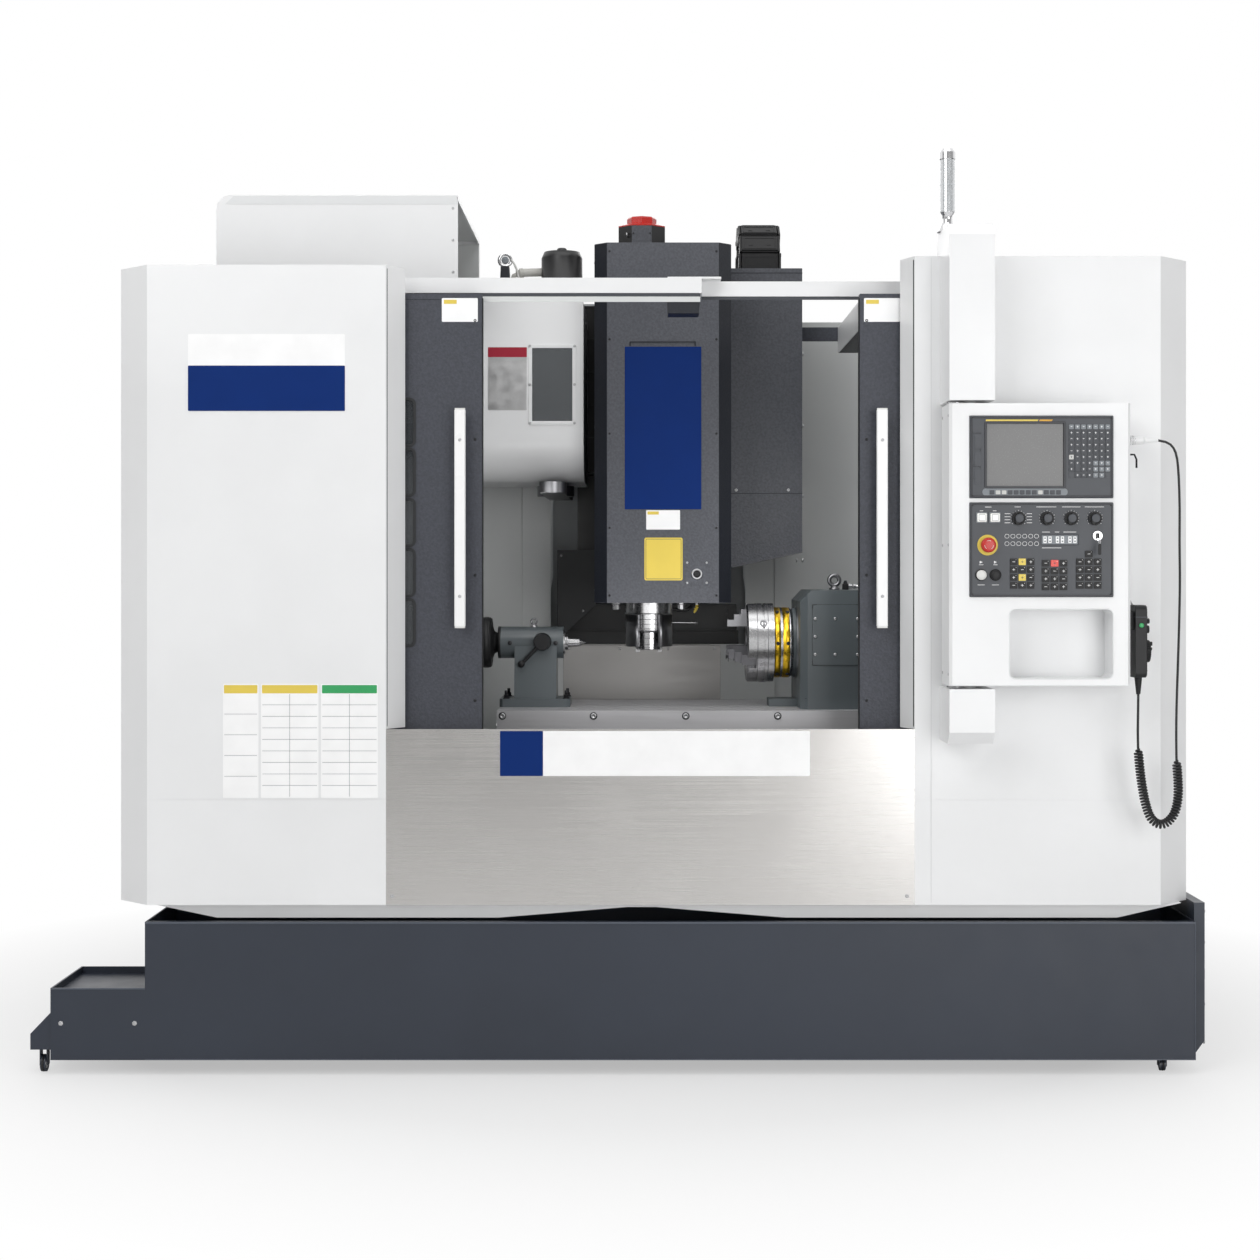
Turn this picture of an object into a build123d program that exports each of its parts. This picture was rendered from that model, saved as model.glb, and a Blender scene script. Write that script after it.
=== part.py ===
from build123d import *
from math import cos, radians, sin, tan
import os

# Vertical machining center with a rotary table and a tailstock set on its table.
# Millimetres. X to the right, Y away from the operator, Z up from the floor.
# The origin lies on the floor under the middle of the machine's bounding box.

os.makedirs("parts", exist_ok=True)

# Frame
centre_x = 90.0
front_y = -1120.0
gap = 0.3
sheet = 4.0

# Enclosure towers, seen from the front
tower_bottom = 493.0
left_top = 2350.0
right_top = 2375.0
left_outer = centre_x - 1558.0
left_inner = centre_x - 766.0
right_outer = centre_x + 1580.0
right_inner = centre_x + 768.0
corner_chamfer = 99.0
inner_lip = 47.0
lip_depth = 80.0
rim_width = 45.0
seam_z = 797.0
seam_depth = 1.5

# Stainless front panel
panel_top = 1003.0
panel_ledge = 85.0
ledge_drop = 12.0

# Sliding doors
door_y = front_y + 100.0
door_thickness = 36.0
door_width = 820.0
door_bottom = 975.0
door_top = 2279.0
left_door_edge = centre_x - 495.0
right_door_edge = centre_x + 619.0
pane_side = 199.0
pane_width = 422.0
pane_height = 136.0
pane_pitch = 147.5
pane_first = 1242.0
pane_count = 5
pane_radius = 14.0
pane_glass = 8.0
handle_offset = 45.0
handle_width = 32.0
handle_bottom = 1298.0
handle_top = 1935.0
handle_gap = 34.0
handle_bar = 16.0
handle_post = 40.0
hanger_inset = 100.0
hanger_width = 90.0
roller_radius = 17.0
roller_width = 44.0

# Door rails
rail_bottom = 2288.0
rail_height = 45.0
rail_wall = 4.0
left_rail_y = front_y + 150.0
left_rail_depth = 108.0
left_rail_end = centre_x + 153.0
right_rail_y = front_y + 230.0
right_rail_depth = 62.0
rail_slot = 24.0

# Bed, saddle and table
bed_front = front_y + 430.0
bed_bottom = 62.0
bed_top = 745.0
guide_half = 300.0
guide_width = 45.0
guide_height = 38.0
foot_radius = 70.0
foot_height = 40.0
foot_screw = 18.0
spindle_y = front_y + 800.0
saddle_y = front_y + 750.0
saddle_half_x = 430.0
saddle_half_y = 290.0
saddle_height = 118.0
cross_guide_half = 190.0
cross_guide_height = 30.0
table_x = centre_x + 125.0
table_length = 1200.0
table_depth = 600.0
table_top = 1028.0
slot_count = 5
slot_pitch = 100.0
slot_width = 18.0
slot_neck = 22.0
slot_foot = 30.0
slot_foot_height = 14.0

# Column and head
column_front = front_y + 1450.0
column_back = front_y + 2040.0
rear_clearance = 140.0
tower_depth = column_back - front_y - rear_clearance
bed_back = column_back
column_base_half = 430.0
bed_half = column_base_half + 130.0
column_top_half = 340.0
column_top = 2420.0
motor_plate = 25.0
screw_radius = 16.0
screw_y = column_front - 75.0
column_wall = 45.0
column_guide_half = 215.0
head_bottom = 1361.0
head_top = 2508.0
head_left = centre_x - 174.0
head_right = centre_x + 262.0
head_bevel = 40.0
head_front = front_y + 600.0
head_cover_depth = 660.0
slide_height = 420.0
nose_radius = 44.0
nose_end = 1206.0
nose_top = 1262.0
cartridge_radius = 60.0
flange_radius = 76.0
flange_bottom = 1322.0
cartridge_top = 1900.0
shaft_radius = 34.0
taper_mouth = 22.2
taper_depth = 66.0
taper_end = 12.8
running_gap = 0.05
side_box_right = centre_x + 510.0
side_box_front = front_y + 900.0
side_box_depth = 300.0
side_box_top = 2469.0
side_box_low = 1471.0
side_box_slant = 53.0
chain_left = centre_x + 303.0
chain_right = centre_x + 445.0
chain_front_y = side_box_front + 105.0
chain_bend = 118.0
chain_thick = 58.0
chain_end = 1700.0
link_pitch = 45.0

# Table equipment
work_axis_z = 1232.0
work_axis_y = front_y + 720.0
chuck_radius = 127.0
chuck_face_length = 87.0
chuck_length = 161.0
chuck_bore = 38.0
jaw_count = 3
jaw_width = 38.0
jaw_clearance = 20.0
jaw_inner = 52.0
rotary_width = 250.0
rotary_left = table_x + table_length / 2 - rotary_width
chuck_left = rotary_left - 162.0
rotary_depth = 430.0
rotary_top = 1402.0
rotary_chamfer = 34.0
quill_radius = 24.0
barrel_radius = 51.0
barrel_left = centre_x - 486.0
barrel_right = centre_x - 276.0
tail_base_left = centre_x - 478.0
tail_base_right = centre_x - 253.0
tail_base_height = 26.0
tail_half_depth = 95.0
tail_wheel_radius = 81.0
clamp_x = centre_x - 342.0
clamp_z = work_axis_z + 4.0
lever_slope = 47.0

# Tool changer
magazine_y = front_y + 500.0
hood_left = centre_x - 1357.0
hood_right = centre_x - 600.0
hood_top = 2641.0
hood_depth = 900.0
hood_round = 45.0
hood_seat = 16.0
drum_cover_y = front_y + 750.0
drum_cover_right = centre_x - 213.0
drum_cover_left = centre_x - 700.0
drum_cover_bottom = 1758.0
drum_cover_top = 2339.0
drum_cover_depth = 560.0
drum_cover_round = 150.0
drum_radius = 370.0
drum_x = centre_x - 830.0
drum_z = 2210.0
drum_y = front_y + 950.0
hub_radius = 70.0
axle_radius = 30.0
axle_depth = 60.0
pot_count = 24
pot_radius = 33.0
pot_length = 95.0
arm_x = centre_x - 310.0
arm_y = front_y + 940.0
arm_z = 1712.0
arm_half = 340.0

# Pendant
pendant_left = centre_x + 841.0
pendant_right = centre_x + 1351.0
pendant_front = front_y - 190.0
pendant_bottom = 1138.0
pendant_top = 1933.0
pendant_depth = 150.0
arm_housing_width = 128.0
arm_bevel = 34.0
pivot_radius = 22.0
cnc_left = centre_x + 897.0
cnc_width = 404.0
cnc_bottom = 1666.0
cnc_height = 232.0
operator_bottom = 1388.0
operator_height = 266.0
panel_proud = 6.0
niche_left = centre_x + 1011.0
niche_right = centre_x + 1300.0
niche_bottom = 1159.0
niche_top = 1353.0
niche_depth = 110.0

# Coolant tank
tank_left = centre_x - 1465.0
tank_right = centre_x + 1583.0
tank_bottom = 43.0
tank_top = 444.0
tank_depth = 400.0
tank_wall = 5.0
tray_left = centre_x - 1739.0
tray_top = 252.0
tray_floor = 232.0
tray_depth = 346.0
bracket_left = centre_x - 1799.0
side_duct_right = centre_x + 1614.0
caster_radius = 19.0
caster_width = 15.0

# Rear
cabinet_depth = 430.0
cabinet_half = 620.0
cabinet_bottom = 640.0
cabinet_top = 2180.0


def front_plane(y):
    """Sketch plane facing the operator: its x is X and its y is Z."""
    return Plane(origin=(0, y, 0), x_dir=(1, 0, 0), z_dir=(0, -1, 0))


def side_plane(x):
    """Sketch plane facing right: its x is Y and its y is Z."""
    return Plane(origin=(x, 0, 0), x_dir=(0, 1, 0), z_dir=(1, 0, 0))


def block(x0, x1, y0, y1, z0, z1, mode=Mode.ADD):
    """A rectangular length of plate or bar between two corners."""
    with Locations(((x0 + x1) / 2, (y0 + y1) / 2, (z0 + z1) / 2)):
        Box(x1 - x0, y1 - y0, z1 - z0, mode=mode)


def outline(plane, points):
    """A closed straight-sided face on a plane."""
    with BuildSketch(plane) as sketch:
        with BuildLine():
            Polyline(*points, close=True)
        make_face()
    return sketch.sketch


# Cast bed: tapered section with side pockets, two guideways and a chip slope
with BuildPart() as bed:
    half = bed_half
    extrude(
        outline(
            front_plane(bed_front),
            [
                (centre_x - half, bed_bottom),
                (centre_x + half, bed_bottom),
                (centre_x + half, bed_bottom + 90),
                (centre_x + half - 70, bed_top - 200),
                (centre_x + half - 90, bed_top),
                (centre_x - half + 90, bed_top),
                (centre_x - half + 70, bed_top - 200),
                (centre_x - half, bed_bottom + 90),
            ],
        ),
        amount=-(bed_back - bed_front),
    )
    with BuildSketch(Plane.XY.offset(bed_bottom)):
        with Locations((centre_x, (bed_front + bed_back) / 2)):
            with GridLocations(2 * half / 3 - 20, (bed_back - bed_front) / 5 - 6, 3, 5):
                RectangleRounded(2 * half / 3 - 70, (bed_back - bed_front) / 5 - 60, 20)
    extrude(amount=bed_top - bed_bottom - 60, mode=Mode.SUBTRACT)
    for side in (-1, 1):
        x = centre_x + side * guide_half
        block(
            x - guide_width / 2, x + guide_width / 2,
            bed_front + 30, column_front - 60,
            bed_top, bed_top + guide_height,
        )
bed.part.label = "bed"
export_step(bed.part, "parts/bed.step")

# Levelling feet: round pads with their screws, one under each bed corner and side
with BuildPart() as levelling_feet:
    foot_rows = [bed_front + 90, (bed_front + bed_back) / 2, bed_back - 90]
    for x in (centre_x - bed_half + 45, centre_x + bed_half - 45):
        for y in foot_rows:
            with BuildSketch(side_plane(x)):
                with BuildLine():
                    Polyline(
                        (y, 0), (y + foot_radius, 0), (y + foot_radius, foot_height - 15),
                        (y + foot_screw + 12, foot_height), (y + foot_screw, foot_height),
                        (y + foot_screw, bed_bottom), (y, bed_bottom), close=True,
                    )
                make_face()
            revolve(axis=Axis((x, y, 0), (0, 0, 1)))
levelling_feet.part.label = "levelling_feet"
export_step(levelling_feet.part, "parts/levelling_feet.step")

# Column: tapered box casting with rear ribs, and the two guideways on its face
with BuildPart() as column:
    extrude(
        outline(
            front_plane(column_front),
            [
                (centre_x - column_base_half, bed_top),
                (centre_x + column_base_half, bed_top),
                (centre_x + column_base_half, bed_top + 160),
                (centre_x + column_top_half, bed_top + 700),
                (centre_x + column_top_half, column_top),
                (centre_x - column_top_half, column_top),
                (centre_x - column_top_half, bed_top + 700),
                (centre_x - column_base_half, bed_top + 160),
            ],
        ),
        amount=-(column_back - column_front),
    )
    with BuildSketch(front_plane(column_back)):
        with Locations((centre_x, bed_top + 815)):
            with GridLocations(column_top_half - column_wall, 390, 2, 4):
                RectangleRounded(column_top_half - 1.6 * column_wall, 330, 40)
    extrude(amount=column_back - column_front - column_wall, mode=Mode.SUBTRACT)
    for side in (-1, 1):
        x = centre_x + side * column_guide_half
        block(
            x - guide_width / 2, x + guide_width / 2,
            column_front - guide_height, column_front,
            bed_top + 320, column_top - 20,
        )
    block(
        centre_x - 100, centre_x + 100, screw_y - 95, column_front + 90,
        column_top, column_top + motor_plate,
    )
    block(
        chain_left, centre_x + column_top_half - 2,
        chain_front_y + 2 * chain_bend + chain_thick / 2 + gap, column_front,
        chain_end, chain_end + 80,
    )
    with BuildSketch(Plane.XY.offset(column_top)):
        with Locations((centre_x, screw_y)):
            Circle(screw_radius - 4 + running_gap)
    extrude(amount=motor_plate, mode=Mode.SUBTRACT)
column.part.label = "column"
export_step(column.part, "parts/column.step")

# Y and Z servo motors: square bodies with flange, connector and rear cover
with BuildPart() as axis_motors:
    y_motor_z = bed_top - 90
    z_motor_bottom = column_top + motor_plate
    for size, radius, z, height in (
        (160, 16, z_motor_bottom, 18),
        (130, 26, z_motor_bottom + 18, 150),
        (108, 24, z_motor_bottom + 168, 32),
    ):
        with BuildSketch(Plane.XY.offset(z)):
            with Locations((centre_x, screw_y)):
                RectangleRounded(size, size, radius)
        extrude(amount=height)
    with BuildSketch(front_plane(bed_front)):
        with Locations((centre_x, y_motor_z)):
            RectangleRounded(146, 146, 24)
    extrude(amount=150)
axis_motors.part.label = "axis_motors"
export_step(axis_motors.part, "parts/axis_motors.step")

# Saddle: carries the table across, with the two cross guideways on top
saddle_bottom = bed_top + guide_height + gap
saddle_top = saddle_bottom + saddle_height
cross_top = saddle_top + cross_guide_height
with BuildPart() as saddle:
    block(
        centre_x - saddle_half_x, centre_x + saddle_half_x,
        saddle_y - saddle_half_y, saddle_y + saddle_half_y,
        saddle_bottom, saddle_top,
    )
    chamfer(saddle.edges().filter_by(Axis.Z), 40)
    block(
        centre_x - guide_half + guide_width, centre_x + guide_half - guide_width,
        saddle_y - saddle_half_y, saddle_y + saddle_half_y,
        saddle_bottom, saddle_bottom + 50, mode=Mode.SUBTRACT,
    )
    for side in (-1, 1):
        y = saddle_y + side * cross_guide_half
        block(
            centre_x - saddle_half_x, centre_x + saddle_half_x,
            y - guide_width / 2, y + guide_width / 2,
            saddle_top, cross_top,
        )
saddle.part.label = "saddle"
export_step(saddle.part, "parts/saddle.step")

# Table: T-slots along X, a coolant gutter round the edge and a skirt below
table_bottom = cross_top + gap
table_front = saddle_y - table_depth / 2
table_back = saddle_y + table_depth / 2
table_left = table_x - table_length / 2
table_right = table_x + table_length / 2
with BuildPart() as table:
    with BuildSketch(side_plane(table_left)):
        with Locations((saddle_y, (table_bottom + table_top) / 2)):
            Rectangle(table_depth, table_top - table_bottom)
        with Locations((saddle_y, table_top)):
            with GridLocations(slot_pitch, 1, slot_count, 1):
                Rectangle(slot_width, 2 * slot_neck, mode=Mode.SUBTRACT)
        with Locations((saddle_y, table_top - slot_neck - slot_foot_height / 2)):
            with GridLocations(slot_pitch, 1, slot_count, 1):
                Rectangle(slot_foot, slot_foot_height, mode=Mode.SUBTRACT)
    extrude(amount=table_length)
    block(
        table_left + 60, table_right - 60, table_front + 30, table_back - 30,
        table_bottom, table_bottom + 22, mode=Mode.SUBTRACT,
    )
    for side in (-1, 1):
        y = saddle_y + side * cross_guide_half
        block(
            table_left + 60, table_right - 60, y - guide_width, y + guide_width,
            table_bottom, table_bottom + 22,
        )
table.part.label = "table"
export_step(table.part, "parts/table.step")

# Base funnel: white pan under the enclosure that drains into the tank
funnel_top = tower_bottom
funnel_bottom = tank_top + 6
with BuildPart() as base_funnel:
    extrude(
        outline(
            front_plane(front_y + 40),
            [
                (left_outer + 91, funnel_top),
                (left_outer + 294, funnel_bottom),
                (centre_x - 441, funnel_bottom),
                (centre_x - 67, funnel_top - 12),
                (centre_x + 17, funnel_top - 12),
                (centre_x + 397, funnel_bottom),
                (right_outer - 217, funnel_bottom),
                (right_outer - 29, funnel_top),
            ],
        ),
        amount=-(bed_front - front_y - 70),
    )
    block(
        left_outer + 300, right_outer - 230, front_y + 40 + sheet, bed_front - 30 - sheet,
        funnel_bottom + sheet, funnel_top + 10, mode=Mode.SUBTRACT,
    )
base_funnel.part.label = "base_funnel"
export_step(base_funnel.part, "parts/base_funnel.step")

# Left enclosure tower: one bent sheet with a stop lip, side wall, rim and step
with BuildPart() as left_enclosure:
    with BuildSketch(Plane.XY.offset(tower_bottom)):
        with BuildLine():
            Polyline(
                (left_inner + inner_lip, front_y + lip_depth),
                (left_inner, front_y),
                (left_outer + corner_chamfer, front_y),
                (left_outer, front_y + corner_chamfer),
                (left_outer, front_y + tower_depth),
            )
            offset(amount=sheet, side=Side.RIGHT)
        make_face()
    extrude(amount=left_top - tower_bottom)
    block(
        left_inner + gap, left_inner + inner_lip + sheet,
        front_y, front_y + lip_depth + sheet,
        tower_bottom, panel_top + gap, mode=Mode.SUBTRACT,
    )
    block(
        left_outer + sheet, left_outer + rim_width,
        front_y + corner_chamfer, front_y + tower_depth,
        left_top - sheet, left_top,
    )
    block(
        left_outer + sheet, hood_left + hood_seat, magazine_y, front_y + tower_depth,
        left_top - sheet, left_top,
    )
    block(
        left_outer, left_inner, front_y, front_y + seam_depth,
        seam_z, seam_z + 2 * seam_depth, mode=Mode.SUBTRACT,
    )
    block(
        left_outer + sheet, left_outer + rim_width,
        front_y + corner_chamfer, front_y + tower_depth,
        tower_bottom, tower_bottom + sheet,
    )
left_enclosure.part.label = "left_enclosure"
export_step(left_enclosure.part, "parts/left_enclosure.step")

# Right enclosure tower: the same bent sheet, a little taller
with BuildPart() as right_enclosure:
    with BuildSketch(Plane.XY.offset(tower_bottom)):
        with BuildLine():
            Polyline(
                (right_inner - inner_lip + 14, front_y + lip_depth),
                (right_inner, front_y),
                (right_outer - corner_chamfer, front_y),
                (right_outer, front_y + corner_chamfer),
                (right_outer, front_y + tower_depth),
            )
            offset(amount=sheet, side=Side.LEFT)
        make_face()
    extrude(amount=right_top - tower_bottom)
    block(
        right_inner - inner_lip - sheet, right_inner - gap,
        front_y, front_y + lip_depth + sheet,
        tower_bottom, panel_top + gap, mode=Mode.SUBTRACT,
    )
    block(
        right_outer - rim_width, right_outer - sheet,
        front_y + corner_chamfer, front_y + tower_depth,
        right_top - sheet, right_top,
    )
    block(
        right_inner, right_outer, front_y, front_y + seam_depth,
        seam_z, seam_z + 2 * seam_depth, mode=Mode.SUBTRACT,
    )
    block(
        right_outer - rim_width, right_outer - sheet,
        front_y + corner_chamfer, front_y + tower_depth,
        tower_bottom, tower_bottom + sheet,
    )
right_enclosure.part.label = "right_enclosure"
export_step(right_enclosure.part, "parts/right_enclosure.step")

# Front panel: folded stainless sheet with a sloping ledge and a return behind it
with BuildPart() as front_panel:
    with BuildSketch(side_plane(left_inner + gap)):
        with BuildLine():
            Polyline(
                (front_y + 30, tower_bottom),
                (front_y, tower_bottom),
                (front_y, panel_top),
                (front_y + panel_ledge, panel_top - ledge_drop),
                (front_y + panel_ledge, panel_top - 70),
            )
            offset(amount=sheet, side=Side.RIGHT)
        make_face()
    extrude(amount=right_inner - left_inner - 2 * gap)
front_panel.part.label = "front_panel"
export_step(front_panel.part, "parts/front_panel.step")

# Rear enclosure: bent sheet behind the work area, open for the column
rear_wall_y = front_y + 1380.0
rear_bottom = tower_bottom + sheet + gap
rear_top = left_top - sheet - gap
column_gap = column_base_half + 20
wall_edge = column_top_half + 5
guard_y = column_front - guide_height - 68
with BuildPart() as rear_enclosure:
    for side, outer in ((-1, left_outer), (1, right_outer)):
        inner = outer - side * (sheet + gap)
        edge = centre_x + side * column_gap
        with BuildSketch(Plane.XY.offset(rear_bottom)):
            with BuildLine():
                Polyline(
                    (inner, rear_wall_y - 60),
                    (inner, rear_wall_y),
                    (edge, rear_wall_y),
                    (edge, front_y + tower_depth),
                )
                offset(amount=sheet, side=Side.LEFT if side > 0 else Side.RIGHT)
            make_face()
        extrude(amount=rear_top - rear_bottom)
        low, high = sorted((edge, centre_x + side * wall_edge))
        block(low, high, rear_wall_y, rear_wall_y + sheet, bed_top + gap, rear_top)
        low, high = sorted((inner, edge))
        block(
            low, high, front_y + tower_depth, front_y + tower_depth + sheet,
            rear_bottom, rear_top,
        )
    block(
        centre_x - bed_half - gap, centre_x + bed_half + gap, bed_front, bed_back,
        tower_bottom, bed_top + gap, mode=Mode.SUBTRACT,
    )
    with BuildSketch(side_plane(centre_x - column_gap + sheet)):
        with BuildLine():
            Polyline(
                (guard_y + 46, table_top - 190),
                (guard_y, table_top - 176),
                (guard_y, table_top + 178),
            )
            offset(amount=sheet, side=Side.RIGHT)
        make_face()
    extrude(amount=2 * (column_gap - sheet))
rear_enclosure.part.label = "rear_enclosure"
export_step(rear_enclosure.part, "parts/rear_enclosure.step")

# Door rails: two box tracks, open below, joined by a bracket where they meet
with BuildPart() as door_rails:
    tracks = (
        (left_outer + sheet + gap, left_rail_end, left_rail_y, left_rail_depth),
        (left_rail_end + 4, right_outer - sheet - gap, right_rail_y, right_rail_depth),
    )
    for x0, x1, y, depth in tracks:
        block(x0, x1, y, y + depth, rail_bottom, rail_bottom + rail_height)
        block(
            x0, x1, y + rail_wall, y + depth - rail_wall,
            rail_bottom + rail_wall, rail_bottom + rail_height - rail_wall,
            mode=Mode.SUBTRACT,
        )
        slot_y = y + depth / 2
        block(
            x0, x1, slot_y - rail_slot / 2, slot_y + rail_slot / 2,
            rail_bottom, rail_bottom + rail_wall, mode=Mode.SUBTRACT,
        )
    block(
        left_rail_end - 100, left_rail_end + 60,
        left_rail_y + 20, right_rail_y + right_rail_depth,
        rail_bottom + rail_height, rail_bottom + rail_height + 6,
    )
door_rails.part.label = "door_rails"
export_step(door_rails.part, "parts/door_rails.step")


# Sliding doors: folded panel with five stacked windows and two roller hangers
doors = (
    ("left", left_door_edge - door_width, left_door_edge, -1, left_rail_y + left_rail_depth / 2),
    ("right", right_door_edge, right_door_edge + door_width, 1, right_rail_y + right_rail_depth / 2),
)
for side_name, x0, x1, outward, track_y in doors:
    inner_edge = x1 if outward < 0 else x0
    pane_x = inner_edge + outward * (pane_side + pane_width / 2)
    pane_rows = [pane_first + pane_height / 2 + i * pane_pitch for i in range(pane_count)]
    with BuildPart() as door:
        block(x0, x1, door_y, door_y + door_thickness, door_bottom, door_top)
        block(
            x0 + sheet, x1 - sheet, door_y + sheet, door_y + door_thickness,
            door_bottom + sheet, door_top - sheet, mode=Mode.SUBTRACT,
        )
        with BuildSketch(front_plane(door_y)):
            with Locations(*[(pane_x, z) for z in pane_rows]):
                RectangleRounded(pane_width, pane_height, pane_radius)
        extrude(amount=-sheet, mode=Mode.SUBTRACT)
        for x in (x0 + hanger_inset + hanger_width / 2, x1 - hanger_inset - hanger_width / 2):
            roller_z = rail_bottom + rail_wall + gap + roller_radius
            block(
                x - hanger_width / 2, x + hanger_width / 2,
                door_y + sheet, track_y + sheet, door_top - 60, door_top - 60 + sheet,
            )
            block(
                x - hanger_width / 2, x + hanger_width / 2,
                track_y - sheet, track_y + sheet, door_top - 60, roller_z,
            )
            with BuildSketch(front_plane(track_y - roller_width / 2)):
                with Locations((x - 25, roller_z), (x + 25, roller_z)):
                    Circle(roller_radius)
            extrude(amount=-roller_width)
    door.part.label = f"{side_name}_door"
    export_step(door.part, f"parts/{side_name}_door.step")

    with BuildPart() as panes:
        with BuildSketch(front_plane(door_y + sheet)):
            with Locations(*[(pane_x, z) for z in pane_rows]):
                RectangleRounded(pane_width + 7, pane_height + 7, pane_radius)
        extrude(amount=-pane_glass)
    panes.part.label = f"{side_name}_door_panes"
    export_step(panes.part, f"parts/{side_name}_door_panes.step")

    handle_x = inner_edge + outward * (handle_offset + handle_width / 2)
    with BuildPart() as handle:
        with BuildSketch(front_plane(door_y - handle_gap)):
            with Locations((handle_x, (handle_bottom + handle_top) / 2)):
                RectangleRounded(handle_width, handle_top - handle_bottom, 4)
        extrude(amount=handle_bar)
        chamfer(handle.faces().sort_by(Axis.Y)[0].edges(), 3)
        for z in (handle_bottom + 70, handle_top - 70 - handle_post):
            block(
                handle_x - 9, handle_x + 9, door_y - handle_gap, door_y,
                z, z + handle_post,
            )
    handle.part.label = f"{side_name}_door_handle"
    export_step(handle.part, f"parts/{side_name}_door_handle.step")

# Way covers: telescopic plates that follow the head in front of the column
cover_y = guard_y + sheet + gap
cover_steps = 4
cover_step = 92.0
cover_bottom = table_top - 60
cover_top = cover_bottom + cover_steps * cover_step
with BuildPart() as way_covers:
    for i in range(cover_steps):
        z0 = cover_bottom + i * cover_step
        y = cover_y + i * 5
        block(centre_x - 330 + i * 6, centre_x + 330 - i * 6, y, y + 5, z0, z0 + cover_step)
way_covers.part.label = "way_covers"
export_step(way_covers.part, "parts/way_covers.step")

# Head casting: slide plate on the column guideways and an arm out to the spindle
head_bore = flange_radius + gap
head_slide_y = column_front - guide_height - gap
slide_bottom = head_bottom + 20
slide_top = slide_bottom + slide_height
with BuildPart() as head_casting:
    extrude(
        outline(
            side_plane(centre_x - 105),
            [
                (spindle_y - 110, head_bottom + 12),
                (spindle_y + 150, head_bottom + 12),
                (head_slide_y - 60, head_bottom + 180),
                (head_slide_y - 60, slide_bottom),
                (head_slide_y, slide_bottom),
                (head_slide_y, slide_top),
                (head_slide_y - 60, slide_top),
                (head_slide_y - 200, slide_top),
                (spindle_y + 150, head_bottom + 560),
                (spindle_y - 110, head_bottom + 560),
            ],
        ),
        amount=210,
    )
    for side in (-1, 1):
        x = centre_x + side * column_guide_half
        block(
            x - 35, x + 35, head_slide_y - 60, head_slide_y,
            slide_bottom, slide_top,
        )
        low, high = sorted((centre_x + side * 104, x))
        block(low, high, head_slide_y - 60, head_slide_y - 20, slide_bottom, slide_top)
    for y in (spindle_y - 80, spindle_y + 110):
        block(
            head_left + sheet + gap, head_right - sheet - gap, y, y + 24,
            head_bottom + 60, head_bottom + 520,
        )
    with Locations((centre_x, spindle_y, head_bottom + 12)):
        Cylinder(
            head_bore, cartridge_top - head_bottom + 100, mode=Mode.SUBTRACT,
            align=(Align.CENTER, Align.CENTER, Align.MIN),
        )
    with Locations((centre_x, screw_y, head_bottom)):
        Cylinder(
            screw_radius + gap, column_top - head_bottom, mode=Mode.SUBTRACT,
            align=(Align.CENTER, Align.CENTER, Align.MIN),
        )
head_casting.part.label = "head_casting"
export_step(head_casting.part, "parts/head_casting.step")

# Head covers: folded front cover with bevelled sides, and the box at its right
cover_back = head_front + head_cover_depth
cover_opening = flange_radius + 22
with BuildPart() as head_covers:
    head_plan = [
        (head_left, cover_back),
        (head_left, head_front + head_bevel),
        (head_left + head_bevel, head_front),
        (head_right - head_bevel + 1, head_front),
        (head_right, head_front + head_bevel),
        (head_right, cover_back),
    ]
    extrude(outline(Plane.XY.offset(head_bottom), head_plan), amount=head_top - head_bottom)
    inner_plan = [
        (head_left + sheet, cover_back + 1),
        (head_left + sheet, head_front + head_bevel + 2),
        (head_left + head_bevel + 2, head_front + sheet),
        (head_right - head_bevel - 1, head_front + sheet),
        (head_right - sheet, head_front + head_bevel + 2),
        (head_right - sheet, cover_back + 1),
    ]
    extrude(
        outline(Plane.XY.offset(head_bottom + sheet), inner_plan),
        amount=head_top - head_bottom - 2 * sheet,
        mode=Mode.SUBTRACT,
    )
    with Locations((centre_x, spindle_y, head_bottom)):
        Cylinder(
            cover_opening, sheet, mode=Mode.SUBTRACT,
            align=(Align.CENTER, Align.CENTER, Align.MIN),
        )
    with BuildSketch(front_plane(head_front)):
        with Locations((centre_x + 152, 1457)):
            RectangleRounded(76, 78, 6)
    extrude(amount=2)
    box_left = head_right
    extrude(
        outline(
            front_plane(side_box_front),
            [
                (box_left, side_box_low),
                (side_box_right, side_box_low + side_box_slant),
                (side_box_right, side_box_top),
                (box_left, side_box_top),
            ],
        ),
        amount=-side_box_depth,
    )
    extrude(
        outline(
            front_plane(side_box_front + sheet),
            [
                (box_left, side_box_low + sheet),
                (side_box_right - sheet, side_box_low + side_box_slant + sheet),
                (side_box_right - sheet, side_box_top - sheet),
                (box_left, side_box_top - sheet),
            ],
        ),
        amount=-side_box_depth,
        mode=Mode.SUBTRACT,
    )
head_covers.part.label = "head_covers"
export_step(head_covers.part, "parts/head_covers.step")

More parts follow.
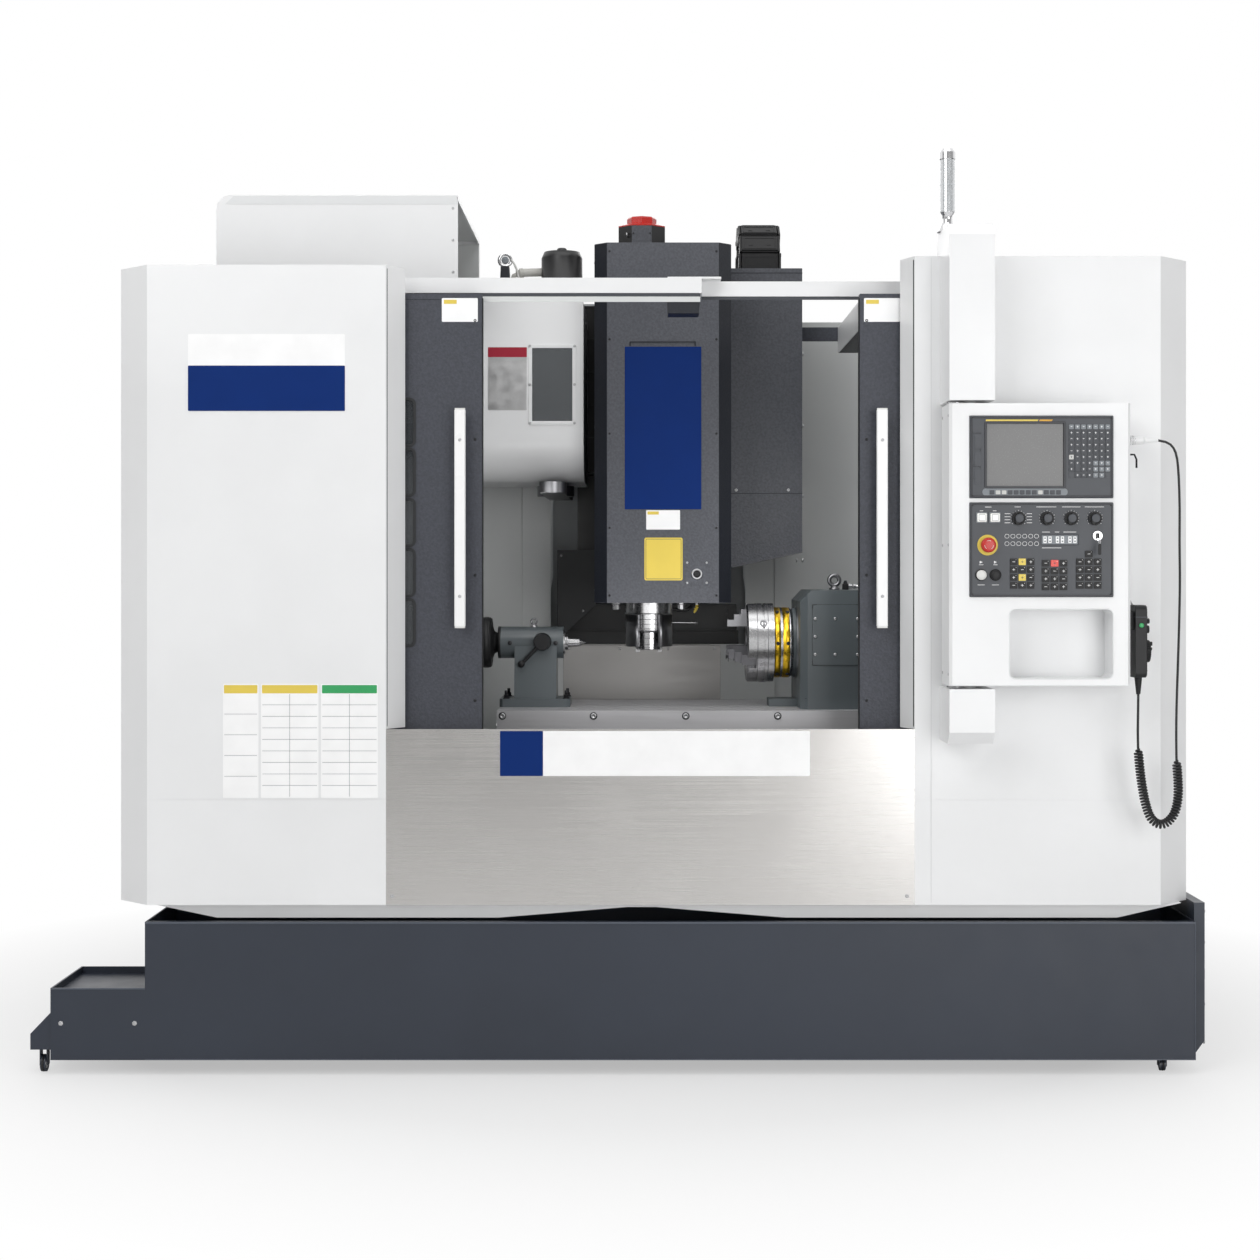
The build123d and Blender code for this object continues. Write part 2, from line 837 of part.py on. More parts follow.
# Spindle motor on top of the head: eight-sided body with a sloped red cap
motor_x = centre_x - 23.0
motor_y = front_y + 1070.0
motor_half = 78.0
motor_shoulder = 2570.0
motor_top = 2664.0
with BuildPart() as spindle_motor:
    with BuildSketch(Plane.XY.offset(head_top)):
        with Locations((motor_x, motor_y)):
            RegularPolygon(motor_half, 8, major_radius=False, rotation=22.5)
    extrude(amount=motor_shoulder - head_top)
    with BuildSketch(Plane.XY.offset(motor_shoulder)):
        with Locations((motor_x, motor_y)):
            RegularPolygon(motor_half - 3, 8, major_radius=False, rotation=22.5)
    extrude(amount=42, taper=14)
    with BuildSketch(Plane.XY.offset(motor_shoulder + 42)):
        with Locations((motor_x, motor_y)):
            Circle(46)
    extrude(amount=motor_top - motor_shoulder - 42)
    fillet(spindle_motor.edges().group_by(Axis.Z)[-1], 8)
spindle_motor.part.label = "spindle_motor"
export_step(spindle_motor.part, "parts/spindle_motor.step")

# Spindle cartridge: flanged sleeve with a running bore for the shaft
with BuildPart() as spindle_cartridge:
    with BuildSketch(side_plane(centre_x)):
        with BuildLine():
            Polyline(
                (spindle_y + shaft_radius + running_gap, nose_top + gap),
                (spindle_y + cartridge_radius - 6, nose_top + gap),
                (spindle_y + cartridge_radius, nose_top + 8),
                (spindle_y + cartridge_radius, flange_bottom),
                (spindle_y + flange_radius, flange_bottom),
                (spindle_y + flange_radius, cartridge_top),
                (spindle_y + shaft_radius + running_gap, cartridge_top),
                close=True,
            )
        make_face()
    revolve(axis=Axis((centre_x, spindle_y, 0), (0, 0, 1)))
    with BuildSketch(Plane.XY.offset(flange_bottom)):
        with Locations((centre_x, spindle_y)):
            with PolarLocations(flange_radius - 9, 6):
                Circle(5)
    extrude(amount=6, mode=Mode.SUBTRACT)
spindle_cartridge.part.label = "spindle_cartridge"
export_step(spindle_cartridge.part, "parts/spindle_cartridge.step")

# Spindle: nose ring with two drive keys, taper bore and a shaft up to the pulley
pulley_radius = 58.0
with BuildPart() as spindle:
    with BuildSketch(side_plane(centre_x)):
        with BuildLine():
            Polyline(
                (spindle_y, nose_end + taper_depth),
                (spindle_y + taper_end, nose_end + taper_depth),
                (spindle_y + taper_mouth, nose_end),
                (spindle_y + nose_radius - 3, nose_end),
                (spindle_y + nose_radius, nose_end + 3),
                (spindle_y + nose_radius, nose_top),
                (spindle_y + shaft_radius, nose_top),
                (spindle_y + shaft_radius, cartridge_top + 20),
                (spindle_y + pulley_radius, cartridge_top + 20),
                (spindle_y + pulley_radius, cartridge_top + 90),
                (spindle_y, cartridge_top + 90),
                close=True,
            )
        make_face()
    revolve(axis=Axis((centre_x, spindle_y, 0), (0, 0, 1)))
    for side in (-1, 1):
        x = centre_x + side * (nose_radius - 8)
        block(x - 7, x + 7, spindle_y - 8, spindle_y + 8, nose_end - 8, nose_end + 6)
spindle.part.label = "spindle"
export_step(spindle.part, "parts/spindle.step")

# Z ball screw: threaded shaft in front of the column, with its bearing ends
with BuildPart() as z_screw:
    screw_bottom = cover_top + 9
    with BuildSketch(Plane.XY.offset(screw_bottom)):
        with Locations((centre_x, screw_y)):
            Circle(screw_radius)
    extrude(amount=column_top - gap - screw_bottom)
    with BuildSketch(Plane.XY.offset(column_top - 1)):
        with Locations((centre_x, screw_y)):
            Circle(screw_radius - 4)
    extrude(amount=motor_plate)
z_screw.part.label = "z_screw"
export_step(z_screw.part, "parts/z_screw.step")

# Tailstock: base on the table, tapered pillar and a barrel with the quill bore
tail_base_top = table_top + tail_base_height
with BuildPart() as tailstock:
    block(
        tail_base_left, tail_base_right,
        work_axis_y - tail_half_depth, work_axis_y + tail_half_depth,
        table_top, tail_base_top,
    )
    chamfer(tailstock.edges().filter_by(Axis.Z), 10)
    pillar_left = barrel_left + 54
    pillar_right = barrel_right - 21
    extrude(
        outline(
            side_plane(pillar_left),
            [
                (work_axis_y - tail_half_depth + 16, tail_base_top),
                (work_axis_y + tail_half_depth - 16, tail_base_top),
                (work_axis_y + barrel_radius - 3, work_axis_z),
                (work_axis_y - barrel_radius + 3, work_axis_z),
            ],
        ),
        amount=pillar_right - pillar_left,
    )
    with BuildSketch(side_plane(barrel_left)):
        with Locations((work_axis_y, work_axis_z)):
            Circle(barrel_radius)
    extrude(amount=barrel_right - barrel_left)
    with BuildSketch(side_plane(barrel_left)):
        with Locations((work_axis_y, work_axis_z)):
            Circle(quill_radius + running_gap)
    extrude(amount=barrel_right - barrel_left, mode=Mode.SUBTRACT)
    with BuildSketch(front_plane(work_axis_y - barrel_radius - 10)):
        with Locations((clamp_x, clamp_z)):
            Circle(17)
    extrude(amount=-22)
tailstock.part.label = "tailstock"
export_step(tailstock.part, "parts/tailstock.step")

# Quill: ground shaft with its 60 degree centre
quill_tip = centre_x - 203.0
quill_back = barrel_left + 12
with BuildPart() as quill:
    with BuildSketch(side_plane(quill_back)):
        with Locations((work_axis_y, work_axis_z)):
            Circle(quill_radius)
    extrude(amount=barrel_right + 14 - quill_back)
    with BuildSketch(front_plane(work_axis_y)):
        with BuildLine():
            Polyline(
                (barrel_right + 14, work_axis_z),
                (barrel_right + 14, work_axis_z + 15),
                (quill_tip - 22, work_axis_z + 12.7),
                (quill_tip, work_axis_z),
                close=True,
            )
        make_face()
    revolve(axis=Axis((0, work_axis_y, work_axis_z), (1, 0, 0)))
quill.part.label = "quill"
export_step(quill.part, "parts/quill.step")

# Tailstock handwheel: dished rim on a coned hub with a folding-type grip
tail_hub_right = barrel_left - gap
tail_rim_left = centre_x - 537.0
with BuildPart() as tail_handwheel:
    with BuildSketch(front_plane(work_axis_y)):
        with BuildLine():
            Polyline(
                (tail_hub_right, work_axis_z),
                (tail_hub_right, work_axis_z + 30),
                (tail_rim_left + 22, work_axis_z + 44),
                (tail_rim_left + 22, work_axis_z + tail_wheel_radius - 16),
                (tail_rim_left + 29, work_axis_z + tail_wheel_radius - 12),
                (tail_rim_left + 29, work_axis_z + tail_wheel_radius - 4),
                (tail_rim_left + 24, work_axis_z + tail_wheel_radius),
                (tail_rim_left + 5, work_axis_z + tail_wheel_radius),
                (tail_rim_left, work_axis_z + tail_wheel_radius - 5),
                (tail_rim_left, work_axis_z + tail_wheel_radius - 14),
                (tail_rim_left + 12, work_axis_z + 40),
                (tail_rim_left + 12, work_axis_z),
                close=True,
            )
        make_face()
    revolve(axis=Axis((0, work_axis_y, work_axis_z), (1, 0, 0)))
    with BuildSketch(side_plane(tail_rim_left + 4)):
        with Locations((work_axis_y, work_axis_z + tail_wheel_radius - 12)):
            Circle(8)
    extrude(amount=-56, taper=-2)
tail_handwheel.part.label = "tail_handwheel"
export_step(tail_handwheel.part, "parts/tail_handwheel.step")

# Quill clamp: black boss with a slanted lever and its ball
clamp_y = work_axis_y - barrel_radius - 10.0 - gap
with BuildPart() as clamp_lever:
    with BuildSketch(front_plane(clamp_y)):
        with Locations((clamp_x, clamp_z)):
            Circle(29)
    extrude(amount=26, taper=8)
    lever_start = (clamp_x, clamp_y - 15, clamp_z)
    lever_way = (-cos(radians(lever_slope)), 0, -sin(radians(lever_slope)))
    with BuildSketch(Plane(origin=lever_start, x_dir=lever_way, z_dir=(0, -1, 0))):
        with BuildLine():
            Polyline((88, 6), (0, 7), (0, 0), (110, 0))
            ThreePointArc((110, 0), (99, 11), (88, 6))
        make_face()
    revolve(axis=Axis(lever_start, lever_way))
clamp_lever.part.label = "clamp_lever"
export_step(clamp_lever.part, "parts/clamp_lever.step")

# Rotary table: bevelled housing on two clamping feet, bored for the chuck's shank
with BuildPart() as rotary_table:
    rotary_back_y = work_axis_y + rotary_depth / 2
    rotary_front_y = work_axis_y - rotary_depth / 2
    block(
        rotary_left, rotary_left + rotary_width, rotary_front_y, rotary_back_y,
        table_top, rotary_top,
    )
    chamfer(rotary_table.edges().filter_by(Axis.Y).group_by(Axis.Z)[-1], rotary_chamfer)
    chamfer(rotary_table.edges().filter_by(Axis.Z), 22)
    with BuildSketch(front_plane(rotary_front_y)):
        with Locations((rotary_left + 112, work_axis_z + 30)):
            RectangleRounded(150, 190, 18)
    extrude(amount=3)
    block(
        rotary_left - 90, rotary_left, work_axis_y - 60, work_axis_y + 60,
        table_top, table_top + 24,
    )
    with BuildSketch(side_plane(rotary_left - 14)):
        with Locations((work_axis_y, work_axis_z)):
            Circle(chuck_radius - 16)
    extrude(amount=14)
    with BuildSketch(side_plane(rotary_left - 14)):
        with Locations((work_axis_y, work_axis_z)):
            Circle(chuck_bore + 20 + running_gap)
    extrude(amount=60, mode=Mode.SUBTRACT)
rotary_table.part.label = "rotary_table"
export_step(rotary_table.part, "parts/rotary_table.step")

# Chuck: front body, groove and back plate, three jaw slots and a through bore
shank_end = rotary_left + 40
jaw_slot_depth = 30.0
with BuildPart() as chuck:
    with BuildSketch(front_plane(work_axis_y)):
        with BuildLine():
            Polyline(
                (chuck_left, work_axis_z + chuck_bore),
                (chuck_left, work_axis_z + chuck_radius - 5),
                (chuck_left + 5, work_axis_z + chuck_radius),
                (chuck_left + 50, work_axis_z + chuck_radius),
                (chuck_left + 50, work_axis_z + chuck_radius - 5),
                (chuck_left + 56, work_axis_z + chuck_radius - 5),
                (chuck_left + 56, work_axis_z + chuck_radius),
                (chuck_left + chuck_face_length, work_axis_z + chuck_radius),
                (chuck_left + chuck_face_length, work_axis_z + chuck_radius - 14),
                (rotary_left - 14 - gap - 8, work_axis_z + chuck_radius - 14),
                (rotary_left - 14 - gap, work_axis_z + chuck_radius - 22),
                (rotary_left - 14 - gap, work_axis_z + chuck_bore + 20),
                (shank_end, work_axis_z + chuck_bore + 20),
                (shank_end, work_axis_z + chuck_bore),
                close=True,
            )
        make_face()
    revolve(axis=Axis((0, work_axis_y, work_axis_z), (1, 0, 0)))
    with BuildSketch(side_plane(chuck_left)):
        with Locations((work_axis_y, work_axis_z)):
            with PolarLocations((chuck_bore + chuck_radius) / 2 + 6, jaw_count, start_angle=90):
                Rectangle(chuck_radius - chuck_bore + 20, jaw_width + 2 * gap)
    extrude(amount=jaw_slot_depth, mode=Mode.SUBTRACT)
    with BuildSketch(side_plane(chuck_left)):
        with Locations((work_axis_y, work_axis_z)):
            with PolarLocations(chuck_radius - 24, jaw_count, start_angle=30):
                Circle(9)
    extrude(amount=16, mode=Mode.SUBTRACT)
chuck.part.label = "chuck"
export_step(chuck.part, "parts/chuck.step")

# Jaws: stepped top jaw on a master jaw that slides in the chuck's slot
jaw_outer = chuck_radius - jaw_clearance
for i in range(jaw_count):
    turn = 90 + i * 360 / jaw_count
    jaw_plane = Plane(
        origin=(0, work_axis_y, work_axis_z),
        x_dir=(0, cos(radians(turn)), sin(radians(turn))),
        z_dir=(0, sin(radians(turn)), -cos(radians(turn))),
    )
    with BuildPart() as jaw:
        with BuildSketch(jaw_plane) as profile:
            with BuildLine():
                Polyline(
                    (jaw_inner, chuck_left + jaw_slot_depth - gap),
                    (jaw_outer, chuck_left + jaw_slot_depth - gap),
                    (jaw_outer, chuck_left - 16),
                    (jaw_outer - 16, chuck_left - 16),
                    (jaw_outer - 16, chuck_left - 38),
                    (jaw_outer - 34, chuck_left - 38),
                    (jaw_outer - 34, chuck_left - 60),
                    (jaw_inner, chuck_left - 60),
                    close=True,
                )
            make_face()
        extrude(amount=jaw_width / 2, both=True)
    jaw.part.label = f"jaw_{i + 1}"
    export_step(jaw.part, f"parts/jaw_{i + 1}.step")

drive_x = centre_x - 292.0
drive_y = front_y + 1000.0

# Magazine covers: roof hood with a rounded edge, and the curved cover inside
hood_front = magazine_y
hood_bottom = left_top + gap
with BuildPart() as magazine_covers:
    with BuildSketch(front_plane(hood_front)):
        with BuildLine():
            Polyline((hood_right, hood_top), (hood_left + hood_round, hood_top))
            TangentArc(
                (hood_left + hood_round, hood_top), (hood_left, hood_top - hood_round),
                tangent=(-1, 0),
            )
            Line((hood_left, hood_top - hood_round), (hood_left, hood_bottom))
            offset(amount=sheet, side=Side.LEFT)
        make_face()
    extrude(amount=-hood_depth)
    for y in (hood_front, hood_front + hood_depth - sheet):
        with BuildSketch(front_plane(y)):
            with BuildLine():
                Polyline(
                    (hood_left + 1, hood_bottom), (hood_right, hood_bottom),
                    (hood_right, hood_top - 1), (hood_left + hood_round, hood_top - 1),
                    (hood_left + 14, hood_top - 14), (hood_left + 1, hood_top - hood_round),
                    close=True,
                )
            make_face()
        extrude(amount=-sheet)
    cover_front = drum_cover_y
    cover_rear = drum_cover_y + drum_cover_depth
    radius = drum_cover_round
    for inset, mode in ((0, Mode.ADD), (sheet, Mode.SUBTRACT)):
        back = cover_rear + inset
        front = cover_front + inset
        low = drum_cover_bottom + inset
        high = drum_cover_top - inset
        with BuildSketch(side_plane(drum_cover_left)):
            with BuildLine():
                Line((back, low), (front + radius, low))
                TangentArc((front + radius, low), (front, low + radius), tangent=(-1, 0))
                Polyline((front, low + radius), (front, high), (back, high), (back, low))
            make_face()
        extrude(amount=drum_cover_right - drum_cover_left - inset, mode=mode)
    for x, y, z, hole in (
        (arm_x, arm_y, drum_cover_bottom, 40),
        (drive_x, drive_y, drum_cover_top - sheet, 50),
    ):
        with BuildSketch(Plane.XY.offset(z)):
            with Locations((x, y)):
                Circle(hole)
        extrude(amount=sheet, mode=Mode.SUBTRACT)
magazine_covers.part.label = "magazine_covers"
export_step(magazine_covers.part, "parts/magazine_covers.step")

# Tool drum: ribbed disc with its hub and a pot for every tool
with BuildPart() as magazine_drum:
    with BuildSketch(side_plane(drum_x)):
        with Locations((drum_y, drum_z)):
            Circle(drum_radius)
            with PolarLocations(drum_radius * 0.52, 6):
                Circle(62, mode=Mode.SUBTRACT)
    extrude(amount=24)
    with BuildSketch(side_plane(drum_x - 60)):
        with Locations((drum_y, drum_z)):
            Circle(hub_radius)
    extrude(amount=110)
    with BuildSketch(side_plane(drum_x + 50)):
        with Locations((drum_y, drum_z)):
            Circle(axle_radius + running_gap)
    extrude(amount=-axle_depth, mode=Mode.SUBTRACT)
    with BuildSketch(side_plane(drum_x + 24)):
        with Locations((drum_y, drum_z)):
            with PolarLocations(drum_radius - pot_radius - 4, pot_count):
                Circle(pot_radius)
    extrude(amount=pot_length)
    with BuildSketch(side_plane(drum_x + 24 + pot_length)):
        with Locations((drum_y, drum_z)):
            with PolarLocations(drum_radius - pot_radius - 4, pot_count):
                Circle(taper_mouth)
    extrude(amount=-3, mode=Mode.SUBTRACT)
magazine_drum.part.label = "magazine_drum"
export_step(magazine_drum.part, "parts/magazine_drum.step")

# Changer gearbox inside the cover, with its drive motor standing on the roof
gearbox_left = centre_x - 400.0
gearbox_right = centre_x - 232.0
gearbox_bottom = drum_cover_bottom + sheet + gap
gearbox_top = 2300.0
gearbox_front = drum_cover_y + drum_cover_round
drive_top = 2521.0
with BuildPart() as atc_drive:
    block(
        gearbox_left, gearbox_right, gearbox_front, gearbox_front + 220,
        gearbox_bottom, gearbox_top,
    )
    chamfer(atc_drive.edges().filter_by(Axis.Z), 14)
    with BuildSketch(side_plane(gearbox_left)):
        with Locations((drum_y, drum_z)):
            Circle(axle_radius)
    extrude(amount=-(gearbox_left - drum_x - 50 + axle_depth - gap))
    block(
        centre_x - 330, centre_x - 265, gearbox_front + 200, column_front, 1900, 2080,
    )
    with BuildSketch(Plane.XY.offset(gearbox_top)):
        with Locations((drive_x, drive_y)):
            Circle(44)
    extrude(amount=drum_cover_top + 40 - gearbox_top)
    with BuildSketch(Plane.XY.offset(drum_cover_top + 40)):
        with Locations((drive_x, drive_y)):
            Circle(67)
    extrude(amount=drive_top - drum_cover_top - 62)
    fillet(atc_drive.edges().group_by(Axis.Z)[-1], 12)
    with BuildSketch(Plane.XY.offset(drive_top - 22)):
        with Locations((drive_x, drive_y)):
            Circle(16)
    extrude(amount=22)
    with BuildSketch(Plane.XY.offset(gearbox_bottom)):
        with Locations((arm_x, arm_y)):
            Circle(32 + running_gap)
    extrude(amount=300, mode=Mode.SUBTRACT)
atc_drive.part.label = "atc_drive"
export_step(atc_drive.part, "parts/atc_drive.step")

# Changer arm: two-ended gripper on its sliding shaft
grip_radius = 33.0
with BuildPart() as atc_arm:
    with BuildSketch(Plane.XY.offset(arm_z)):
        with Locations((arm_x, arm_y)):
            SlotOverall(2 * (arm_half - 30), 78, rotation=90)
            Circle(62)
    extrude(amount=34)
    with BuildSketch(Plane.XY.offset(arm_z)):
        with Locations((arm_x, arm_y - arm_half), (arm_x, arm_y + arm_half)):
            Circle(grip_radius + 13)
    extrude(amount=34)
    with BuildSketch(Plane.XY.offset(arm_z)):
        for end in (-1, 1):
            with Locations((arm_x, arm_y + end * arm_half)):
                Circle(grip_radius)
            with Locations((arm_x - grip_radius, arm_y + end * arm_half)):
                Rectangle(2 * grip_radius, 1.6 * grip_radius)
    extrude(amount=34, mode=Mode.SUBTRACT)
    with BuildSketch(Plane.XY.offset(arm_z + 34)):
        with Locations((arm_x, arm_y)):
            Circle(32)
    extrude(amount=260)
atc_arm.part.label = "atc_arm"
export_step(atc_arm.part, "parts/atc_arm.step")

# Energy chain: links round the bend above the side box and down to the column
chain_z = side_box_top
with BuildPart() as energy_chain:
    with BuildSketch(side_plane(chain_left)):
        with Locations((chain_front_y + chain_bend, chain_z)):
            Circle(chain_bend + chain_thick / 2)
            Circle(chain_bend - chain_thick / 2, mode=Mode.SUBTRACT)
            Rectangle(
                4 * chain_bend, 2 * chain_bend, align=(Align.CENTER, Align.MAX),
                mode=Mode.SUBTRACT,
            )
        with Locations((chain_front_y + 2 * chain_bend, (chain_z + chain_end) / 2)):
            Rectangle(chain_thick, chain_z - chain_end)
    extrude(amount=chain_right - chain_left)
    with BuildSketch(side_plane(chain_left + 12)):
        with Locations((chain_front_y + chain_bend, chain_z)):
            with PolarLocations(chain_bend + chain_thick / 2, 8, start_angle=11, angular_range=160):
                Rectangle(14, 9)
        link_count = int((chain_z - chain_end) / link_pitch)
        for i in range(link_count):
            z = chain_z - (i + 0.5) * link_pitch
            with Locations((chain_front_y + 2 * chain_bend + chain_thick / 2, z)):
                Rectangle(14, 9)
    extrude(amount=chain_right - chain_left - 24, mode=Mode.SUBTRACT)
energy_chain.part.label = "energy_chain"
export_step(energy_chain.part, "parts/energy_chain.step")

# Tower light: tapered chrome foot, clear tube and cap on the right-hand pillar
light_x = centre_x + 864.0
light_y = front_y + 10.0
light_foot = 2443.0
with BuildPart() as tower_light:
    with BuildSketch(front_plane(light_y)):
        with BuildLine():
            Polyline(
                (light_x, light_foot), (light_x + 26, light_foot),
                (light_x + 26, light_foot + 8), (light_x + 12, light_foot + 30),
                (light_x + 10, light_foot + 44), (light_x + 21, light_foot + 60),
                (light_x + 21, light_foot + 212), (light_x + 23, light_foot + 214),
                (light_x + 23, light_foot + 234), (light_x + 16, light_foot + 244),
                (light_x, light_foot + 244), close=True,
            )
        make_face()
    revolve(axis=Axis((light_x, light_y, 0), (0, 0, 1)))
tower_light.part.label = "tower_light"
export_step(tower_light.part, "parts/tower_light.step")

# Pendant arms: upper and lower housings on the tower, with the pivot pins
pivot_x = pendant_left + arm_housing_width / 2
pivot_y = pendant_front + pendant_depth / 2
pivot_gap = 9.0
upper_arm_top = light_foot
lower_arm_bottom = 973.0
with BuildPart() as pendant_arms:
    extrude(
        outline(
            side_plane(pendant_left),
            [
                (pendant_front, pendant_top + pivot_gap),
                (front_y - gap, pendant_top + pivot_gap),
                (front_y - gap, right_top + gap),
                (front_y + 60, right_top + gap),
                (front_y + 60, upper_arm_top),
                (pendant_front + arm_bevel, upper_arm_top),
                (pendant_front, upper_arm_top - arm_bevel),
            ],
        ),
        amount=arm_housing_width,
    )
    extrude(
        outline(
            side_plane(pendant_left),
            [
                (pendant_front, pendant_bottom - pivot_gap),
                (front_y - gap, pendant_bottom - pivot_gap),
                (front_y - gap, lower_arm_bottom),
                (pendant_front + arm_bevel, lower_arm_bottom),
                (pendant_front, lower_arm_bottom + arm_bevel),
            ],
        ),
        amount=arm_housing_width,
    )
    for z in (pendant_bottom - pivot_gap, pendant_top - 25):
        with BuildSketch(Plane.XY.offset(z)):
            with Locations((pivot_x, pivot_y)):
                Circle(pivot_radius)
        extrude(amount=pivot_gap + 25)
pendant_arms.part.label = "pendant_arms"
export_step(pendant_arms.part, "parts/pendant_arms.step")

# Pendant box: folded housing with a tapered back, a niche and two panel recesses
cnc_right = cnc_left + cnc_width
cnc_top = cnc_bottom + cnc_height
operator_top = operator_bottom + operator_height
recess = 14.0
plug_end = centre_x + 1440.0
plug_z = 1832.0
with BuildPart() as pendant_box:
    extrude(
        outline(
            Plane.XY.offset(pendant_bottom),
            [
                (pendant_left, pendant_front + 8),
                (pendant_left + 8, pendant_front),
                (pendant_right - 8, pendant_front),
                (pendant_right, pendant_front + 8),
                (pendant_right, pendant_front + pendant_depth - 30),
                (pendant_right - 30, pendant_front + pendant_depth),
                (pendant_left, pendant_front + pendant_depth),
            ],
        ),
        amount=pendant_top - pendant_bottom,
    )
    with BuildSketch(front_plane(pendant_front)):
        with Locations(((niche_left + niche_right) / 2, (niche_bottom + niche_top) / 2)):
            RectangleRounded(niche_right - niche_left, niche_top - niche_bottom, 16)
    extrude(amount=-niche_depth, mode=Mode.SUBTRACT)
    for x0, x1, z0, z1 in (
        (cnc_left, cnc_right, cnc_bottom, cnc_top),
        (cnc_left, cnc_right, operator_bottom, operator_top),
    ):
        block(
            x0 - gap, x1 + gap, pendant_front, pendant_front + recess, z0 - gap, z1 + gap,
            mode=Mode.SUBTRACT,
        )
    for z in (pendant_bottom, pendant_top - 25 - gap):
        with BuildSketch(Plane.XY.offset(z)):
            with Locations((pivot_x, pivot_y)):
                Circle(pivot_radius + running_gap)
        extrude(amount=25 + gap, mode=Mode.SUBTRACT)
    block(
        cnc_left + 20, cnc_right - 20, pendant_front + recess, pendant_front + recess + 60,
        operator_bottom + 20, operator_top - 20, mode=Mode.SUBTRACT,
    )
    with BuildSketch(front_plane(pendant_front + 55)):
        with BuildLine():
            Polyline(
                (pendant_right - 1, plug_z), (pendant_right - 1, plug_z + 17),
                (pendant_right + 6, plug_z + 17), (pendant_right + 6, plug_z + 12),
                (pendant_right + 46, plug_z + 12), (pendant_right + 50, plug_z + 9),
                (plug_end, plug_z + 5), (plug_end, plug_z), close=True,
            )
        make_face()
    revolve(axis=Axis((0, pendant_front + 55, plug_z), (1, 0, 0)))
pendant_box.part.label = "pendant_box"
export_step(pendant_box.part, "parts/pendant_box.step")

# CNC unit: bezel with the screen recess, soft keys and two key blocks
unit_front = pendant_front - panel_proud
unit_back = pendant_front + recess
screen_left = cnc_left + 47.0
screen_right = cnc_left + 264.0
screen_bottom = cnc_bottom + 33.0
screen_top = cnc_top - 22.0
key_size = 13.0
key_rise = 2.0
with BuildPart() as cnc_unit:
    with BuildSketch(front_plane(unit_back)):
        with Locations(((cnc_left + cnc_right) / 2, (cnc_bottom + cnc_top) / 2)):
            RectangleRounded(cnc_width, cnc_height, 4)
    extrude(amount=unit_back - unit_front)
    chamfer(cnc_unit.faces().sort_by(Axis.Y)[0].edges(), 2)
    block(
        screen_left, screen_right, unit_front, unit_front + 4, screen_bottom, screen_top,
        mode=Mode.SUBTRACT,
    )
    with BuildSketch(front_plane(unit_front)):
        with Locations(((screen_left + screen_right) / 2, cnc_bottom + 16)):
            with GridLocations(17, 1, 12, 1):
                Rectangle(key_size, 12)
        with Locations((cnc_right - 68, cnc_bottom + 132)):
            with GridLocations(17, 17, 7, 9):
                Rectangle(key_size, key_size)
        with Locations((cnc_left + 23, cnc_bottom + 110)):
            with GridLocations(1, 50, 1, 3):
                Rectangle(18, 40)
    extrude(amount=key_rise)
cnc_unit.part.label = "cnc_unit"
export_step(cnc_unit.part, "parts/cnc_unit.step")

# Operator panel: plate with bores for its knobs and buttons, and two key blocks
panel_left = cnc_left
shaft_length = 22.0
knob_row = operator_top - 45.0
stop_x = panel_left + 50.0
stop_z = operator_top - 120.0
round_z = operator_bottom + 62.0
controls = (
    ("power_on_button", panel_left + 33.0, knob_row + 2, 7.0),
    ("power_off_button", panel_left + 70.0, knob_row + 2, 7.0),
    ("knob_1", panel_left + 137.0, knob_row, 5.0),
    ("knob_2", panel_left + 217.0, knob_row, 5.0),
    ("knob_3", panel_left + 285.0, knob_row, 5.0),
    ("knob_4", panel_left + 351.0, knob_row, 5.0),
    ("emergency_stop", stop_x, stop_z, 10.0),
    ("cycle_start_button", panel_left + 32.0, round_z, 8.0),
    ("feed_hold_button", panel_left + 72.0, round_z, 8.0),
    ("key_switch", panel_left + 358.0, operator_top - 94.0, 8.0),
)
with BuildPart() as operator_panel:
    with BuildSketch(front_plane(unit_back)):
        with Locations(((cnc_left + cnc_right) / 2, (operator_bottom + operator_top) / 2)):
            RectangleRounded(cnc_width, operator_height, 4)
    extrude(amount=unit_back - unit_front)
    chamfer(operator_panel.faces().sort_by(Axis.Y)[0].edges(), 2)
    with BuildSketch(front_plane(unit_front)):
        with Locations((panel_left + 147, operator_bottom + 66)):
            with GridLocations(24, 22, 3, 4):
                Rectangle(18, 16)
        with Locations((panel_left + 238, operator_bottom + 62)):
            with GridLocations(25, 22, 3, 4):
                Rectangle(19, 16)
        with Locations((panel_left + 334, operator_bottom + 66)):
            with GridLocations(25, 22, 3, 4):
                Rectangle(19, 16)
    extrude(amount=key_rise)
    block(
        panel_left + 202, panel_left + 304, unit_front, unit_front + 2,
        operator_top - 118, operator_top - 92, mode=Mode.SUBTRACT,
    )
    for name, x, z, radius in controls:
        with BuildSketch(front_plane(unit_front)):
            with Locations((x, z)):
                Circle(radius + 0.05)
        extrude(amount=-(unit_back - unit_front), mode=Mode.SUBTRACT)
operator_panel.part.label = "operator_panel"
export_step(operator_panel.part, "parts/operator_panel.step")

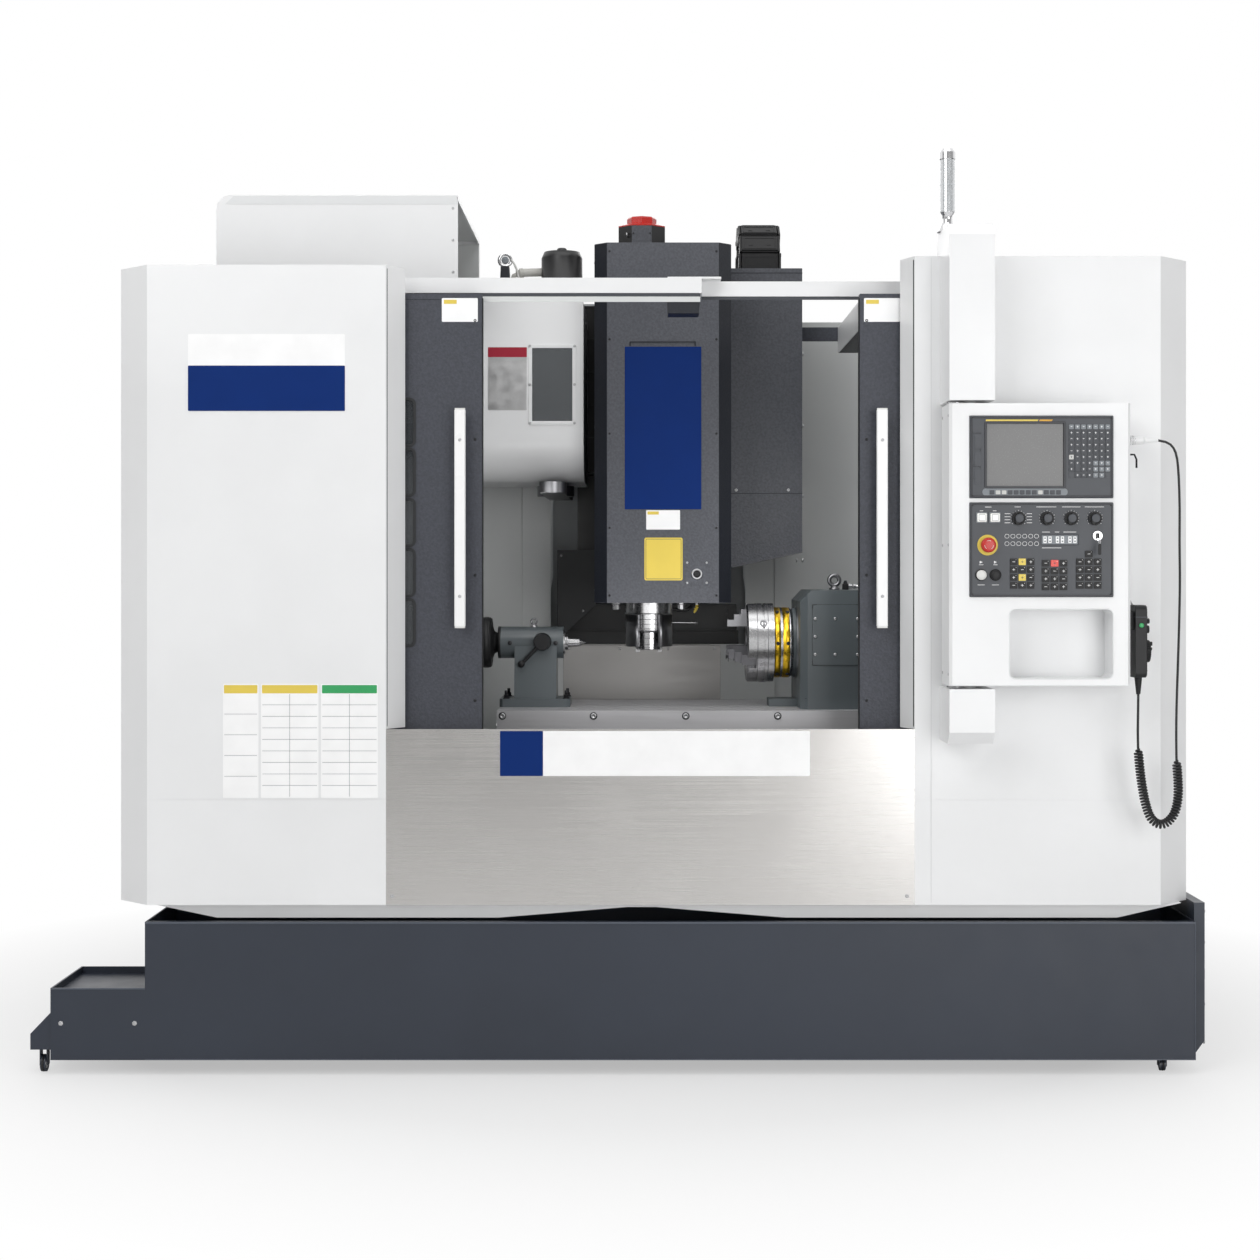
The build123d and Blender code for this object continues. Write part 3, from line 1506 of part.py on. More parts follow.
# Knobs: ribbed skirt, raised pointer bar and a shaft through the panel
button_travel = 4.0
for name, x, z, radius in controls:
    head_plane = front_plane(unit_front - gap)
    proud_plane = front_plane(unit_front - gap - button_travel)
    with BuildPart() as control:
        with BuildSketch(front_plane(unit_front + shaft_length)):
            with Locations((x, z)):
                Circle(radius)
        if name.startswith("knob"):
            extrude(amount=shaft_length + gap)
            with BuildSketch(head_plane):
                with Locations((x, z)):
                    Circle(19)
                    with PolarLocations(19.5, 18):
                        Circle(1.6, mode=Mode.SUBTRACT)
            extrude(amount=9)
            with BuildSketch(front_plane(unit_front - gap - 9)):
                with Locations((x, z)):
                    SlotOverall(34, 11, rotation=60)
            extrude(amount=9)
        elif name == "emergency_stop":
            extrude(amount=shaft_length + gap + button_travel + 8)
            with BuildSketch(front_plane(unit_front - gap - button_travel - 8)):
                with Locations((x, z)):
                    Circle(21)
            extrude(amount=12)
            fillet(control.edges().sort_by(Axis.Y)[0], 5)
        elif name == "key_switch":
            extrude(amount=shaft_length + gap)
            with BuildSketch(head_plane):
                with Locations((x, z)):
                    Circle(13)
            extrude(amount=7)
            with BuildSketch(front_plane(unit_front - gap - 7)):
                with Locations((x, z)):
                    Rectangle(3, 16)
            extrude(amount=22)
        elif name.startswith("power"):
            extrude(amount=shaft_length + gap + button_travel)
            with BuildSketch(proud_plane):
                with Locations((x, z)):
                    RectangleRounded(26, 24, 2)
            extrude(amount=8)
            chamfer(control.faces().sort_by(Axis.Y)[0].edges(), 1.5)
        else:
            extrude(amount=shaft_length + gap + button_travel)
            with BuildSketch(proud_plane):
                with Locations((x, z)):
                    Circle(14)
            extrude(amount=8)
            fillet(control.edges().sort_by(Axis.Y)[0], 2)
    control.part.label = name
    export_step(control.part, f"parts/{name}.step")

# Handwheel unit: hand-held box on a bracket at the pendant's right side
unit_z0 = 1160.0
unit_z1 = 1365.0
unit_x0 = pendant_right + 17.0
unit_x1 = unit_x0 + 33.0
unit_y = pendant_front + 55.0
dial_z = 1234.0
dial_radius = 31.0
with BuildPart() as handwheel_unit:
    with BuildSketch(side_plane(unit_x0)):
        with Locations((unit_y, (unit_z0 + unit_z1) / 2)):
            RectangleRounded(82, unit_z1 - unit_z0, 14)
    extrude(amount=unit_x1 - unit_x0)
    chamfer(handwheel_unit.faces().sort_by(Axis.X)[-1].edges(), 3)
    block(
        pendant_right, unit_x0, unit_y - 20, unit_y + 20, unit_z1 - 70, unit_z1 - 20
    )
    with BuildSketch(Plane.XY.offset(unit_z0)):
        with Locations(((unit_x0 + unit_x1) / 2, unit_y)):
            Circle(11)
    extrude(amount=-48, taper=6)
    with BuildSketch(side_plane(unit_x1)):
        with Locations((unit_y, dial_z + 62)):
            Circle(12)
    extrude(amount=13, taper=5)
    with BuildSketch(side_plane(unit_x1)):
        with Locations((unit_y, dial_z)):
            Circle(6 + running_gap)
    extrude(amount=-20, mode=Mode.SUBTRACT)
handwheel_unit.part.label = "handwheel_unit"
export_step(handwheel_unit.part, "parts/handwheel_unit.step")

# Handwheel dial: knurled wheel with a finger knob on its face
with BuildPart() as handwheel_dial:
    with BuildSketch(side_plane(unit_x1 - 18)):
        with Locations((unit_y, dial_z)):
            Circle(6)
    extrude(amount=18 + gap)
    with BuildSketch(side_plane(unit_x1 + gap)):
        with Locations((unit_y, dial_z)):
            Circle(dial_radius)
            with PolarLocations(dial_radius + 0.6, 30):
                Circle(1.7, mode=Mode.SUBTRACT)
    extrude(amount=13)
    with BuildSketch(side_plane(unit_x1 + gap + 13)):
        with Locations((unit_y, dial_z + dial_radius - 10)):
            Circle(6)
    extrude(amount=9)
handwheel_dial.part.label = "handwheel_dial"
export_step(handwheel_dial.part, "parts/handwheel_dial.step")


def bend_radii(points):
    """The largest arc at each corner of a cord's route that its two runs allow."""
    radii = []
    for before, here, after in zip(points, points[1:], points[2:]):
        first = Vector(*here) - Vector(*before)
        second = Vector(*after) - Vector(*here)
        half_turn = radians(first.get_angle(second)) / 2
        radii.append(0.45 * min(first.length, second.length) / tan(half_turn))
    return radii


# Handwheel cord: thin lead from the socket, one fat tube for the curls, thin tail
cord_y = unit_y
lead_diameter = 7.0
coil_diameter = 28.0
tail_x = (unit_x0 + unit_x1) / 2
lead_route = [
    (plug_end, cord_y, plug_z),
    (centre_x + 1466, cord_y, 1829),
    (centre_x + 1486, cord_y, 1811),
    (centre_x + 1495, cord_y - 1, 1783),
    (centre_x + 1499, cord_y - 2, 1730),
    (centre_x + 1502, cord_y - 2, 1640),
    (centre_x + 1501, cord_y - 1, 1545),
    (centre_x + 1503, cord_y, 1450),
    (centre_x + 1502, cord_y + 1, 1355),
    (centre_x + 1499, cord_y, 1260),
    (centre_x + 1496, cord_y, 1165),
    (centre_x + 1493, cord_y + 1, 1070),
    (centre_x + 1492, cord_y, 985),
    (centre_x + 1493, cord_y, 925),
]
coil_route = [
    (centre_x + 1493, cord_y, 925),
    (centre_x + 1498, cord_y, 868),
    (centre_x + 1498, cord_y, 812),
    (centre_x + 1485, cord_y - 1, 764),
    (centre_x + 1452, cord_y - 2, 738),
    (centre_x + 1420, cord_y - 2, 755),
    (centre_x + 1404, cord_y - 1, 801),
    (centre_x + 1395, cord_y, 853),
    (centre_x + 1388, cord_y, 906),
    (centre_x + 1384, cord_y, 958),
]
tail_route = [
    (centre_x + 1384, cord_y, 958),
    (centre_x + 1383, cord_y, 1008),
    (centre_x + 1384, cord_y, 1060),
    (tail_x, cord_y, unit_z0 - 48),
]
with BuildPart() as handwheel_lead:
    for route in (lead_route, tail_route):
        with BuildLine() as path:
            FilletPolyline(*route, radius=bend_radii(route))
        with BuildSketch(Plane(origin=path.line @ 0, z_dir=path.line % 0)):
            Circle(lead_diameter / 2)
        sweep(path=path.line)
        lead_length = path.wire().length
        print("lead radii", [round(r) for r in bend_radii(route)], "length", round(lead_length))
handwheel_lead.part.label = "handwheel_lead"
export_step(handwheel_lead.part, "parts/handwheel_lead.step")

with BuildPart() as handwheel_coil:
    with BuildLine() as path:
        FilletPolyline(*coil_route, radius=bend_radii(coil_route))
    with BuildSketch(Plane(origin=path.line @ 0, z_dir=path.line % 0)):
        Circle(coil_diameter / 2)
    sweep(path=path.line)
    coil_length = path.wire().length
    print("coil radii", [round(r) for r in bend_radii(coil_route)], "length", round(coil_length))
handwheel_coil.part.label = "handwheel_coil"
export_step(handwheel_coil.part, "parts/handwheel_coil.step")

# Coolant tank: long open trough, low chip tray at its left, duct at its right
casters = (
    (centre_x - 1769.0, front_y + 45.0, 72.0, 25.0),
    (centre_x - 1769.0, front_y + 300.0, 72.0, 25.0),
    (centre_x + 1499.0, front_y + 55.0, tank_bottom, caster_radius),
    (centre_x + 1499.0, front_y + 340.0, tank_bottom, caster_radius),
)
with BuildPart() as coolant_tank:
    block(tank_left, tank_right, front_y, front_y + tank_depth, tank_bottom, tank_top)
    block(
        tank_left + tank_wall, tank_right - tank_wall,
        front_y + tank_wall, front_y + tank_depth - tank_wall,
        tank_bottom + tank_wall, tank_top, mode=Mode.SUBTRACT,
    )
    block(
        tank_left, tank_right, front_y - 0.01, front_y + 22, tank_top - sheet, tank_top
    )
    for x in (centre_x - 560, centre_x + 420):
        block(
            x, x + sheet, front_y + tank_wall, front_y + tank_depth - tank_wall,
            tank_bottom + tank_wall, tank_top - 120,
        )
    block(tray_left, tank_left, front_y, front_y + tray_depth, tank_bottom, tray_top)
    block(
        tray_left + tank_wall, tank_left - tank_wall,
        front_y + tank_wall, front_y + tray_depth - tank_wall,
        tray_floor, tray_top, mode=Mode.SUBTRACT,
    )
    extrude(
        outline(
            front_plane(front_y + 6),
            [(tray_left, 181), (bracket_left, 118), (bracket_left, 72), (tray_left, 72)],
        ),
        amount=-(tray_depth - 12),
    )
    extrude(
        outline(
            front_plane(front_y + 20),
            [
                (tank_right, 60), (side_duct_right - 26, 60), (side_duct_right, 96),
                (side_duct_right, 497), (tank_right, 497),
            ],
        ),
        amount=-310,
    )
    block(
        side_duct_right, side_duct_right + 7, front_y + 60, front_y + 84, 257, 304,
    )
    for x, y, top, radius in casters:
        block(x - 22, x + 22, y - 20, y + 20, top - 4, top)
        for side in (-1, 1):
            block(
                x + side * 10 - 1.5, x + side * 10 + 1.5, y - 9, y + 17,
                radius - 5, top - 4,
            )
        with BuildSketch(side_plane(x - caster_width / 2)):
            with Locations((y + 4, radius)):
                Circle(radius)
        extrude(amount=caster_width)
        with BuildSketch(side_plane(x - 11.5)):
            with Locations((y + 4, radius)):
                Circle(4)
        extrude(amount=23)
coolant_tank.part.label = "coolant_tank"
export_step(coolant_tank.part, "parts/coolant_tank.step")

# Electrical cabinet on the back of the column: door panel, louvres and cooler
cabinet_back = column_back + cabinet_depth - 15
with BuildPart() as electrical_cabinet:
    block(
        centre_x - cabinet_half, centre_x + cabinet_half, column_back, cabinet_back - 20,
        cabinet_bottom, cabinet_top,
    )
    for side in (-1, 1):
        with BuildSketch(front_plane(cabinet_back)):
            with Locations((centre_x + side * cabinet_half / 2, (cabinet_bottom + cabinet_top) / 2)):
                RectangleRounded(cabinet_half - 24, cabinet_top - cabinet_bottom - 40, 8)
        extrude(amount=20)
        with BuildSketch(front_plane(cabinet_back)):
            with Locations((centre_x + side * cabinet_half / 2, cabinet_bottom + 180)):
                with GridLocations(1, 26, 1, 8):
                    RectangleRounded(260, 9, 4)
        extrude(amount=6, mode=Mode.SUBTRACT)
electrical_cabinet.part.label = "electrical_cabinet"
export_step(electrical_cabinet.part, "parts/electrical_cabinet.step")
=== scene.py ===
import bpy, bmesh, math
from itertools import product
from mathutils import Matrix, Vector


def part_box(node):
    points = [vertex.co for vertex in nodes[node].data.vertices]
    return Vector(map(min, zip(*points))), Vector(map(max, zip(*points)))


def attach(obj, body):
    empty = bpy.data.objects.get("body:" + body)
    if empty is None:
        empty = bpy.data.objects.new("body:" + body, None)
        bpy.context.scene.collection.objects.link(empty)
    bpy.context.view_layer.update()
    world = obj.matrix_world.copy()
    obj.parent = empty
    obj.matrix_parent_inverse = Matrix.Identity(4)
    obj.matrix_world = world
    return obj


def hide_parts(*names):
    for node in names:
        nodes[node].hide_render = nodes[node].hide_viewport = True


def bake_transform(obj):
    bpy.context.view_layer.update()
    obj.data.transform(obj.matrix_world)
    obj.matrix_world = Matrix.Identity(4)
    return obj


# Looks of the machining center. Everything is in metres, in the frame of the CAD model.

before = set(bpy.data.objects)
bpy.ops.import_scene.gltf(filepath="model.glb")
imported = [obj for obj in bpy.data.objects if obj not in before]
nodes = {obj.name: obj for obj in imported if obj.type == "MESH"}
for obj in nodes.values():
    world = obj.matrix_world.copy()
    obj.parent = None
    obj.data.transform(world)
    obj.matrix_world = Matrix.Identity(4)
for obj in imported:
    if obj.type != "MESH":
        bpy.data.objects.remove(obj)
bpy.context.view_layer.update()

X, Y, Z = Vector((1, 0, 0)), Vector((0, 1, 0)), Vector((0, 0, 1))

FRONT, BACK, UP, DOWN, LEFT, RIGHT = -Y, Y, Z, -Z, -X, X      # the way a part faces


def box(node):
    """Lowest and highest corner of a CAD node, to a tenth of a millimetre."""
    return [Vector([round(v, 4) for v in corner]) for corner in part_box(node)]


def mid(node):
    lo, hi = box(node)
    return (lo + hi) / 2


# Driving places of the frame
CX, SPY, _ = mid("spindle")                 # centreline of the spindle
FY = box("front_panel")[0].y                # front plane of the enclosure
LO, LI = box("left_enclosure")[0].x, CX - 0.766      # outer side and inner edge of the left tower
RI, RO = CX + 0.768, box("right_enclosure")[1].x


# Short calls for nodes and materials

def add(tree, kind, links=(), **inputs):
    """A shader node: its named inputs take values, and links are pairs of an output and an input."""
    n = tree.nodes.new("ShaderNode" + kind)
    for name, value in inputs.items():
        n.inputs[name.replace("_", " ")].default_value = value
    for out, socket in links:
        tree.links.new(out, n.inputs[socket])
    return n


def join(tree, operation, *outputs):
    """A math node over one or two outputs."""
    n = add(tree, "Math", [(out, k) for k, out in enumerate(outputs)])
    n.operation = operation
    return n.outputs[0]


class Mat:
    """A material with short calls for its nodes."""

    def __init__(self, name, color, rough=0.5, metal=0.0):
        self.m = bpy.data.materials.new(name)
        self.m.use_nodes = True
        self.m.diffuse_color = (*color, 1)
        self.t = self.m.node_tree
        self.b = self.t.nodes["Principled BSDF"]
        self.set(Base_Color=(*color, 1), Roughness=rough, Metallic=metal)
        self.obj = add(self.t, "TexCoord").outputs["Object"]
        self.bumped = None

    def set(self, **sockets):
        for k, v in sockets.items():
            self.b.inputs[k.replace("_", " ")].default_value = v

    def noise(self, scale, detail=2.0, rough=0.5, stretch=None):
        place = self.obj
        if stretch:
            place = add(self.t, "Mapping", [(place, "Vector")], Scale=stretch).outputs[0]
        n = add(self.t, "TexNoise", [(place, "Vector")], Scale=scale, Detail=detail, Roughness=rough)
        return n.outputs["Fac"]

    def voronoi(self, scale, feature):
        n = add(self.t, "TexVoronoi", [(self.obj, "Vector")])
        n.feature = feature
        n.inputs["Scale"].default_value = scale
        return n.outputs["Distance"]

    def ramp(self, fac, lo, hi, a, b):
        n = add(self.t, "ValToRGB", [(fac, "Fac")])
        for stop, position, color in zip(n.color_ramp.elements, (a, b), (lo, hi)):
            stop.position = position
            stop.color = (*color, 1)
        return n.outputs["Color"]

    def values(self, fac, lo, hi, a=0.3, b=0.7):
        return add(self.t, "MapRange", [(fac, "Value")],
                   From_Min=a, From_Max=b, To_Min=lo, To_Max=hi).outputs[0]

    def link(self, out, socket):
        self.t.links.new(out, self.b.inputs[socket])

    def bump(self, height, strength, distance):
        n = add(self.t, "Bump", [(height, "Height")], Strength=strength, Distance=distance)
        if self.bumped:
            self.t.links.new(self.bumped, n.inputs["Normal"])
        self.bumped = n.outputs["Normal"]
        self.link(self.bumped, "Normal")

    def mix(self, fac, a, b):
        n = self.t.nodes.new("ShaderNodeMix")
        n.data_type = "RGBA"
        self.t.links.new(fac, n.inputs[0])
        n.inputs[6].default_value = (*a, 1)
        n.inputs[7].default_value = (*b, 1)
        return n.outputs[2]


def shade(c, k):
    return tuple(max(0.0, min(1.0, v * k)) for v in c)


def paint(name, color, rough=0.38, peel=0.16, grime=0.035, coat=0.25):
    m = Mat(name, color, rough)
    big = m.noise(2.2, 4)
    m.link(m.ramp(big, shade(color, 1 - grime), shade(color, 1 + 0.4 * grime), 0.3, 0.62), "Base Color")
    m.link(m.values(m.noise(9.0, 3), rough - 0.05, rough + 0.07), "Roughness")
    m.bump(m.noise(240.0, 2), peel, 0.0006)
    m.set(Coat_Weight=coat, Coat_Roughness=0.18)
    return m.m


def wrinkle(name, color, rough, scale, depth):
    m = Mat(name, color, rough)
    fine = m.noise(scale * 1.7, 3)
    folds = m.noise(scale * 0.9, 4, 0.62)
    # The colour follows the folds that drive the bump: darker in their hollows and lighter on their ridges, a
    # painted shade and highlight
    m.link(m.ramp(folds, shade(color, 0.84), shade(color, 1.16), 0.36, 0.64), "Base Color")
    m.bump(folds, depth * 0.7, 0.0012)
    m.link(m.values(fine, rough - 0.08, rough + 0.1), "Roughness")
    m.bump(m.voronoi(scale, "SMOOTH_F1"), depth, 0.0007)
    m.bump(fine, depth * 0.4, 0.0004)
    return m.m


def brushed(name, color, rough, stretch, tint=0.05, depth=0.05, metal=1.0):
    m = Mat(name, color, rough, metal)
    streak = m.noise(1.0, 5, 0.6, stretch)
    m.link(m.mix(streak, shade(color, 1 - tint * 2), shade(color, 1 + tint)), "Base Color")
    cloud = m.values(m.noise(3.0, 4), 0.85, 1.2)
    m.link(join(m.t, "MULTIPLY", m.values(streak, rough - 0.06, rough + 0.08), cloud), "Roughness")
    m.bump(streak, depth, 0.0005)
    return m.m


def machined(name, color, rough, metal, scale):
    m = Mat(name, color, rough, metal)
    m.link(m.mix(m.noise(scale, 6, 0.65), shade(color, 0.88), shade(color, 1.06)), "Base Color")
    m.link(m.values(m.noise(scale * 0.3, 4), rough - 0.07, rough + 0.1), "Roughness")
    m.bump(m.noise(scale * 14, 2), 0.05, 0.0003)
    return m.m


def turned(name, color, rough):
    """Bright metal with a fine, even finish."""
    m = Mat(name, color, rough, 1.0)
    fine = m.noise(420.0, 2)
    m.link(m.mix(m.noise(9.0, 2), shade(color, 0.95), shade(color, 1.04)), "Base Color")
    m.link(m.values(fine, rough - 0.03, rough + 0.05), "Roughness")
    m.bump(fine, 0.03, 0.0002)
    return m.m


def oiled(name, color, rough=0.2):
    """Bright metal under an uneven film of oil."""
    m = Mat(name, color, rough, 1.0)
    film = m.noise(16.0, 3)
    m.link(m.mix(film, shade(color, 0.7), color), "Base Color")
    m.link(m.values(film, rough, rough + 0.12), "Roughness")
    m.bump(film, 0.05, 0.0005)
    return m.m


def casting(name, color, rough=0.55):
    m = Mat(name, color, rough)
    m.link(m.mix(m.noise(5.0, 4), shade(color, 0.9), shade(color, 1.08)), "Base Color")
    m.link(m.values(m.noise(30, 3), rough - 0.08, rough + 0.08), "Roughness")
    m.bump(m.noise(110.0, 5), 0.35, 0.0015)
    return m.m


def plastic(name, color, rough=0.45, grain=0.18, scale=700.0, gloss=0.5):
    m = Mat(name, color, rough)
    m.set(Specular_IOR_Level=gloss)
    fine = m.noise(scale, 3)
    m.link(m.mix(m.noise(14.0, 3), shade(color, 0.93), shade(color, 1.07)), "Base Color")
    m.link(m.values(fine, rough - 0.05, rough + 0.08), "Roughness")
    m.bump(fine, grain, 0.0003)
    return m.m


def glass(name, color, rough, alpha):
    m = Mat(name, color, rough)
    m.link(m.mix(m.noise(2.0, 3), shade(color, 0.9), shade(color, 1.1)), "Base Color")
    m.link(m.values(m.noise(4.0, 4), rough, rough + 0.05), "Roughness")
    m.set(Alpha=alpha, IOR=1.45, Coat_Weight=0.5, Coat_Roughness=0.05)
    return m.m


def lamp(name, color, glow, strength):
    m = Mat(name, color, 0.3)
    spread = m.noise(60.0, 2)
    m.link(m.mix(spread, shade(glow, 0.85), shade(glow, 1.0)), "Emission Color")
    m.link(m.mix(spread, shade(color, 0.9), color), "Base Color")
    m.set(Emission_Strength=strength)
    m.link(m.values(spread, 0.25, 0.4), "Roughness")
    return m.m


M = {
    "white": paint("white_paint_a", (0.83, 0.835, 0.84), 0.36, 0.14),
    # The white paint darkened: painted shade for side faces, folds and rims that turn away from the lamps;
    # the rear cabinet is given it too
    "white_side": paint("white_paint_shaded", (0.74, 0.75, 0.755), 0.42, 0.16),
    "inner_grey": paint("inner_grey_paint", (0.66, 0.675, 0.67), 0.45, 0.16, 0.05),
    "graphite": wrinkle("graphite_wrinkle", (0.044, 0.048, 0.062), 0.5, 150.0, 0.9),
    "graphite_head": wrinkle("graphite_wrinkle_head", (0.07, 0.074, 0.088), 0.5, 150.0, 0.9),
    "graphite_dark": wrinkle("graphite_wrinkle_dark", (0.005, 0.007, 0.013), 0.5, 200.0, 0.5),
    "slate": paint("slate_satin", (0.023, 0.03, 0.046), 0.42, 0.2, 0.12, 0.1),
    # The slate paint lightened: a painted highlight along the coolant tank's edges
    "slate_edge_highlight": paint("slate_edge_highlight", (0.075, 0.088, 0.115), 0.4, 0.2, 0.1, 0.1),
    "equipment": paint("equipment_grey", (0.088, 0.104, 0.112), 0.4, 0.22, 0.1, 0.2),
    "stainless": brushed("stainless_front", (0.6, 0.585, 0.57), 0.24, (1.5, 700.0, 700.0), 0.03, 0.02),
    "stainless_v": brushed("stainless_inner", (0.4, 0.39, 0.38), 0.38, (3.0, 300.0, 300.0)),
    "steel": turned("ground_steel", (0.46, 0.46, 0.465), 0.24),
    "steel_dark": turned("oiled_steel", (0.24, 0.24, 0.25), 0.34),
    "table_steel": brushed("table_ground", (0.56, 0.555, 0.57), 0.36, (4.0, 180.0, 180.0), 0.05, 0.05, 0.5),
    "chrome": machined("chrome_bright", (0.78, 0.78, 0.79), 0.1, 1.0, 20.0),
    "screw": machined("zinc_screw", (0.55, 0.55, 0.56), 0.3, 1.0, 200.0),
    "black_screw": machined("black_oxide", (0.035, 0.035, 0.038), 0.35, 0.6, 200.0),
    "oil": oiled("amber_oil_film", (0.95, 0.6, 0.04)),
    # Graphite darkened for the cover beside the head: painted shade
    "graphite_in_shade": paint("graphite_shade_sheet", (0.022, 0.023, 0.025), 0.5, 0.12, 0.2, 0.05),
    "cast": casting("cast_grey", (0.42, 0.44, 0.45)),
    "motor_black": paint("motor_black", (0.006, 0.006, 0.007), 0.38, 0.25, 0.2, 0.05),
    # Black paint for the head casting and way covers, made darker than real paint so that the zone behind the
    # head stays black: part painted shade
    "black_sheet": paint("black_cover_sheet_and_shade", (0.0035, 0.0035, 0.004), 0.45, 0.12, 0.2, 0.2),
    "black": plastic("black_plastic", (0.014, 0.014, 0.015), 0.42, gloss=0.3),
    "rubber": plastic("cord_rubber", (0.012, 0.012, 0.013), 0.52, 0.3, 500.0),
    "gasket": plastic("window_gasket", (0.016, 0.017, 0.019), 0.6, 0.3, 400.0),
    "panel": plastic("panel_grey", (0.055, 0.06, 0.07), 0.4, 0.15),
    "panel_dark": plastic("panel_dark", (0.018, 0.02, 0.026), 0.35, 0.1),
    "key_light": plastic("key_light", (0.6, 0.6, 0.58), 0.45, 0.08),
    "key_grey": plastic("key_grey", (0.22, 0.24, 0.26), 0.45, 0.08),
    "key_dark": plastic("key_dark", (0.05, 0.055, 0.065), 0.42, 0.08),
    "red": plastic("red_plastic", (0.52, 0.022, 0.016), 0.26, 0.03),
    "yellow": plastic("yellow_plastic", (0.76, 0.58, 0.09), 0.35, 0.05),
    "green": plastic("green_plastic", (0.04, 0.36, 0.12), 0.3, 0.05),
    "blue": plastic("blue_plate", (0.002, 0.024, 0.15), 0.5, 0.02, 900.0, 0.12),
    "amber": plastic("amber_plate", (0.7, 0.36, 0.02), 0.35, 0.05),
    "crimson": plastic("crimson_band", (0.34, 0.02, 0.04), 0.4, 0.05, gloss=0.25),
    "plate_silver": machined("silver_plate", (0.62, 0.62, 0.62), 0.35, 0.8, 120.0),
    "card": plastic("pale_card", (0.94, 0.94, 0.94), 0.42, 0.03),
    "pipe": plastic("pale_pipe", (0.52, 0.51, 0.48), 0.42, 0.05),
    "white_plastic": plastic("white_plastic", (0.72, 0.72, 0.7), 0.35, 0.05),
    "white_bar": paint("white_bar_paint", (0.93, 0.93, 0.93), 0.3, 0.08, 0.02),
    "lamp_white": lamp("lit_white", (0.8, 0.8, 0.78), (0.95, 0.95, 0.9), 0.25),
    "lamp_red": lamp("lit_red", (0.55, 0.04, 0.03), (0.9, 0.06, 0.04), 0.25),
    "pane": glass("tinted_pane", (0.045, 0.052, 0.06), 0.05, 0.62),
    "clear": glass("clear_plastic", (0.8, 0.84, 0.86), 0.08, 0.3),
    "smoke": glass("smoked_window", (0.1, 0.11, 0.12), 0.06, 0.55),
    "screen": plastic("display_glass", (0.135, 0.135, 0.135), 0.22, 0.01, 300.0),
    # Near black for the hollow inside the energy chain's links: painted shade
    "dark": plastic("chain_hollow_shade", (0.006, 0.006, 0.007), 0.7, 0.05),
}


# Mesh pieces

def polar(count, radius, start=0.0):
    """Pairs evenly round a circle, from its centre; start in degrees."""
    turns = (math.radians(start + 360 * k / count) for k in range(count))
    return [(radius * math.cos(a), radius * math.sin(a)) for a in turns]


def rounded(u0, u1, z0, z1, r, seg=4):
    pts = []
    corners = ((u1 - r, z1 - r), (u0 + r, z1 - r), (u0 + r, z0 + r), (u1 - r, z0 + r))
    for quarter, (cx, cz) in enumerate(corners):
        for k in range(seg + 1):
            t = math.radians(90 * (quarter + k / seg))
            pts.append((cx + r * math.cos(t), cz + r * math.sin(t)))
    return pts


def inset(inner, outer, k):
    return [(a[0] + (b[0] - a[0]) * k, a[1] + (b[1] - a[1]) * k) for a, b in zip(inner, outer)]


def around(axis):
    """An axis and two directions square to it."""
    a = Vector(axis).normalized()
    u = a.orthogonal().normalized()
    return a, u, a.cross(u)


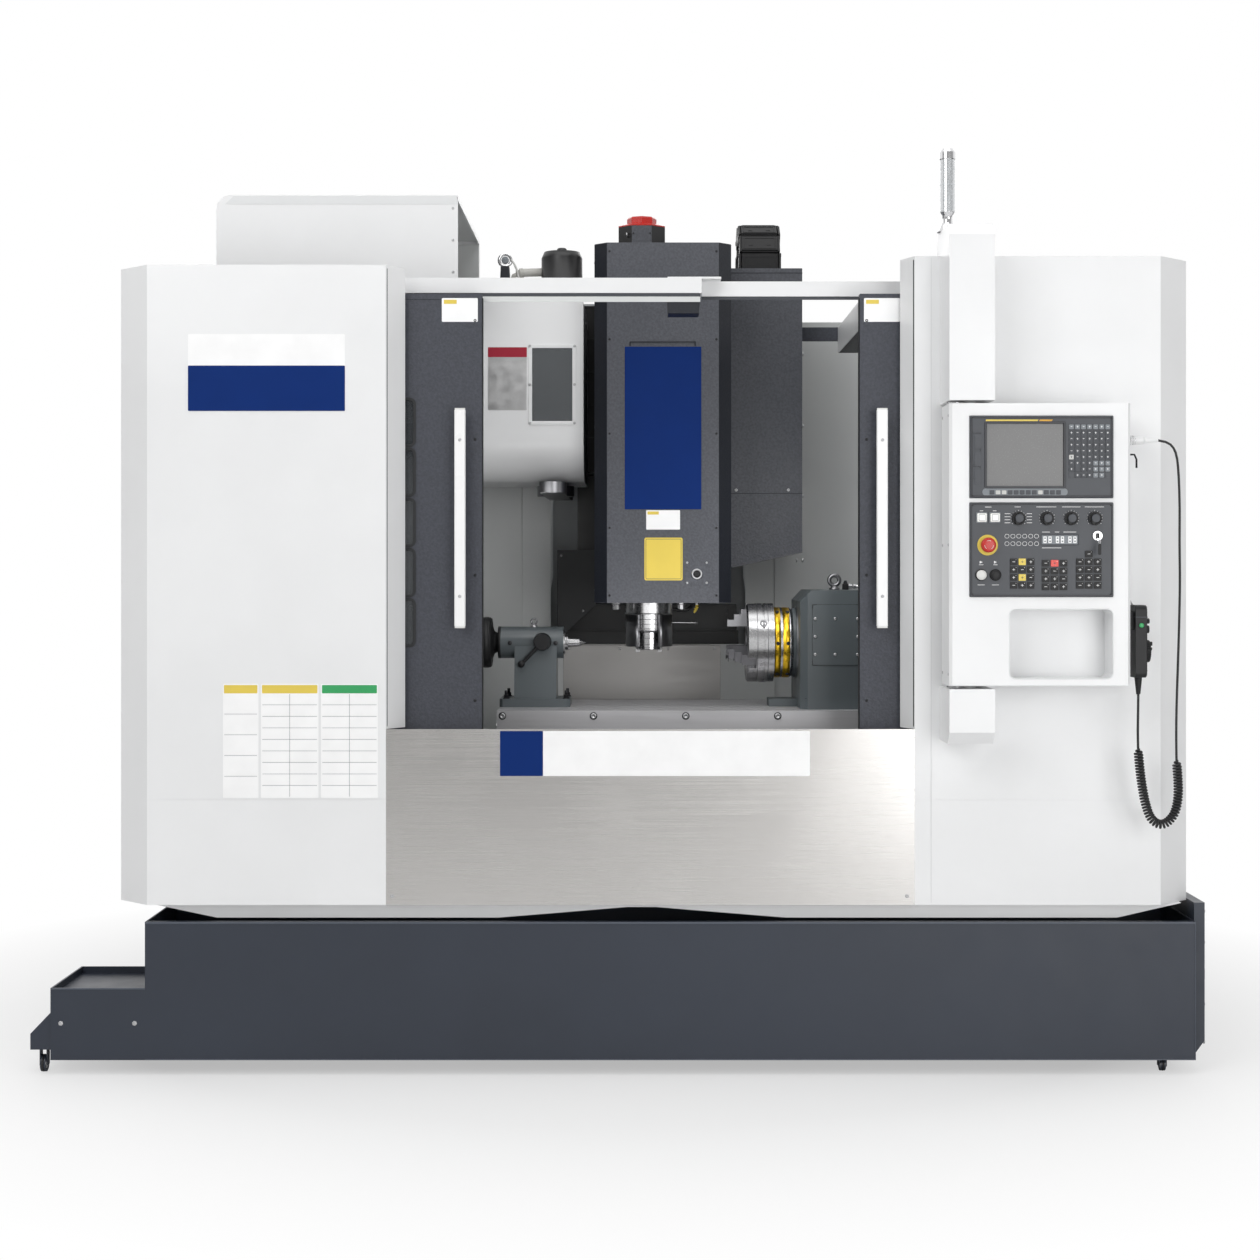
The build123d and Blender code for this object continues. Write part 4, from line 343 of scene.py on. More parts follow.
class Piece:
    """Collects bevelled forms in one mesh, each with its material, then rides on a body."""

    def __init__(self, name):
        self.name = name
        self.bm = bmesh.new()
        self.mats = []

    def _mat(self, key):
        if key not in self.mats:
            self.mats.append(key)
        return self.mats.index(key)

    def _bevel(self, edges, offset, i):
        made = bmesh.ops.bevel(self.bm, geom=list(edges), offset=offset, segments=2, profile=0.6,
                               affect="EDGES", clamp_overlap=True)
        for f in made["faces"]:
            f.material_index = i

    def _face(self, verts, i, smooth=False):
        f = self.bm.faces.new(verts)
        f.material_index = i
        f.smooth = smooth
        return f

    def weave(self, rows, key, smooth=True, closed=False, whole=True):
        """Faces between neighbouring rows of places; a row of one place is a pole.
        A list of keys gives each band its own material."""
        keys = key if isinstance(key, list) else [key] * len(rows)
        rows = [[self.bm.verts.new(p) for p in row] for row in rows]
        for p, q, band in zip(rows, rows[1:] + (rows[:1] if closed else []), keys):
            i = self._mat(band)
            n = max(len(p), len(q))
            for k in range(n if whole else n - 1):
                m = (k + 1) % n
                corners = (p[k % len(p)], q[k % len(q)], q[m % len(q)], p[m % len(p)])
                corners = list(dict.fromkeys(corners))
                if len(corners) > 2:
                    self._face(corners, i, smooth)
        return rows

    def ends(self, rows, first, last=None):
        """Closes the first and the last of the woven rows."""
        for row, key in ((rows[0][::-1], first), (rows[-1], last or first)):
            if len(row) > 1:
                self._face(row, self._mat(key))

    def box(self, x0, x1, y0, y1, z0, z1, key, bevel=0.0, turn=None):
        vs = bmesh.ops.create_cube(self.bm, size=1.0)["verts"]
        mat = Matrix.Translation(((x0 + x1) / 2, (y0 + y1) / 2, (z0 + z1) / 2))
        if turn:
            mat = mat @ turn
        mat = mat @ Matrix.Diagonal((abs(x1 - x0), abs(y1 - y0), abs(z1 - z0), 1))
        bmesh.ops.transform(self.bm, matrix=mat, verts=vs)
        i = self._mat(key)
        for f in {f for v in vs for f in v.link_faces}:
            f.material_index = i
        if bevel > 0:
            self._bevel({e for v in vs for e in v.link_edges}, bevel, i)

    def lathe(self, origin, axis, profile, key, segs=24, smooth=True):
        """profile: (distance along the axis, radius) pairs, turned about the axis."""
        a, u, w = around(axis)
        rows = []
        for d, r in profile:
            c = Vector(origin) + a * d
            rows.append([c + u * p + w * q for p, q in polar(segs, r)] if r > 0 else [c])
        self.ends(self.weave(rows, key, smooth), key)

    def screw(self, pos, axis, r=0.005, h=0.0025, key="screw"):
        """A button-head screw with its hex socket."""
        self.lathe(pos, axis, [(-0.0005, r), (h * 0.5, r * 0.98), (h * 0.85, r * 0.8), (h, r * 0.5),
                               (h * 0.99, r * 0.48), (h * 0.35, r * 0.44), (h * 0.35, 0)], key, 14)

    def screws(self, xs, ys, zs, *args):
        """A screw at every crossing of the places along the three axes."""
        for pos in product(xs, ys, zs):
            self.screw(pos, *args)

    def hexbolt(self, pos, axis, r=0.008, h=0.006, key="screw"):
        self.lathe(pos, axis, [(-0.0005, r * 1.35), (0.0012, r * 1.35), (0.0014, r), (h * 0.9, r),
                               (h, r * 0.9), (h, 0)], key, 6, False)

    def hexbolts(self, xs, ys, zs, *args):
        for pos in product(xs, ys, zs):
            self.hexbolt(pos, *args)

    def ring(self, origin, axis, radius, tube, key, segs=32, ring_segs=10):
        a, u, w = around(axis)
        rows = []
        for p, q in polar(segs, 1.0):
            d = u * p + w * q
            rows.append([Vector(origin) + d * (radius + s) + a * t for s, t in polar(ring_segs, tube)])
        self.weave(rows, key, closed=True)

    def tube(self, points, radius, key, segs=10):
        """A round bar or hose that follows points, with its ends closed."""
        pts = [Vector(p) for p in points]
        up = None
        rows = []
        for k, p in enumerate(pts):
            d = (pts[min(k + 1, len(pts) - 1)] - pts[max(k - 1, 0)]).normalized()
            if up is None:
                up = d.orthogonal().normalized()
            up = (up - d * up.dot(d)).normalized()
            w = d.cross(up)
            r = radius(k / (len(pts) - 1)) if callable(radius) else radius
            rows.append([p + up * s + w * t for s, t in polar(segs, r)])
        self.ends(self.weave(rows, key), key)

    def prism(self, points, direction, key, bevel=0.0):
        """A flat outline pushed along a direction."""
        d = Vector(direction)
        low = [self.bm.verts.new(Vector(p)) for p in points]
        high = [self.bm.verts.new(Vector(p) + d) for p in points]
        i = self._mat(key)
        made = [self._face(low[::-1], i), self._face(high, i)]
        for k in range(len(points)):
            made.append(self._face((low[k - 1], low[k], high[k], high[k - 1]), i))
        if bevel > 0:
            self._bevel({e for f in made for e in f.edges}, bevel, i)

    def plate(self, u0, u1, z0, z1, y, thick, key, radius=0.004, bevel=0.0006, seg=4):
        """A rounded plate that faces the operator: front face at y, its body behind."""
        pts = rounded(u0, u1, z0, z1, radius, seg)
        self.prism([(p[0], y + thick, p[1]) for p in pts], -Y * thick, key, bevel)

    def label(self, u0, u1, z0, z1, y, high, thick, key, radius=0.002, bevel=0.0002):
        """A plate that stands high above the surface at y."""
        self.plate(u0, u1, z0, z1, y - high, thick, key, radius, bevel)

    def frame(self, u0, u1, z0, z1, y, thick, border, key, radius=0.01, seg=5):
        """A rounded ring plate that faces the operator."""
        outer = rounded(u0, u1, z0, z1, radius, seg)
        inner = rounded(u0 + border, u1 - border, z0 + border, z1 - border, max(radius - border, 0.001), seg)
        rows = []
        for pts, yy in ((inner, y + thick), (inner, y + 0.0008), (inset(inner, outer, 0.15), y),
                        (inset(inner, outer, 0.85), y), (outer, y + 0.0008), (outer, y + thick)):
            rows.append([(p[0], yy, p[1]) for p in pts])
        self.weave(rows, key, smooth=False, closed=True)

    def done(self, body, slot, replaces=(), bend=None):
        bmesh.ops.recalc_face_normals(self.bm, faces=self.bm.faces)
        mesh = bpy.data.meshes.new(self.name)
        self.bm.to_mesh(mesh)
        self.bm.free()
        for k in self.mats:
            mesh.materials.append(M[k])
        o = bpy.data.objects.new(self.name, mesh)
        bpy.context.scene.collection.objects.link(o)
        if bend:
            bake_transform(o)
        else:
            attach(o, body)
        if replaces:
            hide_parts(*replaces)


# Camera: the photograph's own, found from its vanishing point and the width of the machine

PHOTO = 1260.0                 # width and height of the photograph in pixels
FOCAL = 2133.0                 # focal length in pixels
EYE_U, EYE_V = 640.0, 575.0    # pixel straight ahead of the camera
EYE_X, EYE_Z = CX - 0.029, 1.45
EYE_BACK = 6.186               # from the camera to the front plane
STEP = 0.0029                  # a pixel at the front plane
SENSOR = 36.0

cam_data = bpy.data.cameras.new("camera")
cam_data.sensor_width = SENSOR
cam_data.sensor_fit = "AUTO"
cam_data.lens = FOCAL / PHOTO * SENSOR
cam_data.shift_x = -(EYE_U - PHOTO / 2) / PHOTO
cam_data.shift_y = (EYE_V - PHOTO / 2) / PHOTO
cam = bpy.data.objects.new("camera", cam_data)
bpy.context.scene.collection.objects.link(cam)
cam.location = (EYE_X, FY - EYE_BACK, EYE_Z)
cam.rotation_euler = (math.radians(90), 0, 0)
bpy.context.scene.camera = cam


def px(u, v, y):
    """A place on the plane at depth y that the photograph shows at pixel u, v."""
    k = STEP * (1 + (y - FY) / EYE_BACK)
    return EYE_X + (u - EYE_U) * k, EYE_Z + (EYE_V - v) * k


def span(pixels, y):
    """x0, x1, z0, z1 on the plane at depth y of a field given by its left, top, right and bottom pixel."""
    left, top, right, bottom = pixels
    (x0, z1), (x1, z0) = px(left, top, y), px(right, bottom, y)
    return x0, x1, z0, z1


# Handwheel cord: a lead from the socket, a hanging coil and a short tail into the handwheel unit

PENDANT_Y = mid("handwheel_dial").y
SOCKET = (CX + 1.44, PENDANT_Y, 1.832)
LEAD = 0.007        # diameter of the strand
TURNS = 52
COIL_R = 0.0105     # radius of the coil at the strand's centre


def nurbs(name, points, resolution):
    """A curve object with one NURBS line."""
    cu = bpy.data.curves.new(name, "CURVE")
    cu.dimensions = "3D"
    cu.resolution_u = resolution
    sp = cu.splines.new("NURBS")
    sp.points.add(len(points) - 1)
    for k, p in enumerate(points):
        sp.points[k].co = (*p, 1)
    sp.order_u = 3
    sp.use_endpoint_u = True
    ob = bpy.data.objects.new(name, cu)
    bpy.context.scene.collection.objects.link(ob)
    return ob


def evaluated(points):
    """Points along the NURBS line of a route, as Blender makes it."""
    ob = nurbs("route", points, 24)
    cu = ob.data
    bpy.context.view_layer.update()
    me = bpy.data.meshes.new_from_object(ob)
    line = [v.co.copy() for v in me.vertices]
    bpy.data.objects.remove(ob)
    bpy.data.curves.remove(cu)
    bpy.data.meshes.remove(me)
    return line


def along(line, count):
    """Evenly spaced points and directions on a line, and its length."""
    steps = [0.0]
    for a, b in zip(line, line[1:]):
        steps.append(steps[-1] + (b - a).length)
    out = []
    k = 0
    for i in range(count):
        want = steps[-1] * i / (count - 1)
        while k < len(steps) - 2 and steps[k + 1] < want:
            k += 1
        gap = max(steps[k + 1] - steps[k], 1e-9)
        out.append((line[k].lerp(line[k + 1], (want - steps[k]) / gap), (line[k + 1] - line[k]).normalized()))
    return out, steps[-1]


def route(*points):
    """Places from the spindle's centreline, the pendant's middle plane and the floor."""
    return [(CX + x, PENDANT_Y + y, z) for x, y, z in points]


lead_route = [SOCKET] + route(
    (1.466, 0, 1.829), (1.486, 0, 1.811), (1.495, -0.001, 1.783), (1.499, -0.002, 1.73),
    (1.502, -0.002, 1.64), (1.501, -0.001, 1.545), (1.503, 0, 1.45), (1.502, 0.001, 1.355),
    (1.499, 0, 1.26), (1.496, 0, 1.165), (1.493, 0.001, 1.07), (1.492, 0, 0.985))
coil_route = route(
    (1.493, 0, 0.925), (1.498, 0, 0.868), (1.498, 0, 0.812), (1.485, -0.001, 0.764), (1.452, -0.002, 0.738),
    (1.42, -0.002, 0.755), (1.404, -0.001, 0.801), (1.395, 0, 0.853), (1.388, 0, 0.906), (1.384, 0, 0.958))
tail_route = route((1.383, 0, 1.008), (1.384, 0, 1.06), (1.3845, 0, 1.112))
spots, coil_run = along(evaluated(coil_route), TURNS * 12 + 1)
helix = []
side = Y
for k, (p, d) in enumerate(spots):
    side = (side - d * side.dot(d)).normalized()
    f = k / (len(spots) - 1)
    grow = min(1.0, f * TURNS / 1.5, (1 - f) * TURNS / 1.5)
    t = 2 * math.pi * TURNS * f
    helix.append(p + (side * math.cos(t) + d.cross(side) * math.sin(t)) * COIL_R * grow)
cord_points = lead_route + [tuple(p) for p in helix] + tail_route
cord = nurbs("handwheel_cord", cord_points, 2)
cord.data.bevel_depth = LEAD / 2
cord.data.bevel_resolution = 2
cord.data.materials.append(M["rubber"])
cord_length = along(evaluated(cord_points), 2)[1]
print("cord length", round(cord_length, 3), "coil run", round(coil_run, 3))
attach(cord, "pendant")
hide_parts("handwheel_lead", "handwheel_coil")


# Finishes of the CAD nodes

FINISH = {
    "white": "left_enclosure right_enclosure base_funnel door_rails magazine_covers pendant_arms pendant_box",
    "white_side": "electrical_cabinet",
    "white_bar": "left_door_handle right_door_handle",
    "white_plastic": "cycle_start_button",
    "inner_grey": "rear_enclosure",
    "stainless": "front_panel",
    "cast": "bed column saddle",
    "steel": "spindle_cartridge z_screw quill chuck",
    "steel_dark": "levelling_feet jaw_1 jaw_2 jaw_3 magazine_drum atc_arm",
    "table_steel": "table",
    "chrome": "tower_light spindle key_switch",
    "equipment": "tailstock rotary_table",
    "motor_black": "axis_motors atc_drive spindle_motor",
    "black_sheet": "head_casting way_covers",
    "black": "tail_handwheel clamp_lever handwheel_unit handwheel_dial knob_1 knob_2 knob_3 knob_4 "
             "feed_hold_button energy_chain",
    "graphite": "left_door right_door",
    "graphite_head": "head_covers",
    "slate": "coolant_tank",
    "pane": "left_door_panes right_door_panes",
    "panel": "cnc_unit operator_panel",
    "red": "emergency_stop",
    "lamp_white": "power_on_button power_off_button",
}
for key, names in FINISH.items():
    for name in names.split():
        for s in nodes[name].material_slots:
            s.material = M[key]


# Enclosure trim

trim = Piece("enclosure_trim")
# Fold line down the right tower and the joint beads at the side walls, in the darker white: the fold line is
# painted shade in the crease
trim.box(CX + 0.8145, CX + 0.8165, FY - 0.0012, FY, 0.5, 2.37, "white_side", 0.0004)
for x, s in ((LO, -1), (RO, 1)):
    for y in (-0.55, 0.15):
        trim.box(x - 0.0012, x + 0.0012, y - 0.0015, y + 0.0015, 0.5, 2.34, "white_side", 0.0004)
    trim.screws((x,), (-0.95, -0.6, -0.5, 0.1, 0.2, 0.72), (0.53, 1.1, 1.7, 2.28), X * s)
# Rubber strips on the tower edges that meet the doors
for x, s, top in ((LI, 1, 2.34), (RI, -1, 2.365)):
    x0, x1 = sorted((x - s * 0.006, x + s * 0.004))
    trim.box(x0, x1, FY + 0.004, FY + 0.018, 1.01, top, "gasket", 0.0012)
trim.done("machine", "white_paint")

# Bare cards and lists on the front, as the photograph shows them in pixels: left, top, right, bottom
TOWER_CARD = (188, 334, 345, 411)
FRONT_CARD, FRONT_BLUE = (500, 731, 810, 776), (500, 731, 543, 776)
LIST_TOP, LIST_BOTTOM = 684, 798
LISTS = ((223, 258.5, "yellow", 5), (261, 318.5, "yellow", 9), (321, 378, "green", 9))
LIST_HEAD = 0.027

cards = Piece("tower_cards")


def rule(x0, x1, z0, z1):
    """A fine printed line on a list."""
    cards.box(x0, x1, FY - 0.0014, FY - 0.0011, z0, z1, "key_grey", 0.0001)


x0, x1, z0, z1 = span(TOWER_CARD, FY)
cards.label(x0, x1, z0, z1, FY, 0.0012, 0.001, "card", 0.004, 0.0003)
cards.label(x0, x1, z0, z0 + (z1 - z0) * 0.59, FY, 0.0018, 0.0007, "blue", 0.003)
for left, right, key, lines in LISTS:
    x0, x1, z0, z1 = span((left, LIST_TOP, right, LIST_BOTTOM), FY)
    cards.label(x0, x1, z0, z1, FY, 0.0012, 0.001, "card", 0.003, 0.0003)
    cards.label(x0 + 0.003, x1 - 0.003, z1 - LIST_HEAD, z1 - 0.003, FY, 0.0016, 0.0005, key)
    for r in range(1, lines):
        z = z1 - LIST_HEAD - (z1 - 0.03 - z0) * r / lines
        rule(x0 + 0.004, x1 - 0.004, z - 0.0006, z + 0.0006)
    if right - left > 40:
        x = (x0 + x1) / 2
        rule(x - 0.0006, x + 0.0006, z0 + 0.004, z1 - 0.029)
cards.label(*span(FRONT_CARD, FY), FY, 0.0011, 0.001, "card", 0.002, 0.0003)
cards.label(*span(FRONT_BLUE, FY), FY, 0.0015, 0.0005, "blue")
cards.done("machine", "white_plastic")

PANEL_SCREWS, PANEL_SCREW_V = (392, 907), 896
panel_bits = Piece("front_panel_fasteners")
for u in PANEL_SCREWS:
    x, z = px(u, PANEL_SCREW_V, FY)
    panel_bits.screw((x, FY, z), FRONT, 0.006)
panel_bits.screws((LI + 0.03, RI - 0.03, CX - 0.35, CX + 0.35), (FY + 0.045,), (0.9965,), (0, 0.14, 0.99))
panel_bits.box(LI + 0.006, RI - 0.006, FY + 0.08, FY + 0.0862, 0.933, 0.9372, "stainless", 0.001)
panel_bits.done("machine", "stainless")

# Stainless rear plate, its edge folds and screws
rear = Piece("rear_plate")
REAR_Y, REAR_X0, REAR_X1, REAR_TOP = 0.2238, CX - 0.3, CX + 0.255, 1.2055
rear.box(REAR_X0, REAR_X1, REAR_Y - 0.0015, REAR_Y, 0.86, REAR_TOP, "stainless_v", 0.0006)
rear.box(REAR_X0, REAR_X1, REAR_Y - 0.006, REAR_Y, REAR_TOP - 0.0045, REAR_TOP, "stainless_v", 0.0012)
rear.screws((CX - 0.28, CX - 0.1, CX + 0.07, CX + 0.235), (REAR_Y - 0.0015,), (1.19,), FRONT)
rear.done("machine", "stainless")

# Chip pans on the floor of the enclosure: they fall towards the tank in front
pans = Piece("chip_pans")
PAN_Y0, PAN_Y1, PAN_Z0, PAN_Z1 = FY + 0.406, 0.2585, 0.4975, 0.513
SHEET, RIB, CORNER = 0.003, 0.0055, 0.105
EDGE = 0.058               # the bed narrows this much from its foot to the pans
bed_lo, bed_hi = box("bed")
ends = ((PAN_Y0, PAN_Z0), (PAN_Y1, PAN_Z1))


def sloped(x0, x1, low, high):
    """A layer on the pan's fall between two heights."""
    side = [(y, z + low) for y, z in ends] + [(y, z + high) for y, z in ends[::-1]]
    pans.prism([(x0, y, z) for y, z in side], X * (x1 - x0), "inner_grey")


for x0, x1 in ((LO + 0.009, bed_lo.x + EDGE), (bed_hi.x - EDGE, RO - 0.009)):
    sloped(x0, x1, 0, SHEET)
    for x in (x0 + 0.0015, x1 - 0.0015):
        pans.box(x - 0.0015, x + 0.0015, PAN_Y0, PAN_Y1, PAN_Z0, 0.519, "inner_grey", 0.0005)
    for k in range(1, 4):
        x = x0 + (x1 - x0) * k / 4
        sloped(x - 0.006, x + 0.006, SHEET, RIB)
for x0, x1, y0, y1 in (
    (bed_lo.x - 0.005, bed_hi.x + 0.005, PAN_Y0 - 0.001, bed_lo.y - 0.002),
    (LO + 0.0045, RO - 0.0045, FY + CORNER, PAN_Y0),
    (LO + CORNER, RO - CORNER, FY + 0.006, FY + CORNER),
):
    pans.box(x0, x1, y0, y1, PAN_Z0 - 0.001, PAN_Z0 + 0.002, "inner_grey", 0.0005)
pans.done("machine", "light_grey_paint")

# Cover beside the head: a flat sheet on the rear guard wall, in graphite darkened as painted shade for a
# cover that lies in shadow
wing = Piece("way_cover_wing")
WX0, WX1, WZ0, WZ1, WING_Y = CX - 0.318, CX - 0.18, 1.233, 1.538, 0.15
outline = ((WX0, WZ1), (WX1, WZ1), (WX1, WZ0 + 0.115), (WX0 + 0.012, WZ0), (WX0, WZ0))
wing.prism([(x, WING_Y, z) for x, z in outline], Y * 0.003, "graphite_in_shade", 0.0008)
wing.box(WX0, WX0 + 0.003, WING_Y, 0.224, WZ0, WZ1, "graphite_in_shade", 0.0008)
for x, z in ((WX0 + 0.02, WZ0 + 0.02), (WX0 + 0.09, WZ0 + 0.092), (WX0 + 0.014, WZ1 - 0.02)):
    wing.screw((x, WING_Y, z), FRONT, 0.0042, 0.0022)
wing.done("machine", "motor_black")

# Door rails: a cap, the stop block under the left rail's end, dark strips under the rails as painted shade
# and a grey channel below
RAIL_FRONT, RAIL_UNDER = FY + 0.155, 2.2875
STOP_PIXELS = (667.0, 300.0, 700.5, 313.5)
rail = Piece("door_rail_trim")
rail.box(CX + 0.1485, CX + 0.1545, FY + 0.1495, FY + 0.259, RAIL_UNDER, 2.3335, "white", 0.0012)
x0, x1, z0, _ = span(STOP_PIXELS, RAIL_FRONT)
outline = ((x0, RAIL_UNDER), (x1, RAIL_UNDER), (x1 - 0.004, z0), (x0 + 0.003, z0))
rail.prism([(x, RAIL_FRONT, z) for x, z in outline], Y * 0.095, "graphite_dark", 0.0015)
for x0, x1, y, z0, z1, key in (
    (CX - 0.7, CX + 0.15, FY + 0.152, 2.278, 2.2878, "key_dark"),
    (CX + 0.156, CX + 0.76, FY + 0.232, 2.278, 2.2878, "key_dark"),
    (CX - 0.7, CX + 0.15, FY + 0.152, 2.2615, 2.2775, "inner_grey"),
):
    rail.box(x0, x1, y, y + 0.002, z0, z1, key, 0.0006)
rail.done("machine", "white_paint")

# Doors

DOOR_Y = FY + 0.1          # outer face
PANE_Z = [1.31 + i * 0.1475 for i in range(5)]
HANDLE_Z = (1.298, 1.935)    # lower and upper end
for name, out in (("left", -1), ("right", 1)):
    body = name + "_door"
    lo, hi = box(body)
    inner = lo.x if out > 0 else hi.x

    def from_edge(a, b):
        """Two places on the door, measured from its closing edge."""
        return sorted((inner + out * a, inner + out * b))

    gaskets = Piece(name + "_window_gaskets")
    for z in PANE_Z:
        gaskets.frame(*from_edge(0.194, 0.626), z - 0.073, z + 0.073, DOOR_Y - 0.003, 0.0075, 0.0085,
                      "gasket", 0.019, 6)
    gaskets.done(body, "black_plastic")
    door = Piece(name + "_door_trim")
    # Closing edge with its rubber strip
    door.box(*from_edge(-0.0027, 0), DOOR_Y + 0.004, DOOR_Y + 0.03, 0.985, 2.268, "gasket", 0.002)
    door.box(lo.x + 0.01, hi.x - 0.01, DOOR_Y + 0.006, DOOR_Y + 0.026, 0.966, 0.9752, "gasket", 0.002)
    # Fold seams on the outside and screws that hold the inner frame
    for z in (0.993, 2.262):
        door.box(lo.x + 0.004, hi.x - 0.004, DOOR_Y - 0.0008, DOOR_Y, z - 0.0009, z + 0.0009,
                 "graphite_dark", 0.0003)
    door.screws(from_edge(0.02, 0.8), (DOOR_Y,), (1.08, 1.45, 1.85, 2.2), FRONT,
                0.0045, 0.0022, "black_screw")
    # Bare card at the top corner
    x0, x1 = from_edge(0.012, 0.118)
    door.label(x0, x1, 2.196, 2.266, DOOR_Y, 0.001, 0.0009, "card", 0.003)
    door.label(x0 + 0.006, x0 + 0.044, 2.249, 2.261, DOOR_Y, 0.0015, 0.0006, "yellow", 0.001)
    # Roller hangers: bolt heads over the plates inside
    for x in (lo.x + 0.145, hi.x - 0.145):
        door.hexbolts((x - 0.025, x + 0.025), (DOOR_Y + 0.0175,), (2.2231,), UP, 0.006, 0.004)
    door.done(body, "graphite_paint")
    handle = Piece(name + "_handle_trim")
    hx = inner + out * 0.061
    for z, s in zip(HANDLE_Z, (-1, 1)):
        z0, z1 = sorted((z - s * 0.001, z + s * 0.0035))
        handle.box(hx - 0.015, hx + 0.015, DOOR_Y - 0.049, DOOR_Y - 0.035, z0, z1, "white_plastic", 0.0012)
    handle.screws((hx,), (DOOR_Y - 0.05,), (HANDLE_Z[0] + 0.09, HANDLE_Z[1] - 0.09), FRONT, 0.005, 0.0022)
    handle.done(body, "white_plastic")


# Spindle head

HY = FY + 0.6              # front of the head's covers
# Side faces and corner chamfers of the head, skinned in the darkest graphite: painted shade on the sides that
# turn away from the lamps
skin = Piece("head_corner_shade_skins")
SKIN, CUT = 0.0008, 0.04    # thickness, and width of the corner's chamfer
for s, x in ((-1, CX - 0.174), (1, CX + 0.262)):
    outer = [(x, 0.1385), (x, HY + CUT), (x - s * CUT, HY)]
    face = [(x + s * SKIN, 0.1385), (x + s * SKIN, HY + CUT - 0.0004), (x - s * (CUT - 0.0006), HY - SKIN)]
    skin.prism([(*p, 1.3625) for p in outer + face[::-1]], Z * 1.144, "graphite_dark")
skin.done("head", "graphite_paint")

# Fields on the head's front: left, top, right and bottom pixel
HEAD_BLUE, HEAD_CARD = (624.8, 346.7, 701.3, 509.3), (646.2, 510.2, 680.0, 529.6)
HEAD_YELLOW, HEAD_HOOK = (644.4, 537.6, 682.6, 580.4), (629.6, 341.8, 695.9, 345.4)
head = Piece("head_front_trim")
head.label(*span(HEAD_BLUE, HY), HY, 0.0018, 0.0017, "blue", 0.0015, 0.0004)
x0, x1, z0, z1 = span(HEAD_HOOK, HY)
head.box(x0, x1, HY - 0.0045, HY, z1 - 0.002, z1 + 0.001, "graphite_dark", 0.0008)
for x in (x0 + 0.002, x1 - 0.002):
    head.box(x - 0.002, x + 0.002, HY - 0.0045, HY, z0 - 0.002, z1, "graphite_dark", 0.0008)
x0, x1, z0, z1 = span(HEAD_CARD, HY)
head.label(x0, x1, z0, z1, HY, 0.0011, 0.001, "card", 0.002, 0.0003)
head.label(x0 + 0.004, x0 + 0.04, z1 - 0.014, z1 - 0.004, HY, 0.0015, 0.0005, "yellow", 0.001)
x0, x1, z0, z1 = span(HEAD_YELLOW, HY)
head.plate(x0, x1, z0, z1, HY - 0.0014, 0.0013, "yellow", 0.006, 0.0004, 6)
head.frame(x0 + 0.004, x1 - 0.004, z0 + 0.004, z1 - 0.004, HY - 0.0018, 0.0006, 0.0016, "key_dark", 0.005, 6)
# Air socket with its four screws
AIR_X, AIR_Z = CX + 0.152, 1.457
head.screws((AIR_X - 0.031, AIR_X + 0.031), (HY - 0.002,), (AIR_Z - 0.032, AIR_Z + 0.032), FRONT,
            0.0038, 0.002)
socket = [(0, 0.0175), (0.003, 0.017), (0.0042, 0.015), (0.004, 0.0125), (0.0012, 0.0118), (0.0012, 0)]
head.lathe((AIR_X, HY - 0.002, AIR_Z - 0.004), FRONT, socket, "screw", 28)
head.lathe((AIR_X, HY - 0.0033, AIR_Z - 0.004), FRONT,
           [(0, 0.0115), (0.0018, 0.0105), (0.0018, 0.004), (0.001, 0)], "black")
head.screws((CX - 0.126, CX + 0.214), (HY,), (1.385, 1.6, 1.9, 2.2, 2.48), FRONT,
            0.004, 0.002, "black_screw")
for s, x in ((-1, CX - 0.1742), (1, CX + 0.2622)):
    head.screws((x + s * SKIN,), (-0.4, -0.15, 0.1), (1.4, 1.93, 2.46), X * s, 0.0045, 0.0022, "black_screw")
head.done("head", "graphite_paint")

# Side box on the head: seams, front screws and the bolts down its right side
SY = FY + 0.9
BOX_X0, BOX_X1 = CX + 0.264, CX + 0.51
SEAM_V, BOX_SCREWS, BOX_SCREW_V = 493.4, (736.1, 788.4), 490.0
BOX_BOLTS = (353.7, 425.2, 495.6, 560.0)
side_box = Piece("side_box_trim")
seam = px(EYE_U, SEAM_V, SY)[1]
side_box.box(BOX_X0, BOX_X1 + 0.0008, SY - 0.0012, SY, seam - 0.0012, seam + 0.0012, "graphite_dark", 0.0004)
side_box.box(BOX_X0, BOX_X1 + 0.0008, SY - 0.0008, SY, 2.452, 2.4545, "graphite_dark", 0.0003)
for u in BOX_SCREWS:
    x, z = px(u, BOX_SCREW_V, SY)
    side_box.screw((x, SY, z), FRONT, 0.0052, 0.003)
for v, y in product(BOX_BOLTS, (SY + 0.014, SY + 0.286)):
    side_box.lathe((BOX_X1, y, px(EYE_U, v, SY)[1]), RIGHT,
                   [(-0.001, 0.0075), (0.004, 0.0075), (0.0055, 0.006), (0.006, 0)], "screw", 8)
side_box.done("head", "graphite_paint")

# Face ring, screws and coolant fittings round the spindle
nose = Piece("spindle_face_fittings")
for dx, dy in polar(6, 0.067, 30):
    nose.screw((CX + dx, SPY + dy, 1.3282), DOWN, 0.0048, 0.005, "black_screw")
nose.ring((CX, SPY, 1.3245), UP, 0.0765, 0.0022, "steel", 48, 8)
for dx, dy in ((-0.108, -0.06), (0.108, -0.05), (0.104, 0.06), (-0.104, 0.05)):
    nose.lathe((CX + dx, SPY + dy, 1.3612), DOWN,
               [(0, 0.013), (0.006, 0.013), (0.008, 0.01), (0.022, 0.01), (0.024, 0.008), (0.024, 0)],
               "screw", 6, False)
